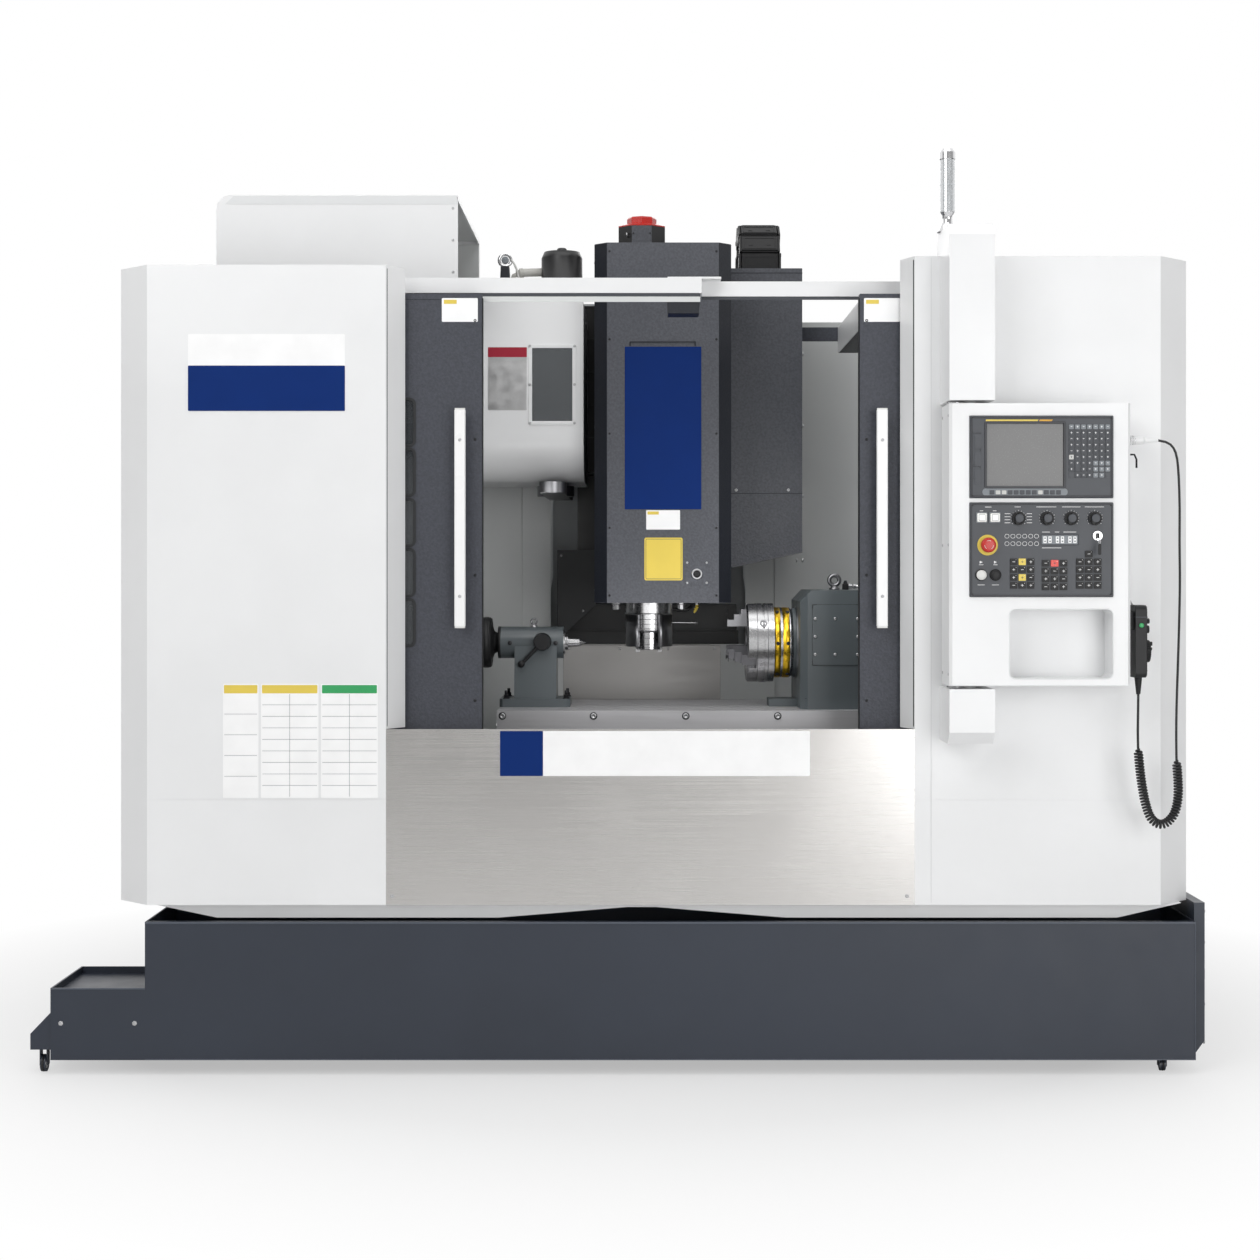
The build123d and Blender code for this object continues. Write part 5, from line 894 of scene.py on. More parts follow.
# Jointed coolant nozzle: its socket, three beads and the tip
JET_X, JET_Y = CX + 0.16, SPY + 0.07
nose.lathe((JET_X, JET_Y, 1.3612), DOWN, [(0, 0.009), (0.005, 0.009), (0.006, 0.0072), (0.01, 0.0072)],
           "steel", 6, False)
for k in range(3):
    nose.lathe((JET_X - 0.001 * k * k, JET_Y - 0.0008 * k, 1.3525 - 0.0064 * k), (-0.15 * k, -0.1 * k, -1),
               [(0, 0.0045), (0.001, 0.006), (0.0036, 0.006), (0.0055, 0.0044), (0.0062, 0.004)],
               "yellow", 18)
nose.lathe((JET_X - 0.006, JET_Y - 0.003, 1.3335), (-0.5, -0.35, -1),
           [(0, 0.0048), (0.003, 0.0046), (0.01, 0.0024), (0.01, 0.0015), (0.007, 0.0013), (0.007, 0)],
           "yellow", 18)
hose = ((0.056, 0.056, 1.352), (0.08, 0.062, 1.338), (0.105, 0.066, 1.332), (0.13, 0.068, 1.336),
        (0.144, 0.07, 1.348))
nose.tube([(CX + x, SPY + y, z) for x, y, z in hose], 0.006, "black", 12)
# Air line behind the nose, between two pixels of the photograph
LINE_U0, LINE_U1, LINE_V, LINE_Y = 670.0, 698.0, 622.4, SPY + 0.058
x0, z0 = px(LINE_U0, LINE_V, LINE_Y)
x1 = px(LINE_U1, LINE_V, LINE_Y)[0]
nose.tube([(x0 - 0.03, LINE_Y - 0.002, z0), (x0, LINE_Y, z0), (x1 - 0.004, LINE_Y, z0 - 0.001),
           (x1, LINE_Y, z0 - 0.004)], 0.0022, "chrome")
nose.lathe((x1 - 0.01, LINE_Y, z0 - 0.001), RIGHT,
           [(0, 0.0036), (0.004, 0.0036), (0.005, 0.0028), (0.009, 0.0028), (0.009, 0)], "screw", 12)
# Air and coolant ring: two curved shields that flank the spindle nose
SHIELD_TURN, SHIELD_STEPS = math.radians(124), 16
shield = ((0.064, 1.32), (0.076, 1.32), (0.076, 1.219), (0.0735, 1.2165), (0.0665, 1.2165),
          (0.064, 1.219))
for side in (0.0, math.pi):
    angles = [side + SHIELD_TURN * (k / SHIELD_STEPS - 0.5) for k in range(SHIELD_STEPS + 1)]
    rows = nose.weave([[(CX + r * math.cos(t), SPY + r * math.sin(t), z) for t in angles] for r, z in shield],
                      "steel_dark", closed=True, whole=False)
    nose.ends(list(zip(*rows)), "steel_dark")
nose.done("head", "steel")

# Turned grooves of the spindle nose and of its cartridge
for name, body, heights, radius, bead, segs in (
    ("spindle_nose_rings", "spindle", (1.2135, 1.223, 1.244), 0.0435, 0.0011, 48),
    ("spindle_cartridge_bands", "head", (1.275, 1.29, 1.305), 0.0594, 0.0012, 56),
):
    grooves = Piece(name)
    for z in heights:
        grooves.ring((CX, SPY, z), UP, radius, bead, "steel_dark", segs, 8)
    grooves.done(body, "steel")

# Spindle motor: red fan cap, front terminal box and cable gland
motor = mid("spindle_motor")
cover = Piece("spindle_motor_trim")

rows = [[(motor.x + dx, motor.y + dy, z) for dx, dy in polar(8, radius, 22.5)]
        for radius, z in ((0.085, 2.5095), (0.085, 2.627), (0.085, 2.631), (0.0527, 2.641))]
cover.ends(cover.weave(rows, ["motor_black", "red", "red"], False), "motor_black", "red")
cover.lathe((motor.x, motor.y, 2.6405), UP, [(0, 0.05), (0.018, 0.05), (0.0232, 0.0455), (0.0235, 0)],
            "red", 8, False)
cover.box(motor.x - 0.0335, motor.x + 0.0335, motor.y - 0.0815, motor.y - 0.0775, 2.511, 2.6255,
          "graphite_head", 0.0012)
cover.screws((motor.x - 0.028, motor.x + 0.028), (motor.y - 0.0815,), (2.52, 2.6), FRONT,
             0.0032, 0.0018, "black_screw")
cover.ring((motor.x - 0.05, motor.y - 0.069, 2.596), (1, 0, 0.2), 0.006, 0.0022, "screw", 24, 8)
cover.done("head", "motor_black")

# Way covers: folded steps; on the machine they stretch with the head, here they stay fixed

def folded_steps(name, z0, step, count, y0, dy, half):
    w = Piece(name)
    for i in range(count):
        z, top = z0 + i * step, z0 + (i + 1) * step
        y = y0 + i * dy
        h = half - i * 0.006
        w.box(CX - h, CX + h, y, y + 0.0022, z, top + 0.012, "black_sheet", 0.0006)
        w.box(CX - h, CX + h, y - 0.003, y + 0.0022, top + 0.006, top + 0.012, "black_sheet", 0.0012)
        for x in (CX - h, CX + h):
            w.box(x - 0.0012, x + 0.0012, y, y + 0.014, z, top + 0.01, "black_sheet", 0.0005)
        w.screws((CX - h + 0.03, CX + h - 0.03), (y,), (z + step * 0.5,), FRONT, 0.0045, 0.0022)
    return w


lower = folded_steps("way_cover_lower", 0.968, 0.092, 4, 0.2285, 0.0024, 0.33)
lower.done("machine", "motor_black", ("way_covers",),
           ("machine", "head", (CX, 0.23, 0.98), (CX, 0.23, 1.345)))
upper = folded_steps("way_cover_upper", 1.812, 0.115, 5, 0.202, 0.0042, 0.325)
upper.done("head", "motor_black", (), ("head", "machine", (CX, 0.22, 1.82), (CX, 0.22, 2.395)))

# Energy chain

LINKS, BEND, RISE = 20, 0.118, 0.03      # links, radius of the bend, straight run before it
CHAIN_Z, CHAIN_Y = 2.469, 0.003           # lower end on the side box, and the bend's centre
PITCH = (math.pi * BEND + 0.799) / LINKS
CHAIN_X0, CHAIN_X1 = CX + 0.303, CX + 0.445
CHAIN_X = (CHAIN_X0 + CHAIN_X1) / 2


def chain_path(s):
    """Centre and direction on the chain: up from the side box, round the bend, down to the bracket."""
    half = math.pi * BEND
    if s < RISE:
        return Vector((0, CHAIN_Y - BEND, CHAIN_Z + s)), Z
    if s < RISE + half:
        a = math.pi - (s - RISE) / BEND
        centre = Vector((0, CHAIN_Y + BEND * math.cos(a), CHAIN_Z + RISE + BEND * math.sin(a)))
        return centre, Vector((0, math.sin(a), -math.cos(a)))
    return Vector((0, CHAIN_Y + BEND, CHAIN_Z + 2 * RISE + half - s)), -Z


chain = Piece("energy_chain_links")
for k in range(LINKS):
    c, d = chain_path((k + 0.5) * PITCH)
    side = d.cross(X).normalized()
    rot = Matrix(((1, 0, 0, 0), (0, d.y, side.y, 0), (0, d.z, side.z, 0), (0, 0, 0, 1)))

    def put(x, half, a, reach, h, high, bevel, key="black"):
        """A bar of this link, from its middle across and along the chain and its foot outwards."""
        m = c + d * (a * PITCH) + side * (h + high / 2)
        y0, y1, z0, z1 = m.y - reach, m.y + reach, m.z - high / 2, m.z + high / 2
        chain.box(x - half, x + half, y0, y1, z0, z1, key, bevel, rot)

    step = 0.003 if k % 2 else 0.0
    for x in (CHAIN_X0 + step + 0.004, CHAIN_X1 - step - 0.004):
        put(x, 0.004, 0, PITCH * 0.56, -0.0265, 0.053, 0.003)
    # A near-black block fills the link's hollow: painted shade inside the chain
    put(CHAIN_X, 0.061, 0, PITCH * 0.56, -0.0225, 0.045, 0.002, "dark")
    for h, g in ((-0.0275, -0.0012), (0.0235, 0.004)):
        put(CHAIN_X, 0.06, 0, PITCH * 0.47, h, 0.004, 0.0012)
        for e in (-1, 1):
            put(CHAIN_X, 0.055, e * 0.36, 0.0016, h + g, 0.0012, 0.0005)
            put(CHAIN_X + e * 0.051, 0.0016, 0, PITCH * 0.36, h + g, 0.0012, 0.0005)
            put(CHAIN_X + e * 0.03, 0.007, -0.12, PITCH * 0.04, h + g, 0.0014, 0.0005)
    for x, s in ((CHAIN_X0 + step, -1), (CHAIN_X1 - step, 1)):
        chain.lathe(c + d * (PITCH * 0.5) + X * x, X * s,
                    [(-0.001, 0.0085), (0.0012, 0.008), (0.0018, 0.006), (0.0018, 0)], "black", 14)
foot = CHAIN_Y - BEND
chain.box(CHAIN_X0 + 0.004, CHAIN_X1 - 0.004, foot - 0.034, foot + 0.034, 2.4694, 2.474, "screw", 0.0012)
chain.done("machine", "black_plastic", ("energy_chain",),
           ("machine", "head", (CX + 0.37, 0.12, 1.72), (CX + 0.37, 0.12, 2.44)))

# Magazine covers

CY = FY + 0.75
WINDOW, SILVER_PLATE = (531.6, 347.6, 572.8, 421.6), (488.0, 347.3, 526.9, 410.2)
magazine = Piece("magazine_window_trim")
x0, x1, z0, z1 = span(WINDOW, CY)
magazine.frame(x0 - 0.011, x1 + 0.011, z0 - 0.011, z1 + 0.011, CY - 0.0035, 0.0034, 0.0125, "white", 0.008)
magazine.label(x0, x1, z0, z1, CY, 0.0012, 0.0011, "smoke", 0.004, 0.0003)
magazine.screws((x0 - 0.0055, x1 + 0.0055), (CY - 0.0034,), (z0 - 0.005, (z0 + z1) / 2, z1 + 0.005), FRONT,
                0.0046, 0.0026)
x0, x1, z0, z1 = span(SILVER_PLATE, CY)
magazine.label(x0, x1, z0, z1, CY, 0.0014, 0.0013, "plate_silver", 0.002, 0.0004)
magazine.label(x0, x1, z1 - 0.032, z1, CY, 0.0019, 0.0006, "crimson")
# Right end plate of the inner magazine cover, in the darker white: painted shade on a side face
magazine.box(CX - 0.2145, CX - 0.213, CY + 0.15, 0.188, 1.775, 2.337, "white_side", 0.0005)
magazine.screws((CX - 0.213,), (CY + 0.3,), (1.92, 2.1, 2.3), RIGHT)
magazine.done("machine", "white_paint")

# Roof: lifting eye on its post, coolant pipes and the mist collector
EYE, EYE_DEPTH, ROOF = (505.2, 260.3), -0.2, 2.34
roof = Piece("roof_fittings")
ex, ez = px(*EYE, EYE_DEPTH)
outline = ((-0.02, ROOF - 0.0005), (0.02, ROOF - 0.0005), (0.014, ez - 0.0215), (-0.014, ez - 0.0215))
roof.prism([(ex + dx, EYE_DEPTH - 0.02, z) for dx, z in outline], Y * 0.04, "graphite_dark", 0.002)
roof.ring((ex, EYE_DEPTH, ez), BACK, 0.02, 0.0052, "chrome", 40, 12)
roof.lathe((ex, -0.205, ez), BACK,
           [(0, 0), (0, 0.01), (0.0012, 0.0125), (0.0088, 0.0125), (0.01, 0.01), (0.01, 0)],
           "key_grey", 32)
wire = ((0.019, -0.205, ez + 0.002), (0.03, -0.21, ez - 0.012), (0.04, -0.212, ez - 0.035),
        (0.046, -0.212, ez - 0.06), (0.05, -0.21, ROOF))
roof.tube([(ex + dx, y, z) for dx, y, z in wire], 0.0035, "key_light")
MIST_X, MIST_Y = CX - 0.292, -0.12
roof.tube([(ex + 0.046, MIST_Y, 2.462), (ex + 0.056, MIST_Y, 2.468), (MIST_X - 0.06, MIST_Y, 2.47)],
          0.014, "pipe", 16)
roof.lathe((ex + 0.056, MIST_Y, 2.468), (-1, 0, -0.15),
           [(0, 0.0165), (0.012, 0.0165), (0.014, 0.012), (0.024, 0.012), (0.026, 0)], "pipe", 16)
drop = ((0.048, 2.466), (0.024, 2.458), (0.014, 2.43), (0.012, ROOF))
roof.tube([(ex + dx, MIST_Y, z) for dx, z in drop], 0.008, "pipe", 12)
roof.lathe((MIST_X, MIST_Y, 2.399), UP,
           [(0, 0.074), (0.004, 0.074), (0.0045, 0.069), (0.116, 0.069), (0.137, 0.06),
            (0.138, 0.02), (0.139, 0.0165), (0.148, 0.0165), (0.1515, 0.013), (0.152, 0)],
           "motor_black", 40)
for dx, dy in polar(6, 0.0715, 15):
    roof.lathe((MIST_X + dx, MIST_Y + dy, 2.403), UP,
               [(0, 0.004), (0.005, 0.004), (0.0055, 0.003), (0.0055, 0)], "screw", 6, False)
roof.box(MIST_X - 0.005, MIST_X + 0.005, MIST_Y - 0.0715, MIST_Y - 0.068, 2.41, 2.418, "screw", 0.001)
roof.lathe((MIST_X + 0.068, MIST_Y, 2.428), RIGHT,
           [(0, 0.008), (0.006, 0.008), (0.009, 0.0055), (0.01, 0)], "screw", 16)
roof.done("machine", "motor_black")

hood = Piece("magazine_hood_trim")
HOOD_Y = FY + 0.5
# A band along the hood's top front and its right end in the darker white: painted shade on the bevel and the
# side
outline = ((-1.302, 2.6385), (-0.602, 2.6385), (-0.602, 2.612), (-1.33, 2.612))
hood.prism([(CX + x, HOOD_Y - 0.0008, z) for x, z in outline], Y * 0.0008, "white_side", 0.0002)
hood.box(CX - 0.6065, CX - 0.6, HOOD_Y, 0.275, 2.625, 2.637, "white_side", 0.001)
hood.screws((CX - 0.615,), (HOOD_Y,), (2.4, 2.5, 2.6), FRONT, 0.0045, 0.0022)
hood.screws((CX - 1.28, CX - 0.66), (-0.5, -0.2, 0.1), (2.641,), UP, 0.0045, 0.0022)
hood.screws((CX - 1.357,), (-0.57, -0.3, 0.0, 0.22), (2.375,), LEFT)
# Grey sheets inside the hood, on its roof and its rear wall: painted shade for the hood's dim inside
hood.box(CX - 1.3, CX - 0.608, HOOD_Y + 0.006, 0.27, 2.6352, 2.6364, "inner_grey", 0.0004)
hood.box(CX - 1.345, CX - 0.603, 0.2744, 0.2756, 2.36, 2.624, "inner_grey", 0.0004)
hood.done("machine", "white_paint")

beam = Piece("roof_side_beam")
# Its two side plates are in the darker white: painted shade on faces turned from the lamps
BEAM_X, BEAM_Z, BEAM_Y0, BEAM_Y1 = CX + 0.64, 2.2876, FY + 0.3, FY + 1.03
for x0, x1, y0, z0, z1, key in (
    (BEAM_X, BEAM_X + 0.004, BEAM_Y0, 2.201, BEAM_Z, "white_side"),
    (BEAM_X + 0.0035, BEAM_X + 0.075, BEAM_Y0, 2.201, 2.205, "graphite_dark"),
    (CX + 0.515, BEAM_X + 0.07, BEAM_Y1 - 0.005, 2.24, BEAM_Z, "graphite"),
    (BEAM_X + 0.071, BEAM_X + 0.075, BEAM_Y0, 2.201, BEAM_Z, "white_side"),
):
    beam.box(x0, x1, y0, BEAM_Y1, z0, z1, key, 0.0012)
beam.done("machine", "white_paint")


# Table: bolts along its front, a groove below them and the tailstock's T-bolts

table_lo, table_hi = box("table")
TABLE_BOLTS, TABLE_BOLT_V = (502.4, 593.5, 685.8, 777.7, 869.6), 713.8
table = Piece("table_trim")
TF = table_lo.y
washer = [(-0.0005, 0.0118), (0.001, 0.0118), (0.001, 0.0088)]
bolt = [(0.0005, 0.0086), (0.0035, 0.0086), (0.0045, 0.0076), (0.0045, 0.0044), (0.0015, 0.004), (0.0015, 0)]
for u in TABLE_BOLTS:
    place = (px(u, TABLE_BOLT_V, TF)[0], TF, 1.0115)
    table.lathe(place, FRONT, washer, "black_screw")
    table.lathe(place, FRONT, bolt, "screw", 20)
table.box(table_lo.x + 0.0005, table_hi.x - 0.0005, TF - 0.0016, TF, 0.94, 0.9418, "steel_dark", 0.0004)
for x, side in ((table_lo.x, LEFT), (table_hi.x, RIGHT)):
    table.hexbolts((x,), (-0.6, -0.14), (0.975,), side, 0.009)
for x, y in product((CX - 0.458, CX - 0.266), (-0.47, -0.33)):
    table.lathe((x, y, 1.0542), UP, [(0, 0.011), (0.0022, 0.011), (0.0024, 0.0095)], "black_screw")
    table.hexbolt((x, y, 1.056), UP, 0.0085, 0.011, "black_screw")
    table.lathe((x, y, 1.0668), UP, [(0, 0.005), (0.012, 0.005), (0.0135, 0.004), (0.0135, 0)],
                "black_screw", 16)
table.done("table", "steel")

# Work axis: tailstock, quill, chuck and rotary table share it

WY, WZ = mid("chuck").yz


def on_axis(piece, x, profile, key, segs=24, radius=0, turn=0, axis=RIGHT):
    """A turned form on the work axis, or at a radius and an angle about it."""
    y, z = WY + radius * math.cos(turn), WZ + radius * math.sin(turn)
    piece.lathe((x, y, z), axis, profile, key, segs)


tail = Piece("tailstock_trim")
EYE_X0, EYE_TOP = CX - 0.372, WZ + 0.0505
tail.lathe((EYE_X0, WY, EYE_TOP), UP, [(-0.002, 0.012), (0.003, 0.012), (0.005, 0.0085), (0.008, 0.006)],
           "screw", 20)
tail.ring((EYE_X0, WY, EYE_TOP + 0.017), BACK, 0.009, 0.003, "steel_dark", 30)
on_axis(tail, CX - 0.487, [(0, 0.05), (0, 0.0516), (0.0085, 0.0516), (0.0095, 0.0508)], "black", 48)
tail.ring((CX - 0.277, WY, WZ), RIGHT, 0.04, 0.0022, "screw", 40, 8)
on_axis(tail, CX - 0.2765, [(-0.001, 0.0375), (0.004, 0.0375), (0.005, 0.036), (0.005, 0.0262)], "screw", 36)
for dy, dz in polar(4, 0.0445, 45):
    tail.screw((CX - 0.2765, WY + dy, WZ + dz), RIGHT, 0.0036, 0.003, "black_screw")
for x in (CX - 0.447, CX - 0.3):
    tail.lathe((x, WY - 0.0508, WZ - 0.0005), FRONT,
               [(-0.003, 0.007), (0.0035, 0.007), (0.0042, 0.006), (0.0042, 0)], "black_screw", 16)
tail.done("table", "equipment_grey")

wheel = Piece("tail_handwheel_trim")
on_axis(wheel, CX - 0.5375,
        [(0, 0), (0, 0.056), (0.001, 0.07), (0.0005, 0.079), (0.004, 0.0822), (0.019, 0.0822),
         (0.022, 0.08), (0.024, 0.074), (0.04, 0.033), (0.043, 0.026), (0.048, 0.026),
         (0.048, 0)], "black", 64)
on_axis(wheel, CX - 0.538, [(-0.001, 0.006), (0.002, 0.005), (0.02, 0.0085), (0.03, 0.007), (0.033, 0)],
        "black", 20, 0.058, axis=LEFT)
wheel.done("tail_handwheel", "black_plastic")

quill = Piece("quill_rings")
quill.ring((CX - 0.266, WY, WZ), RIGHT, 0.0236, 0.001, "steel_dark", 40, 8)
quill.done("quill", "chrome")

lever = Piece("clamp_lever_knob")
lever.ring((CX - 0.342, WY - 0.064, WZ + 0.004), BACK, 0.0112, 0.0022, "black", 30, 8)
lever.done("clamp_lever", "black_plastic")

# Rotary table: front cover with its screws, eye bolt, brake valve and foot bolts
rotary = Piece("rotary_table_trim")
ROTARY_Y = FY + 0.502
COVER_X0, COVER_X1, COVER_Z0, COVER_Z1 = CX + 0.512, CX + 0.662, 1.167, 1.357
for x, heights in ((COVER_X0 + 0.0085, (1.201, 1.257, 1.313)), (COVER_X0 + 0.071, (1.201, 1.313)),
                   (COVER_X1 - 0.0085, (1.201, 1.257, 1.313))):
    rotary.screws((x,), (ROTARY_Y,), heights, FRONT, 0.0052, 0.004)
rotary.frame(COVER_X0 - 0.001, COVER_X1 + 0.001, COVER_Z0 - 0.001, COVER_Z1 + 0.001, ROTARY_Y + 0.0016,
             0.0014, 0.002, "gasket", 0.003)
rotary.lathe((CX + 0.6, WY, 1.4018), UP, [(-0.001, 0.017), (0.005, 0.017), (0.008, 0.012), (0.014, 0.01)],
             "steel_dark")
rotary.ring((CX + 0.6, WY, 1.433), BACK, 0.016, 0.007, "steel_dark", 40, 12)
VALVE_Y, LINE_Z = WY + 0.02, 1.413
rotary.box(CX + 0.628, CX + 0.648, VALVE_Y - 0.01, VALVE_Y + 0.01, 1.4018, 1.422, "black", 0.003)
rotary.lathe((CX + 0.638, VALVE_Y, 1.4218), UP,
             [(0, 0.007), (0.005, 0.007), (0.006, 0.005), (0.01, 0.005), (0.0105, 0)], "black_screw", 16)
for x, radius, inner, length in ((CX + 0.6475, 0.0085, 0.007, 0.012), (CX + 0.664, 0.0078, 0.006, 0.01)):
    rotary.lathe((x, VALVE_Y, LINE_Z), RIGHT,
                 [(0, radius), (0.006, radius), (0.0065, inner), (length, inner)], "screw", 6, False)
line = ((0.656, 0), (0.68, 0), (0.698, 0), (0.706, -0.002), (0.709, -0.008), (0.709, -0.014))
rotary.tube([(CX + x, VALVE_Y, LINE_Z + dz) for x, dz in line], 0.0052, "chrome", 12)
rotary.hexbolts((CX + 0.5, CX + 0.7), (-0.6, -0.2), (1.062,), UP, 0.011, 0.012, "black_screw")
rotary.hexbolts((CX + 0.725,), (-0.58, -0.22), (1.12, 1.33), RIGHT, 0.008, 0.005)
on_axis(rotary, CX + 0.725, [(-0.0005, 0.065), (0.006, 0.064), (0.008, 0.06), (0.008, 0)], "equipment", 40)
for dy, dz in polar(6, 0.053):
    rotary.screw((CX + 0.733, WY + dy, WZ + dz), RIGHT, 0.0045, 0.0025, "black_screw")
rotary.ring((CX + 0.4746, WY, WZ), RIGHT, 0.112, 0.003, "steel_dark", 64, 8)
rotary.done("table", "equipment_grey")

# Chuck: grooves, socket screws on its face and its rim, and the oiled rear part with its bolts
THIRDS = [math.radians(90 + 120 * k) for k in range(3)]
chuck = Piece("chuck_trim")
for x in (CX + 0.346, CX + 0.38):
    chuck.ring((x, WY, WZ), RIGHT, 0.1262, 0.0014, "steel_dark", 72, 8)
for turn in THIRDS:
    between = turn - math.radians(60)
    place = (CX + 0.313, WY + 0.103 * math.cos(between), WZ + 0.098 * math.sin(between))
    chuck.lathe(place, LEFT, [(-0.001, 0.0095), (0.0008, 0.0095), (0.001, 0.008), (0.001, 0.0052),
                              (-0.0005, 0.005), (-0.0005, 0)], "steel_dark")
    between = turn + math.radians(60)
    on_axis(chuck, CX + 0.365, [(-0.004, 0.0125), (0.0012, 0.0125), (0.0018, 0.011), (0.0018, 0.0068),
                                 (-0.0005, 0.0064), (-0.0005, 0)], "steel_dark", 20, 0.1262, between,
            (0, math.cos(between), math.sin(between)))
on_axis(chuck, CX + 0.313, [(-0.0008, 0.041), (0.001, 0.041), (0.0014, 0.0402), (0.0014, 0.0386)],
        "steel_dark", 56, axis=LEFT)
on_axis(chuck, CX + 0.4005, [(0, 0.113), (0.0005, 0.1136), (0.02, 0.1136), (0.0215, 0.111), (0.026, 0.111),
                             (0.0275, 0.1136), (0.049, 0.1136), (0.0575, 0.106)], "oil", 72)
for x, k in product((CX + 0.411, CX + 0.444), range(6)):
    turn = math.radians(60 * k)
    on_axis(chuck, x, [(-0.001, 0.0062), (0.0036, 0.0062), (0.0044, 0.005), (0.0044, 0.003), (0.002, 0.0028),
                       (0.002, 0)], "black_screw", 14, 0.113, turn, (0, math.cos(turn), math.sin(turn)))
chuck.done("chuck", "steel")

# Socket screws sunk in each top jaw
for i, turn in enumerate(THIRDS):
    name = "jaw_%d" % (i + 1)
    jaw = Piece("jaw_trim_%d" % (i + 1))
    for radius in (0.072, 0.1):
        on_axis(jaw, box(name)[0].x, [(-0.001, 0.0088), (0.0005, 0.0088), (0.0008, 0.0075), (0.0008, 0.0046),
                                      (-0.0008, 0.0044), (-0.0008, 0)], "black_screw", 20, radius, turn, LEFT)
    jaw.done(name, "steel")

# Pendant arms and box

arms = Piece("pendant_arm_trim")
arms_hi = box("pendant_arms")[1]
HINGE_X = box("pendant_arms")[0].x + 0.024
for z0, z1 in ((1.945, 2.44), (0.976, 1.126)):
    arms.screws((arms_hi.x,), (-1.215,), (z0 + 0.022, z1 - 0.022), RIGHT, 0.0048, 0.0024)
arms.box(arms_hi.x - 0.0008, arms_hi.x + 0.0008, -1.2935, -1.1225, 1.944, 1.9456, "white_side", 0.0003)
for z, bead in ((1.9375, 0.003), (1.1335, 0.0026)):
    arms.ring((HINGE_X, PENDANT_Y, z), UP, 0.0225, bead, "chrome")
arms.done("machine", "white_paint")

PF = box("pendant_box")[0].y
pendant = Piece("pendant_box_trim")
for x, side in ((0.931, LEFT), (1.441, RIGHT)):
    pendant.screws((x,), (-1.292, -1.178), (1.17, 1.535, 1.9), side, 0.0045, 0.0022)
# Rim of the open shelf and the fold below it, in the darker white: painted shade on the rim and in the fold
pendant.frame(1.0975, 1.3935, 1.1555, 1.3565, PF - 0.0012, 0.0012, 0.0034, "white_side", 0.02, 7)
pendant.box(0.9325, 1.4395, PF - 0.001, PF, 1.1385, 1.141, "white_side", 0.0004)
pendant.screws((0.96, 1.412), (-1.16,), (1.18, 1.89), BACK, 0.0055, 0.0028)
pendant.done("pendant", "white_paint")

# Numerical control unit

CF = box("cnc_unit")[0].y + 0.002       # face plate inside the raised rim


def legend(piece, x0, x1, z0, z1, high=0.0005, low=0.0, key="card"):
    """A short bar in place of lettering on a panel's face."""
    piece.box(x0, x1, CF - high, CF - low, z0, z1, key, 0.0002)


def key_cap(piece, x, z, half_x, half_z, high, thick, key, radius, bevel):
    piece.plate(x - half_x, x + half_x, z - half_z, z + half_z, CF - high, thick, key, radius, bevel)


STRIPE = (985.8, 419.5, 1036.5, 422.6)
SIDE_KEYS = ((971.5, 432.7, 980.6, 465.2), (971.5, 466.2, 980.6, 478.7))
unit = Piece("cnc_unit_front")
unit.frame(0.99, 1.388, 1.669, 1.895, CF - 0.0024, 0.0024, 0.0045, "panel_dark", 0.007)
x0, x1, z0, z1 = span(STRIPE, CF)
for a, b, c, d, key in (
    (x0, x1 + 0.006, x1, x0, "yellow"),
    (x1 + 0.01, x1 + 0.046, x1 + 0.04, x1 + 0.004, "amber"),
):
    unit.prism([(a, CF, z1), (b, CF, z1), (c, CF, z0), (d, CF, z0)], FRONT * 0.0008, key)
unit.frame(1.028, 1.257, 1.693, 1.882, CF - 0.0022, 0.0022, 0.0065, "panel_dark", 0.006)
unit.plate(1.0345, 1.2505, 1.6995, 1.8755, CF + 0.003, 0.001, "screen", 0.003, 0.0002)
for pixels in SIDE_KEYS:
    x0, x1, z0, z1 = span(pixels, CF)
    unit.frame(x0, x1, z0, z1, CF - 0.0012, 0.0012, 0.0014, "panel_dark", 0.002)
    unit.label(x0 + 0.0016, x1 - 0.0016, z0 + 0.0016, z1 - 0.0016, CF, 0.0006, 0.0006, "key_dark", 0.001)
unit.plate(1.0225, 1.262, 1.6725, 1.6935, CF - 0.0008, 0.0008, "key_grey", 0.01, 0.0002, 6)
# Soft keys below the screen, then the keyboard: nine rows of seven with three left out
KEY_STEP, SOFT_X, SOFT_Z, BOARD_X, BOARD_Z = 0.017, 1.1425, 1.682, 1.323, 1.798
for k in range(12):
    key_cap(unit, SOFT_X + (k - 5.5) * KEY_STEP, SOFT_Z, 0.0064, 0.0056, 0.0032, 0.003,
            "key_light" if k in (1, 2, 8) else "key_dark", 0.0018, 0.0007)
for r, c in product(range(9), range(7)):
    if (r, c) in ((7, 1), (8, 0), (8, 6)):
        continue
    x, z = BOARD_X + (c - 3) * KEY_STEP, BOARD_Z + (4 - r) * KEY_STEP
    tall = KEY_STEP if (r, c) == (6, 1) else 0
    key, mark = "key_dark", "card"
    if (r, c) == (5, 0):
        key, mark = "key_light", "key_dark"
    elif r == 0 or (r > 5 and c > 3):
        key = "key_grey"
    key_cap(unit, x, z - tall / 2, 0.0065, 0.0065 + tall / 2, 0.0034, 0.0032, key, 0.0018, 0.0008)
    legend(unit, x - 0.0024, x + 0.0024, z + 0.0002, z + 0.0014, 0.0037, 0.0033, mark)
    if (r + c) % 2:
        legend(unit, x - 0.0008, x + 0.0008, z - 0.0022, z + 0.003, 0.0037, 0.0033, mark)
legend(unit, 1.03, 1.042, 1.69, 1.6908, 0.0008)
unit.screws((0.9935, 1.3845), (CF - 0.0022,), (1.6725, 1.8915), FRONT, 0.0024, 0.0012, "black_screw")
unit.done("pendant", "panel_grey")


# Operator panel

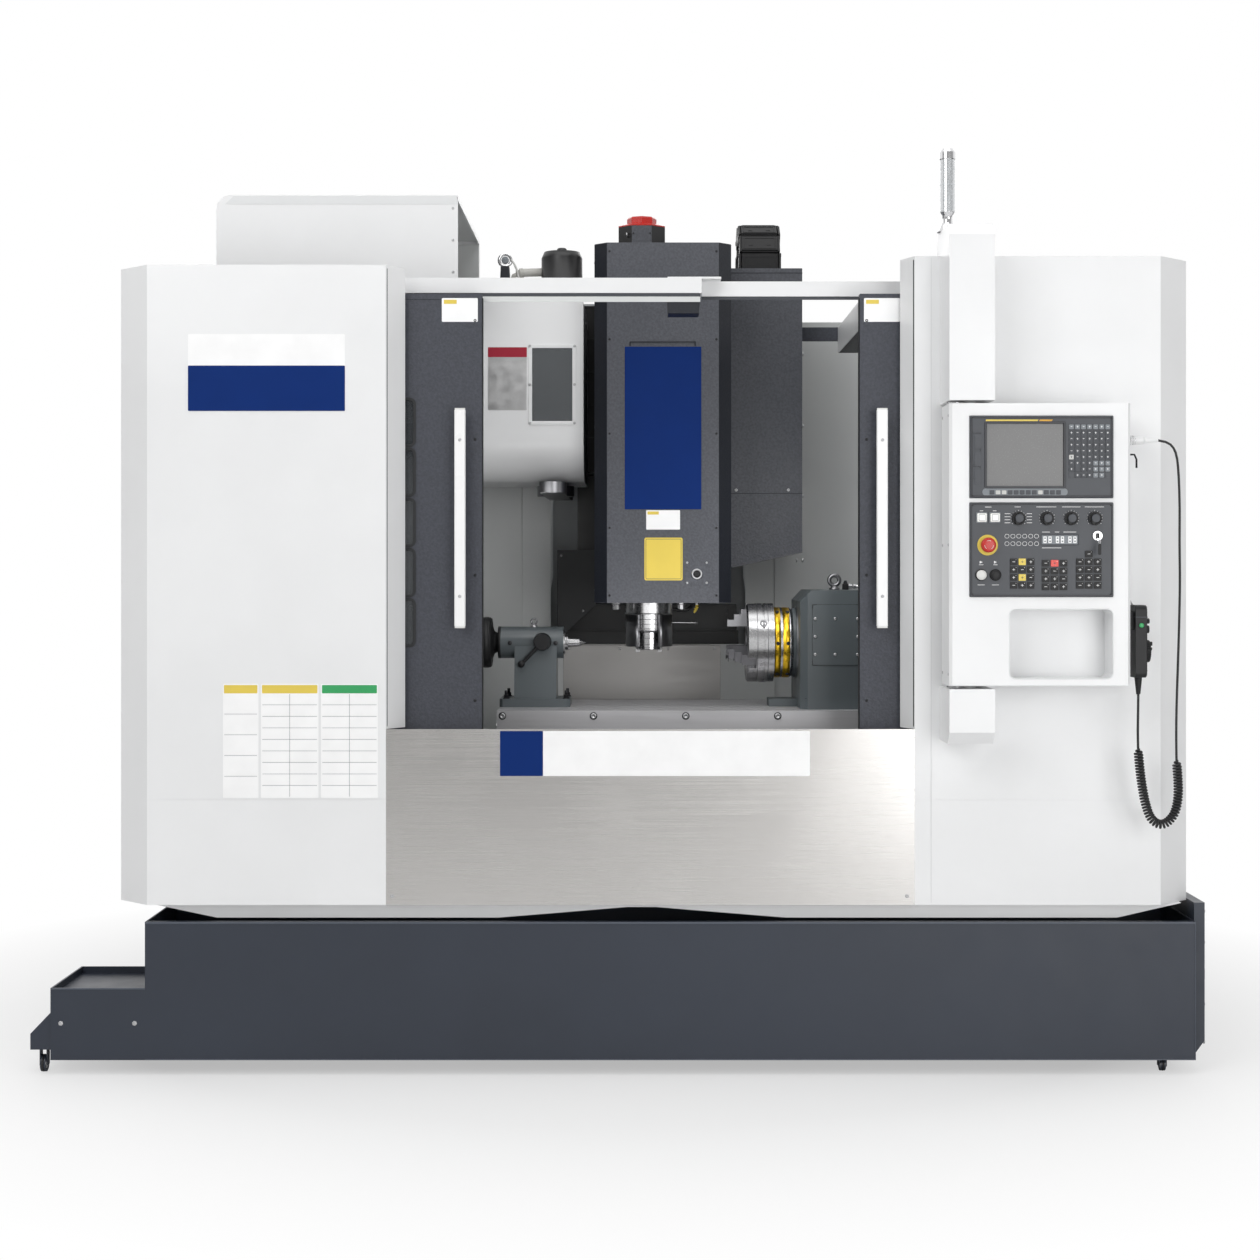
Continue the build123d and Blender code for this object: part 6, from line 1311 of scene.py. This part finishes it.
panel_lo, panel_hi = box("operator_panel")
knobs = [mid("knob_%d" % k) for k in range(1, 5)]
stop, key_lock, start = mid("emergency_stop"), mid("key_switch"), mid("cycle_start_button")
power = [mid("power_on_button"), mid("power_off_button")]
rounds = (start, mid("feed_hold_button"))

panel = Piece("operator_panel_front")
panel.frame(panel_lo.x + 0.003, panel_hi.x - 0.003, panel_lo.z + 0.003, panel_hi.z - 0.003, CF - 0.002, 0.002,
            0.0035, "panel_dark", 0.006)
for c in power:
    panel.frame(c.x - 0.0158, c.x + 0.0158, c.z - 0.015, c.z + 0.015, CF - 0.004, 0.004, 0.0024,
                "key_grey", 0.0035)
    legend(panel, c.x - 0.005, c.x + 0.005, c.z + 0.0185, c.z + 0.02)
legend(panel, 1.03, 1.048, 1.64, 1.6416)
# Dials of the four knobs, with longer marks at every third step
DIAL_TURN, DIAL_MARKS, MARK_HALF = 260, 12, 0.0004
for c in knobs:
    panel.lathe((c.x, CF, c.z), FRONT, [(-0.0005, 0.0195), (0.0006, 0.0195), (0.0008, 0.019), (0.0008, 0)],
                "panel_dark", 40)
    for k in range(DIAL_MARKS + 1):
        a = math.radians(90 + DIAL_TURN * (k / DIAL_MARKS - 0.5))
        along_x, along_z = math.cos(a), math.sin(a)
        r0, r1 = 0.0205, 0.024 if k % 3 == 0 else 0.0225
        corners = ((r0, MARK_HALF), (r1, MARK_HALF), (r1, -MARK_HALF), (r0, -MARK_HALF))
        mark = [(c.x + along_x * r - along_z * w, CF, c.z + along_z * r + along_x * w) for r, w in corners]
        panel.prism(mark, FRONT * 0.0005, "card")
panel.lathe((stop.x, CF, stop.z), FRONT, [(-0.0005, 0.029), (0.001, 0.029), (0.0016, 0.028), (0.0016, 0.014)],
            "yellow", 56)
for k, z in product(range(6), (1.553, 1.532)):
    x = 1.085 + k * 0.0166
    panel.frame(x, x + 0.013, z, z + 0.012, CF - 0.0005, 0.0005, 0.0011, "card", 0.0055, 4)
# Tool and spindle display: pale unlit digits behind a grey window
panel.frame(1.186, 1.294, 1.533, 1.565, CF - 0.0014, 0.0014, 0.0026, "key_dark", 0.003)
panel.plate(1.1895, 1.2905, 1.5365, 1.5615, CF + 0.0006, 0.0006, "key_grey", 0.001, 0.0001)
for k in range(6):
    x = 1.1985 + k * 0.014 + (k // 2) * 0.007
    panel.plate(x - 0.0046, x + 0.0046, 1.5395, 1.5585, CF + 0.0002, 0.0004, "card", 0.001, 0.0001)
    for z in (1.5445, 1.5535):
        panel.box(x - 0.0022, x + 0.0022, CF - 0.0002, CF + 0.0001, z - 0.002, z + 0.002, "key_grey", 0.0001)
# Legends over and under the display, along the top and beside the round lamps
for z, bars in (
    (1.57, ((1.19, 1.212), (1.226, 1.238), (1.25, 1.286))),
    (1.5255, ((1.19, 1.244),)),
    (1.6405, ((1.113, 1.13), (1.174, 1.23), (1.246, 1.298), (1.31, 1.364))),
):
    for x0, x1 in bars:
        legend(panel, x0, x1, z, z + 0.0014)
for k, (x0, x1) in product(range(4), ((1.085, 1.101), (1.147, 1.162))):
    z = 1.596 + k * 0.0085
    legend(panel, x0, x1, z, z + 0.0013)
panel.lathe((key_lock.x, CF, key_lock.z), FRONT,
            [(-0.0005, 0.0135), (0.0016, 0.0135), (0.0022, 0.0128), (0.0022, 0.0088)], "screw", 36)


def key_block(cx, cz, pitch_x, cols, rows, special):
    """A block of square keys, each with a mark, some with a second stroke, and a lamp in its corner."""
    for r, c in product(range(rows), range(cols)):
        x = cx + (c - (cols - 1) / 2) * pitch_x
        z = cz + ((rows - 1) / 2 - r) * 0.022
        hw, hh = pitch_x * 0.42, 0.022 * 0.42
        key = special.get((r, c), "black")
        key_cap(panel, x, z, hw, hh, 0.0036, 0.0034, key, 0.0016, 0.0008)
        mark = "card" if key == "black" else "key_dark"
        legend(panel, x - hw * 0.36, x + hw * 0.36, z - 0.0005, z + 0.0007, 0.0039, 0.0035, mark)
        if (2 * r + c) % 3:
            legend(panel, x - 0.0006, x + 0.0006, z - hh * 0.4, z + hh * 0.4, 0.0039, 0.0035, mark)
        panel.lathe((x + hw * 0.62, CF - 0.0036, z + hh * 0.62), FRONT,
                    [(0, 0.0009), (0.0004, 0.0007), (0.0004, 0)], "card", 8)


key_block(1.134, 1.454, 0.024, 3, 4, {(0, 1): "yellow", (2, 1): "yellow"})
key_block(1.225, 1.45, 0.025, 3, 4, {(0, 1): "lamp_red"})
key_block(1.321, 1.454, 0.025, 3, 4, {})
key_block(1.321, 1.509, 0.025, 1, 1, {})
for c in rounds:
    panel.lathe((c.x, CF, c.z), FRONT, [(-0.0005, 0.0165), (0.0026, 0.0165), (0.004, 0.015), (0.004, 0.0128)],
                "black", 36)
    legend(panel, c.x - 0.01, c.x + 0.01, 1.4215, 1.4229, 0.0006)
    legend(panel, c.x - 0.006, c.x + 0.006, 1.478, 1.4794, 0.0006)
    arrow = ((-0.004, 0.032), (0.004, 0.036), (-0.004, 0.04))
    panel.prism([(c.x + dx, CF, c.z + dz) for dx, dz in arrow], FRONT * 0.0005, "card")
panel.screws((0.9945, 1.3835), (CF - 0.0002,), (1.3955, 1.6465), FRONT, 0.003, 0.0014, "black_screw")
panel.done("pendant", "panel_grey")

# Knobs, emergency stop, key and buttons: each rides on its own joint
for i, c in enumerate(knobs):
    name = "knob_%d" % (i + 1)
    cap_y = box(name)[0].y
    knob = Piece("knob_trim_%d" % (i + 1))
    knob.lathe((c.x, cap_y, c.z), FRONT, [(-0.0004, 0.012), (0.0004, 0.0118), (0.0006, 0.01), (0.0006, 0)],
               "key_dark", 32)
    for (x0, z0), (x1, z1) in zip(polar(20, 0.015), polar(20, 0.0144)):
        rib = [(c.x + x0, cap_y + 0.015, c.z + z0), (c.x + x1, cap_y + 0.0012, c.z + z1)]
        knob.tube(rib, 0.001, "black", 6)
    knob.done(name, "black_plastic")

STOP_Y = box("emergency_stop")[0].y
mushroom = Piece("emergency_stop_cap")
mushroom.lathe((stop.x, STOP_Y, stop.z), FRONT,
               [(-0.0004, 0.0196), (0.001, 0.0188), (0.0022, 0.016), (0.0026, 0.01), (0.0026, 0)], "red", 44)
for turn in THIRDS:
    angles = [turn + math.radians(-26 + j * 9) for j in range(7)]
    arrow = [(stop.x + 0.0125 * math.cos(t), STOP_Y - 0.0025, stop.z + 0.0125 * math.sin(t)) for t in angles]
    mushroom.tube(arrow, lambda t: 0.0009 - 0.0004 * t, "white_plastic", 6)
mushroom.done("emergency_stop", "red_plastic")

KEY_Y = FY - 0.229
bow = Piece("key_bow")
bow.box(key_lock.x - 0.0015, key_lock.x + 0.0015, KEY_Y, KEY_Y + 0.023, 1.5535, 1.5665, "chrome", 0.0008)
bow.ring((key_lock.x, KEY_Y + 0.0025, 1.5455), RIGHT, 0.0095, 0.001, "chrome", 28, 8)
bow.plate(key_lock.x - 0.0045, key_lock.x + 0.0045, 1.506, 1.537, KEY_Y, 0.0016, "black", 0.0035, 0.0004)
bow.done("key_switch", "chrome")

for name, c in zip(("power_on_button", "power_off_button"), power):
    b = Piece(name + "_cap")
    y = box(name)[0].y
    half, rim = 0.0088, 0.0092
    b.label(c.x - half, c.x + half, c.z - half, c.z + half, y, 0.0006, 0.0008, "lamp_white", 0.0016, 0.0003)
    b.frame(c.x - rim, c.x + rim, c.z - rim, c.z + rim, y - 0.0009, 0.0009, 0.0012, "key_grey", 0.0018)
    b.done(name, "white_plastic")
for name, key, c in zip(("cycle_start_button", "feed_hold_button"), ("white_plastic", "black"), rounds):
    b = Piece(name + "_cap")
    b.lathe((c.x, box(name)[0].y, c.z), FRONT,
            [(-0.0003, 0.0118), (0.0004, 0.0114), (0.0002, 0.006), (0.0002, 0)], key, 36)
    b.done(name, "white_plastic")

# Handwheel unit: lid seam, enable button, two selector switches, cord bush and hanger

UNIT_X, SIDE_X = 1.474, 1.4908
remote = Piece("handwheel_unit_trim")
remote.box(1.457, 1.492, -1.2965, -1.2135, 1.33, 1.3325, "key_dark", 0.0008)
remote.lathe((UNIT_X, -1.296, 1.308), FRONT, [(-0.0004, 0.0085), (0.0016, 0.0085), (0.0018, 0.0068)],
             "black", 28)
remote.lathe((UNIT_X, -1.2965, 1.308), FRONT,
             [(-0.0004, 0.0066), (0.003, 0.0066), (0.0038, 0.0052), (0.004, 0)], "green", 28)
for dy, z in ((-0.018, 1.32), (0.018, 1.29)):
    remote.lathe((SIDE_X, PENDANT_Y + dy, z), RIGHT,
                 [(-0.0004, 0.01), (0.003, 0.01), (0.0036, 0.008), (0.01, 0.0074), (0.0106, 0.006),
                  (0.0106, 0)], "black", 20)
remote.screws((SIDE_X,), (PENDANT_Y - 0.034, PENDANT_Y + 0.034), (1.18, 1.345), RIGHT, 0.0028, 0.0014)
for k in range(6):
    remote.ring((UNIT_X, PENDANT_Y, 1.157 - 0.007 * k), UP, 0.0062 - 0.0005 * k, 0.0022, "rubber", 20, 8)
hanger = ((1.4585, 1.364), (1.452, 1.376), (1.442, 1.374), (1.44, 1.36))
remote.tube([(x, PENDANT_Y, z) for x, z in hanger], 0.0022, "screw", 8)
remote.done("pendant", "black_plastic")

dial = Piece("handwheel_dial_trim")
DIAL_X, DIAL_Z = 1.5043, mid("handwheel_dial").z
dial.lathe((DIAL_X, PENDANT_Y, DIAL_Z), RIGHT,
           [(-0.0004, 0.0285), (0.0004, 0.0285), (0.0006, 0.024), (0.0006, 0)], "plate_silver", 44)


def ribs(piece, count, x0, x1, z, radius, bead, key):
    """Fine ribs round an axis along x."""
    for dy, dz in polar(count, radius):
        piece.tube([(x, PENDANT_Y + dy, z + dz) for x in (x0, x1)], bead, key, 6)


for k, ((y0, z0), (y1, z1)) in enumerate(zip(polar(40, 1.0), polar(40, 0.028))):
    r0 = 0.024 if k % 5 == 0 else 0.0256
    dial.tube([(DIAL_X + 0.0006, PENDANT_Y + r0 * y0, DIAL_Z + r0 * z0),
               (DIAL_X + 0.0006, PENDANT_Y + y1, DIAL_Z + z1)], 0.0004, "key_dark", 5)
dial.lathe((DIAL_X, PENDANT_Y + 0.018, DIAL_Z + 0.006), RIGHT,
           [(-0.0004, 0.0055), (0.002, 0.0045), (0.01, 0.005), (0.013, 0.004), (0.013, 0)], "black", 16)
ribs(dial, 30, 1.4925, 1.503, DIAL_Z, 0.0308, 0.001, "black")
dial.done("handwheel_dial", "black_plastic")

HOOK, HOOK_Y = (1133.0, 456.0), PENDANT_Y + 0.02
plug = Piece("handwheel_connector")
plug.lathe((1.4412, PENDANT_Y, SOCKET[2]), RIGHT,
           [(0, 0.015), (0.002, 0.015), (0.0022, 0.0122), (0.009, 0.0122)], "chrome", 28)
ribs(plug, 18, 1.447, 1.46, SOCKET[2], 0.0125, 0.0007, "chrome")
plug.ring((1.464, PENDANT_Y, SOCKET[2]), RIGHT, 0.011, 0.0016, "chrome", 28, 8)
hook_x, hook_z = px(*HOOK, HOOK_Y)
bend = ((-0.012, 0.004), (0.004, 0.004), (0.01, -0.01), (0.01, -0.034))
plug.tube([(hook_x + dx, HOOK_Y, hook_z + dz) for dx, dz in bend], 0.0028, "black")
plug.done("pendant", "chrome")

# Tower light: foot, clear tube with its seams, and cap

light = mid("tower_light")
tower = Piece("tower_light_tube")
tower.lathe((light.x, light.y, 2.5035), UP,
            [(0, 0.0218), (0.003, 0.0222), (0.004, 0.0214), (0.148, 0.0214), (0.15, 0.0222),
             (0.1515, 0.0218)], "clear", 40)
for k in range(3):
    tower.ring((light.x, light.y, 2.537 + 0.045 * k), UP, 0.0212, 0.001, "clear", 40, 8)
tower.lathe((light.x, light.y, 2.656), UP,
            [(0, 0.0222), (0.006, 0.0224), (0.02, 0.0212), (0.0285, 0.016), (0.0312, 0.008), (0.0316, 0)],
            "chrome", 40)
tower.lathe((light.x, light.y, 2.444), UP,
            [(0, 0.03), (0.003, 0.03), (0.005, 0.027), (0.03, 0.015), (0.056, 0.014),
             (0.058, 0.0205), (0.06, 0.0215)], "chrome", 40)
for dx, dy in polar(3, 0.0245, 30):
    tower.screw((light.x + dx, light.y + dy, 2.4475), UP, 0.0028, 0.002)
tower.done("machine", "chrome")

# Coolant tank: edges in a lighter slate as a painted highlight, bolts and the latch at its right end

tank = Piece("coolant_tank_trim")
TANK_X0, TANK_X1, TRAY_X0, LATCH_X, LATCH_Y = CX - 1.465, CX + 1.583, CX - 1.739, CX + 1.614, -1.048
tank.box(TANK_X0, TANK_X1, FY - 0.0016, FY, 0.4385, 0.444, "slate_edge_highlight", 0.0008)
tank.box(TANK_X0, TANK_X1, FY - 0.0016, FY + 0.0005, 0.043, 0.0462, "slate_edge_highlight", 0.0008)
tank.box(TRAY_X0, TANK_X0, FY - 0.0014, FY, 0.248, 0.252, "slate_edge_highlight", 0.0008)
tank.box(TANK_X1 - 0.0022, TANK_X1, FY - 0.0018, FY, 0.045, 0.443, "slate_edge_highlight", 0.0006)
tank.hexbolts((TANK_X0 + 0.016, TANK_X1 - 0.016), (FY + 0.4,), (0.08, 0.25, 0.41), BACK, 0.006, 0.004)
tank.hexbolts((TRAY_X0 + 0.03, TANK_X0 - 0.03), (FY,), (0.15,), FRONT, 0.0055, 0.003)
tank.hexbolts((LATCH_X,), (-1.09,), (0.09, 0.2, 0.38, 0.47), RIGHT, 0.005, 0.003)
tank.box(LATCH_X + 0.0068, LATCH_X + 0.012, LATCH_Y - 0.0095, LATCH_Y + 0.0095, 0.264, 0.297, "black", 0.0018)
tank.lathe((LATCH_X + 0.003, LATCH_Y, 0.301), UP, [(-0.001, 0.004), (0.006, 0.004), (0.0068, 0.0028),
                                                     (0.0068, 0)], "screw", 16)
tank.done("tank", "slate_paint")

CASTERS = ((-1.679, -1.075, 0.025), (-1.679, -0.82, 0.025), (1.589, -1.065, 0.019), (1.589, -0.78, 0.019))
for i, (x, y, r) in enumerate(CASTERS):
    caster = Piece("caster_trim_%d" % (i + 1))
    disc = [(-0.0004, r * 0.62), (0.0008, r * 0.6), (0.0012, r * 0.3), (0.0028, r * 0.26), (0.003, 0)]
    for s in (-1, 1):
        caster.lathe((x + s * 0.0078, y, r), X * s, disc, "screw")
    caster.ring((x, y, r), RIGHT, r * 0.86, r * 0.135, "rubber", 40, 8)
    caster.done("tank", "black_plastic")

DRAIN_BLOCK, DRAIN_PIPE_U = (167.5, 895.0, 188.0, 912.0), 1165.0
gap = Piece("base_gap_fittings")
x0, x1, _, _ = span(DRAIN_BLOCK, -0.9)
gap.box(x0, x1, -0.92, -0.8, 0.452, 0.4925, "key_grey", 0.004)
x = px(DRAIN_PIPE_U, EYE_V, -0.8)[0] + 0.006
gap.tube([(x, -0.8, z) for z in (0.4925, 0.475, 0.452)], 0.006, "key_light", 14)
gap.done("machine", "light_grey_paint")

# Rear cabinet: two doors with locks, hinges and vents, side vents and lifting eyes

CABINET_Y = box("electrical_cabinet")[1].y
cabinet = Piece("electrical_cabinet_front")
for s in (-1, 1):
    x0, x1 = sorted((CX + s * 0.003, CX + s * 0.612))
    cabinet.prism([(x, CABINET_Y, z) for x, z in rounded(x0, x1, 0.652, 2.168, 0.006, 3)], Y * 0.0022,
                  "white_side", 0.0008)
    for z in (0.9, 1.9):
        cabinet.lathe((CX + s * 0.038, CABINET_Y + 0.002, z), BACK,
                      [(0, 0.015), (0.004, 0.015), (0.0055, 0.013), (0.0055, 0.0045), (0.003, 0.0045),
                       (0.003, 0)], "screw", 30)
    for z in (0.8, 1.41, 2.02):
        cabinet.lathe((CX + s * 0.602, CABINET_Y + 0.003, z - 0.03), UP,
                      [(0, 0.005), (0.06, 0.005), (0.061, 0.004), (0.061, 0)], "steel_dark", 16)
    middle = (x0 + x1) / 2
    for k in range(14):
        z = 1.96 + k * 0.0115
        cabinet.box(middle - 0.11, middle + 0.11, CABINET_Y + 0.0018, CABINET_Y + 0.0062, z, z + 0.0045,
                    "key_grey", 0.001)
    x0, x1 = sorted((CX + s * 0.62, CX + s * 0.6236))
    for k in range(18):
        z = 0.72 + k * 0.0125
        cabinet.box(x0, x1, 1.0, 1.24, z, z + 0.005, "key_grey", 0.001)
    for y in (0.965, 1.29):
        x = CX + s * 0.56
        cabinet.lathe((x, y, 2.1795), UP, [(0, 0.015), (0.004, 0.015), (0.006, 0.01), (0.01, 0.0085)],
                      "screw", 20)
        cabinet.ring((x, y, 2.205), BACK, 0.0165, 0.004, "screw", 30)
cabinet.done("machine", "white_paint")

# Sleeves of the 24 pots on the tool drum

drum = mid("magazine_drum")
sleeves = Piece("tool_drum_sleeves")
for dy, dz in polar(24, 0.333):
    sleeves.ring((box("magazine_drum")[1].x, drum.y + dy, drum.z + dz), RIGHT, 0.029, 0.0018, "steel", 28, 8)
sleeves.done("magazine", "steel")

# Studio: lamps, world and floor

def area(name, loc, target, size, size_y, energy):
    d = bpy.data.lights.new(name, "AREA")
    d.shape = "RECTANGLE"
    d.size = size
    d.size_y = size_y
    d.energy = energy
    o = bpy.data.objects.new(name, d)
    bpy.context.scene.collection.objects.link(o)
    o.location = loc
    o.rotation_euler = (Vector(target) - Vector(loc)).to_track_quat("-Z", "Y").to_euler()
    return o


area("key", (-3.4, -6.5, 5.0), (0, -0.6, 1.2), 4.0, 3.5, 152)
area("fill", (3.1, -7.2, 1.7), (0.9, -0.6, 1.1), 3.4, 3.2, 126)
area("top", (0, -2.3, 6.0), (0, -0.6, 1.2), 5.0, 4.0, 105)
area("rim", (0.5, 6.0, 4.5), (0, 0.5, 1.2), 5.0, 3.0, 60)
for inside in (
    area("inside_left", (CX - 0.46, FY + 0.3, 1.66), (CX - 0.42, FY + 1.2, 1.1), 0.3, 0.2, 0.5),
    area("inside_right", (CX + 0.52, FY + 0.3, 1.7), (CX + 0.52, FY + 1.2, 1.1), 0.3, 0.2, 0.8),
    area("inside_low", (CX + 0.02, FY + 0.3, 1.33), (CX + 0.05, FY + 1.0, 1.06), 0.5, 0.12, 0.4),
):
    inside.visible_transmission = False

# World: full strength where the camera, a mirror or glass looks, dimmer for plain light and from the front
world = bpy.data.worlds.new("studio")
bpy.context.scene.world = world
world.use_nodes = True
sky = world.node_tree
parts = add(sky, "SeparateXYZ", [(add(sky, "TexCoord").outputs["Generated"], 0)])
behind = add(sky, "MapRange", [(parts.outputs[1], "Value")],
             From_Min=-0.35, From_Max=0.15, To_Min=0.4, To_Max=1.0)
behind.interpolation_type = "SMOOTHSTEP"
seen = add(sky, "LightPath").outputs
mirrored = join(sky, "MAXIMUM", seen["Is Transmission Ray"], seen["Is Glossy Ray"])
direct = join(sky, "MAXIMUM", seen["Is Camera Ray"], mirrored)
strength = add(sky, "MapRange", [(direct, "Value")], To_Min=0.62, To_Max=1.0).outputs[0]
background = sky.nodes["Background"]
sky.links.new(join(sky, "MAXIMUM", behind.outputs[0], seen["Is Camera Ray"]), background.inputs["Color"])
sky.links.new(strength, background.inputs["Strength"])

# Floor: pale, and fading to white away from the machine for the camera alone
REACH = 30
floor_mesh = bpy.data.meshes.new("floor")
floor_mesh.from_pydata([(-REACH, -REACH, 0), (REACH, -REACH, 0), (REACH, REACH, 0), (-REACH, REACH, 0)], [],
                       [(0, 1, 2, 3)])
floor_obj = bpy.data.objects.new("floor", floor_mesh)
bpy.context.scene.collection.objects.link(floor_obj)
floor_mat = Mat("pale_floor", (0.88, 0.88, 0.88), 0.6)
cloud = floor_mat.mix(floor_mat.noise(0.6, 2), (0.875, 0.875, 0.875), (0.885, 0.885, 0.885))
floor_mat.link(cloud, "Base Color")
tree = floor_mat.t
far = add(tree, "VectorMath", [(floor_mat.obj, 0)])
far.operation = "LENGTH"
fade = floor_mat.values(far.outputs["Value"], 0.45, 1.0, 1.7, 2.9)
amount = join(tree, "MULTIPLY", add(tree, "LightPath").outputs["Is Camera Ray"], fade)
glow = add(tree, "Emission", Color=(1, 1, 1, 1))
blend = add(tree, "MixShader", [(amount, 0), (floor_mat.b.outputs[0], 1), (glow.outputs[0], 2)])
surface = next(n for n in tree.nodes if n.type == "OUTPUT_MATERIAL").inputs["Surface"]
tree.links.new(blend.outputs[0], surface)
floor_mesh.materials.append(floor_mat.m)

bpy.context.scene.view_settings.view_transform = "Standard"
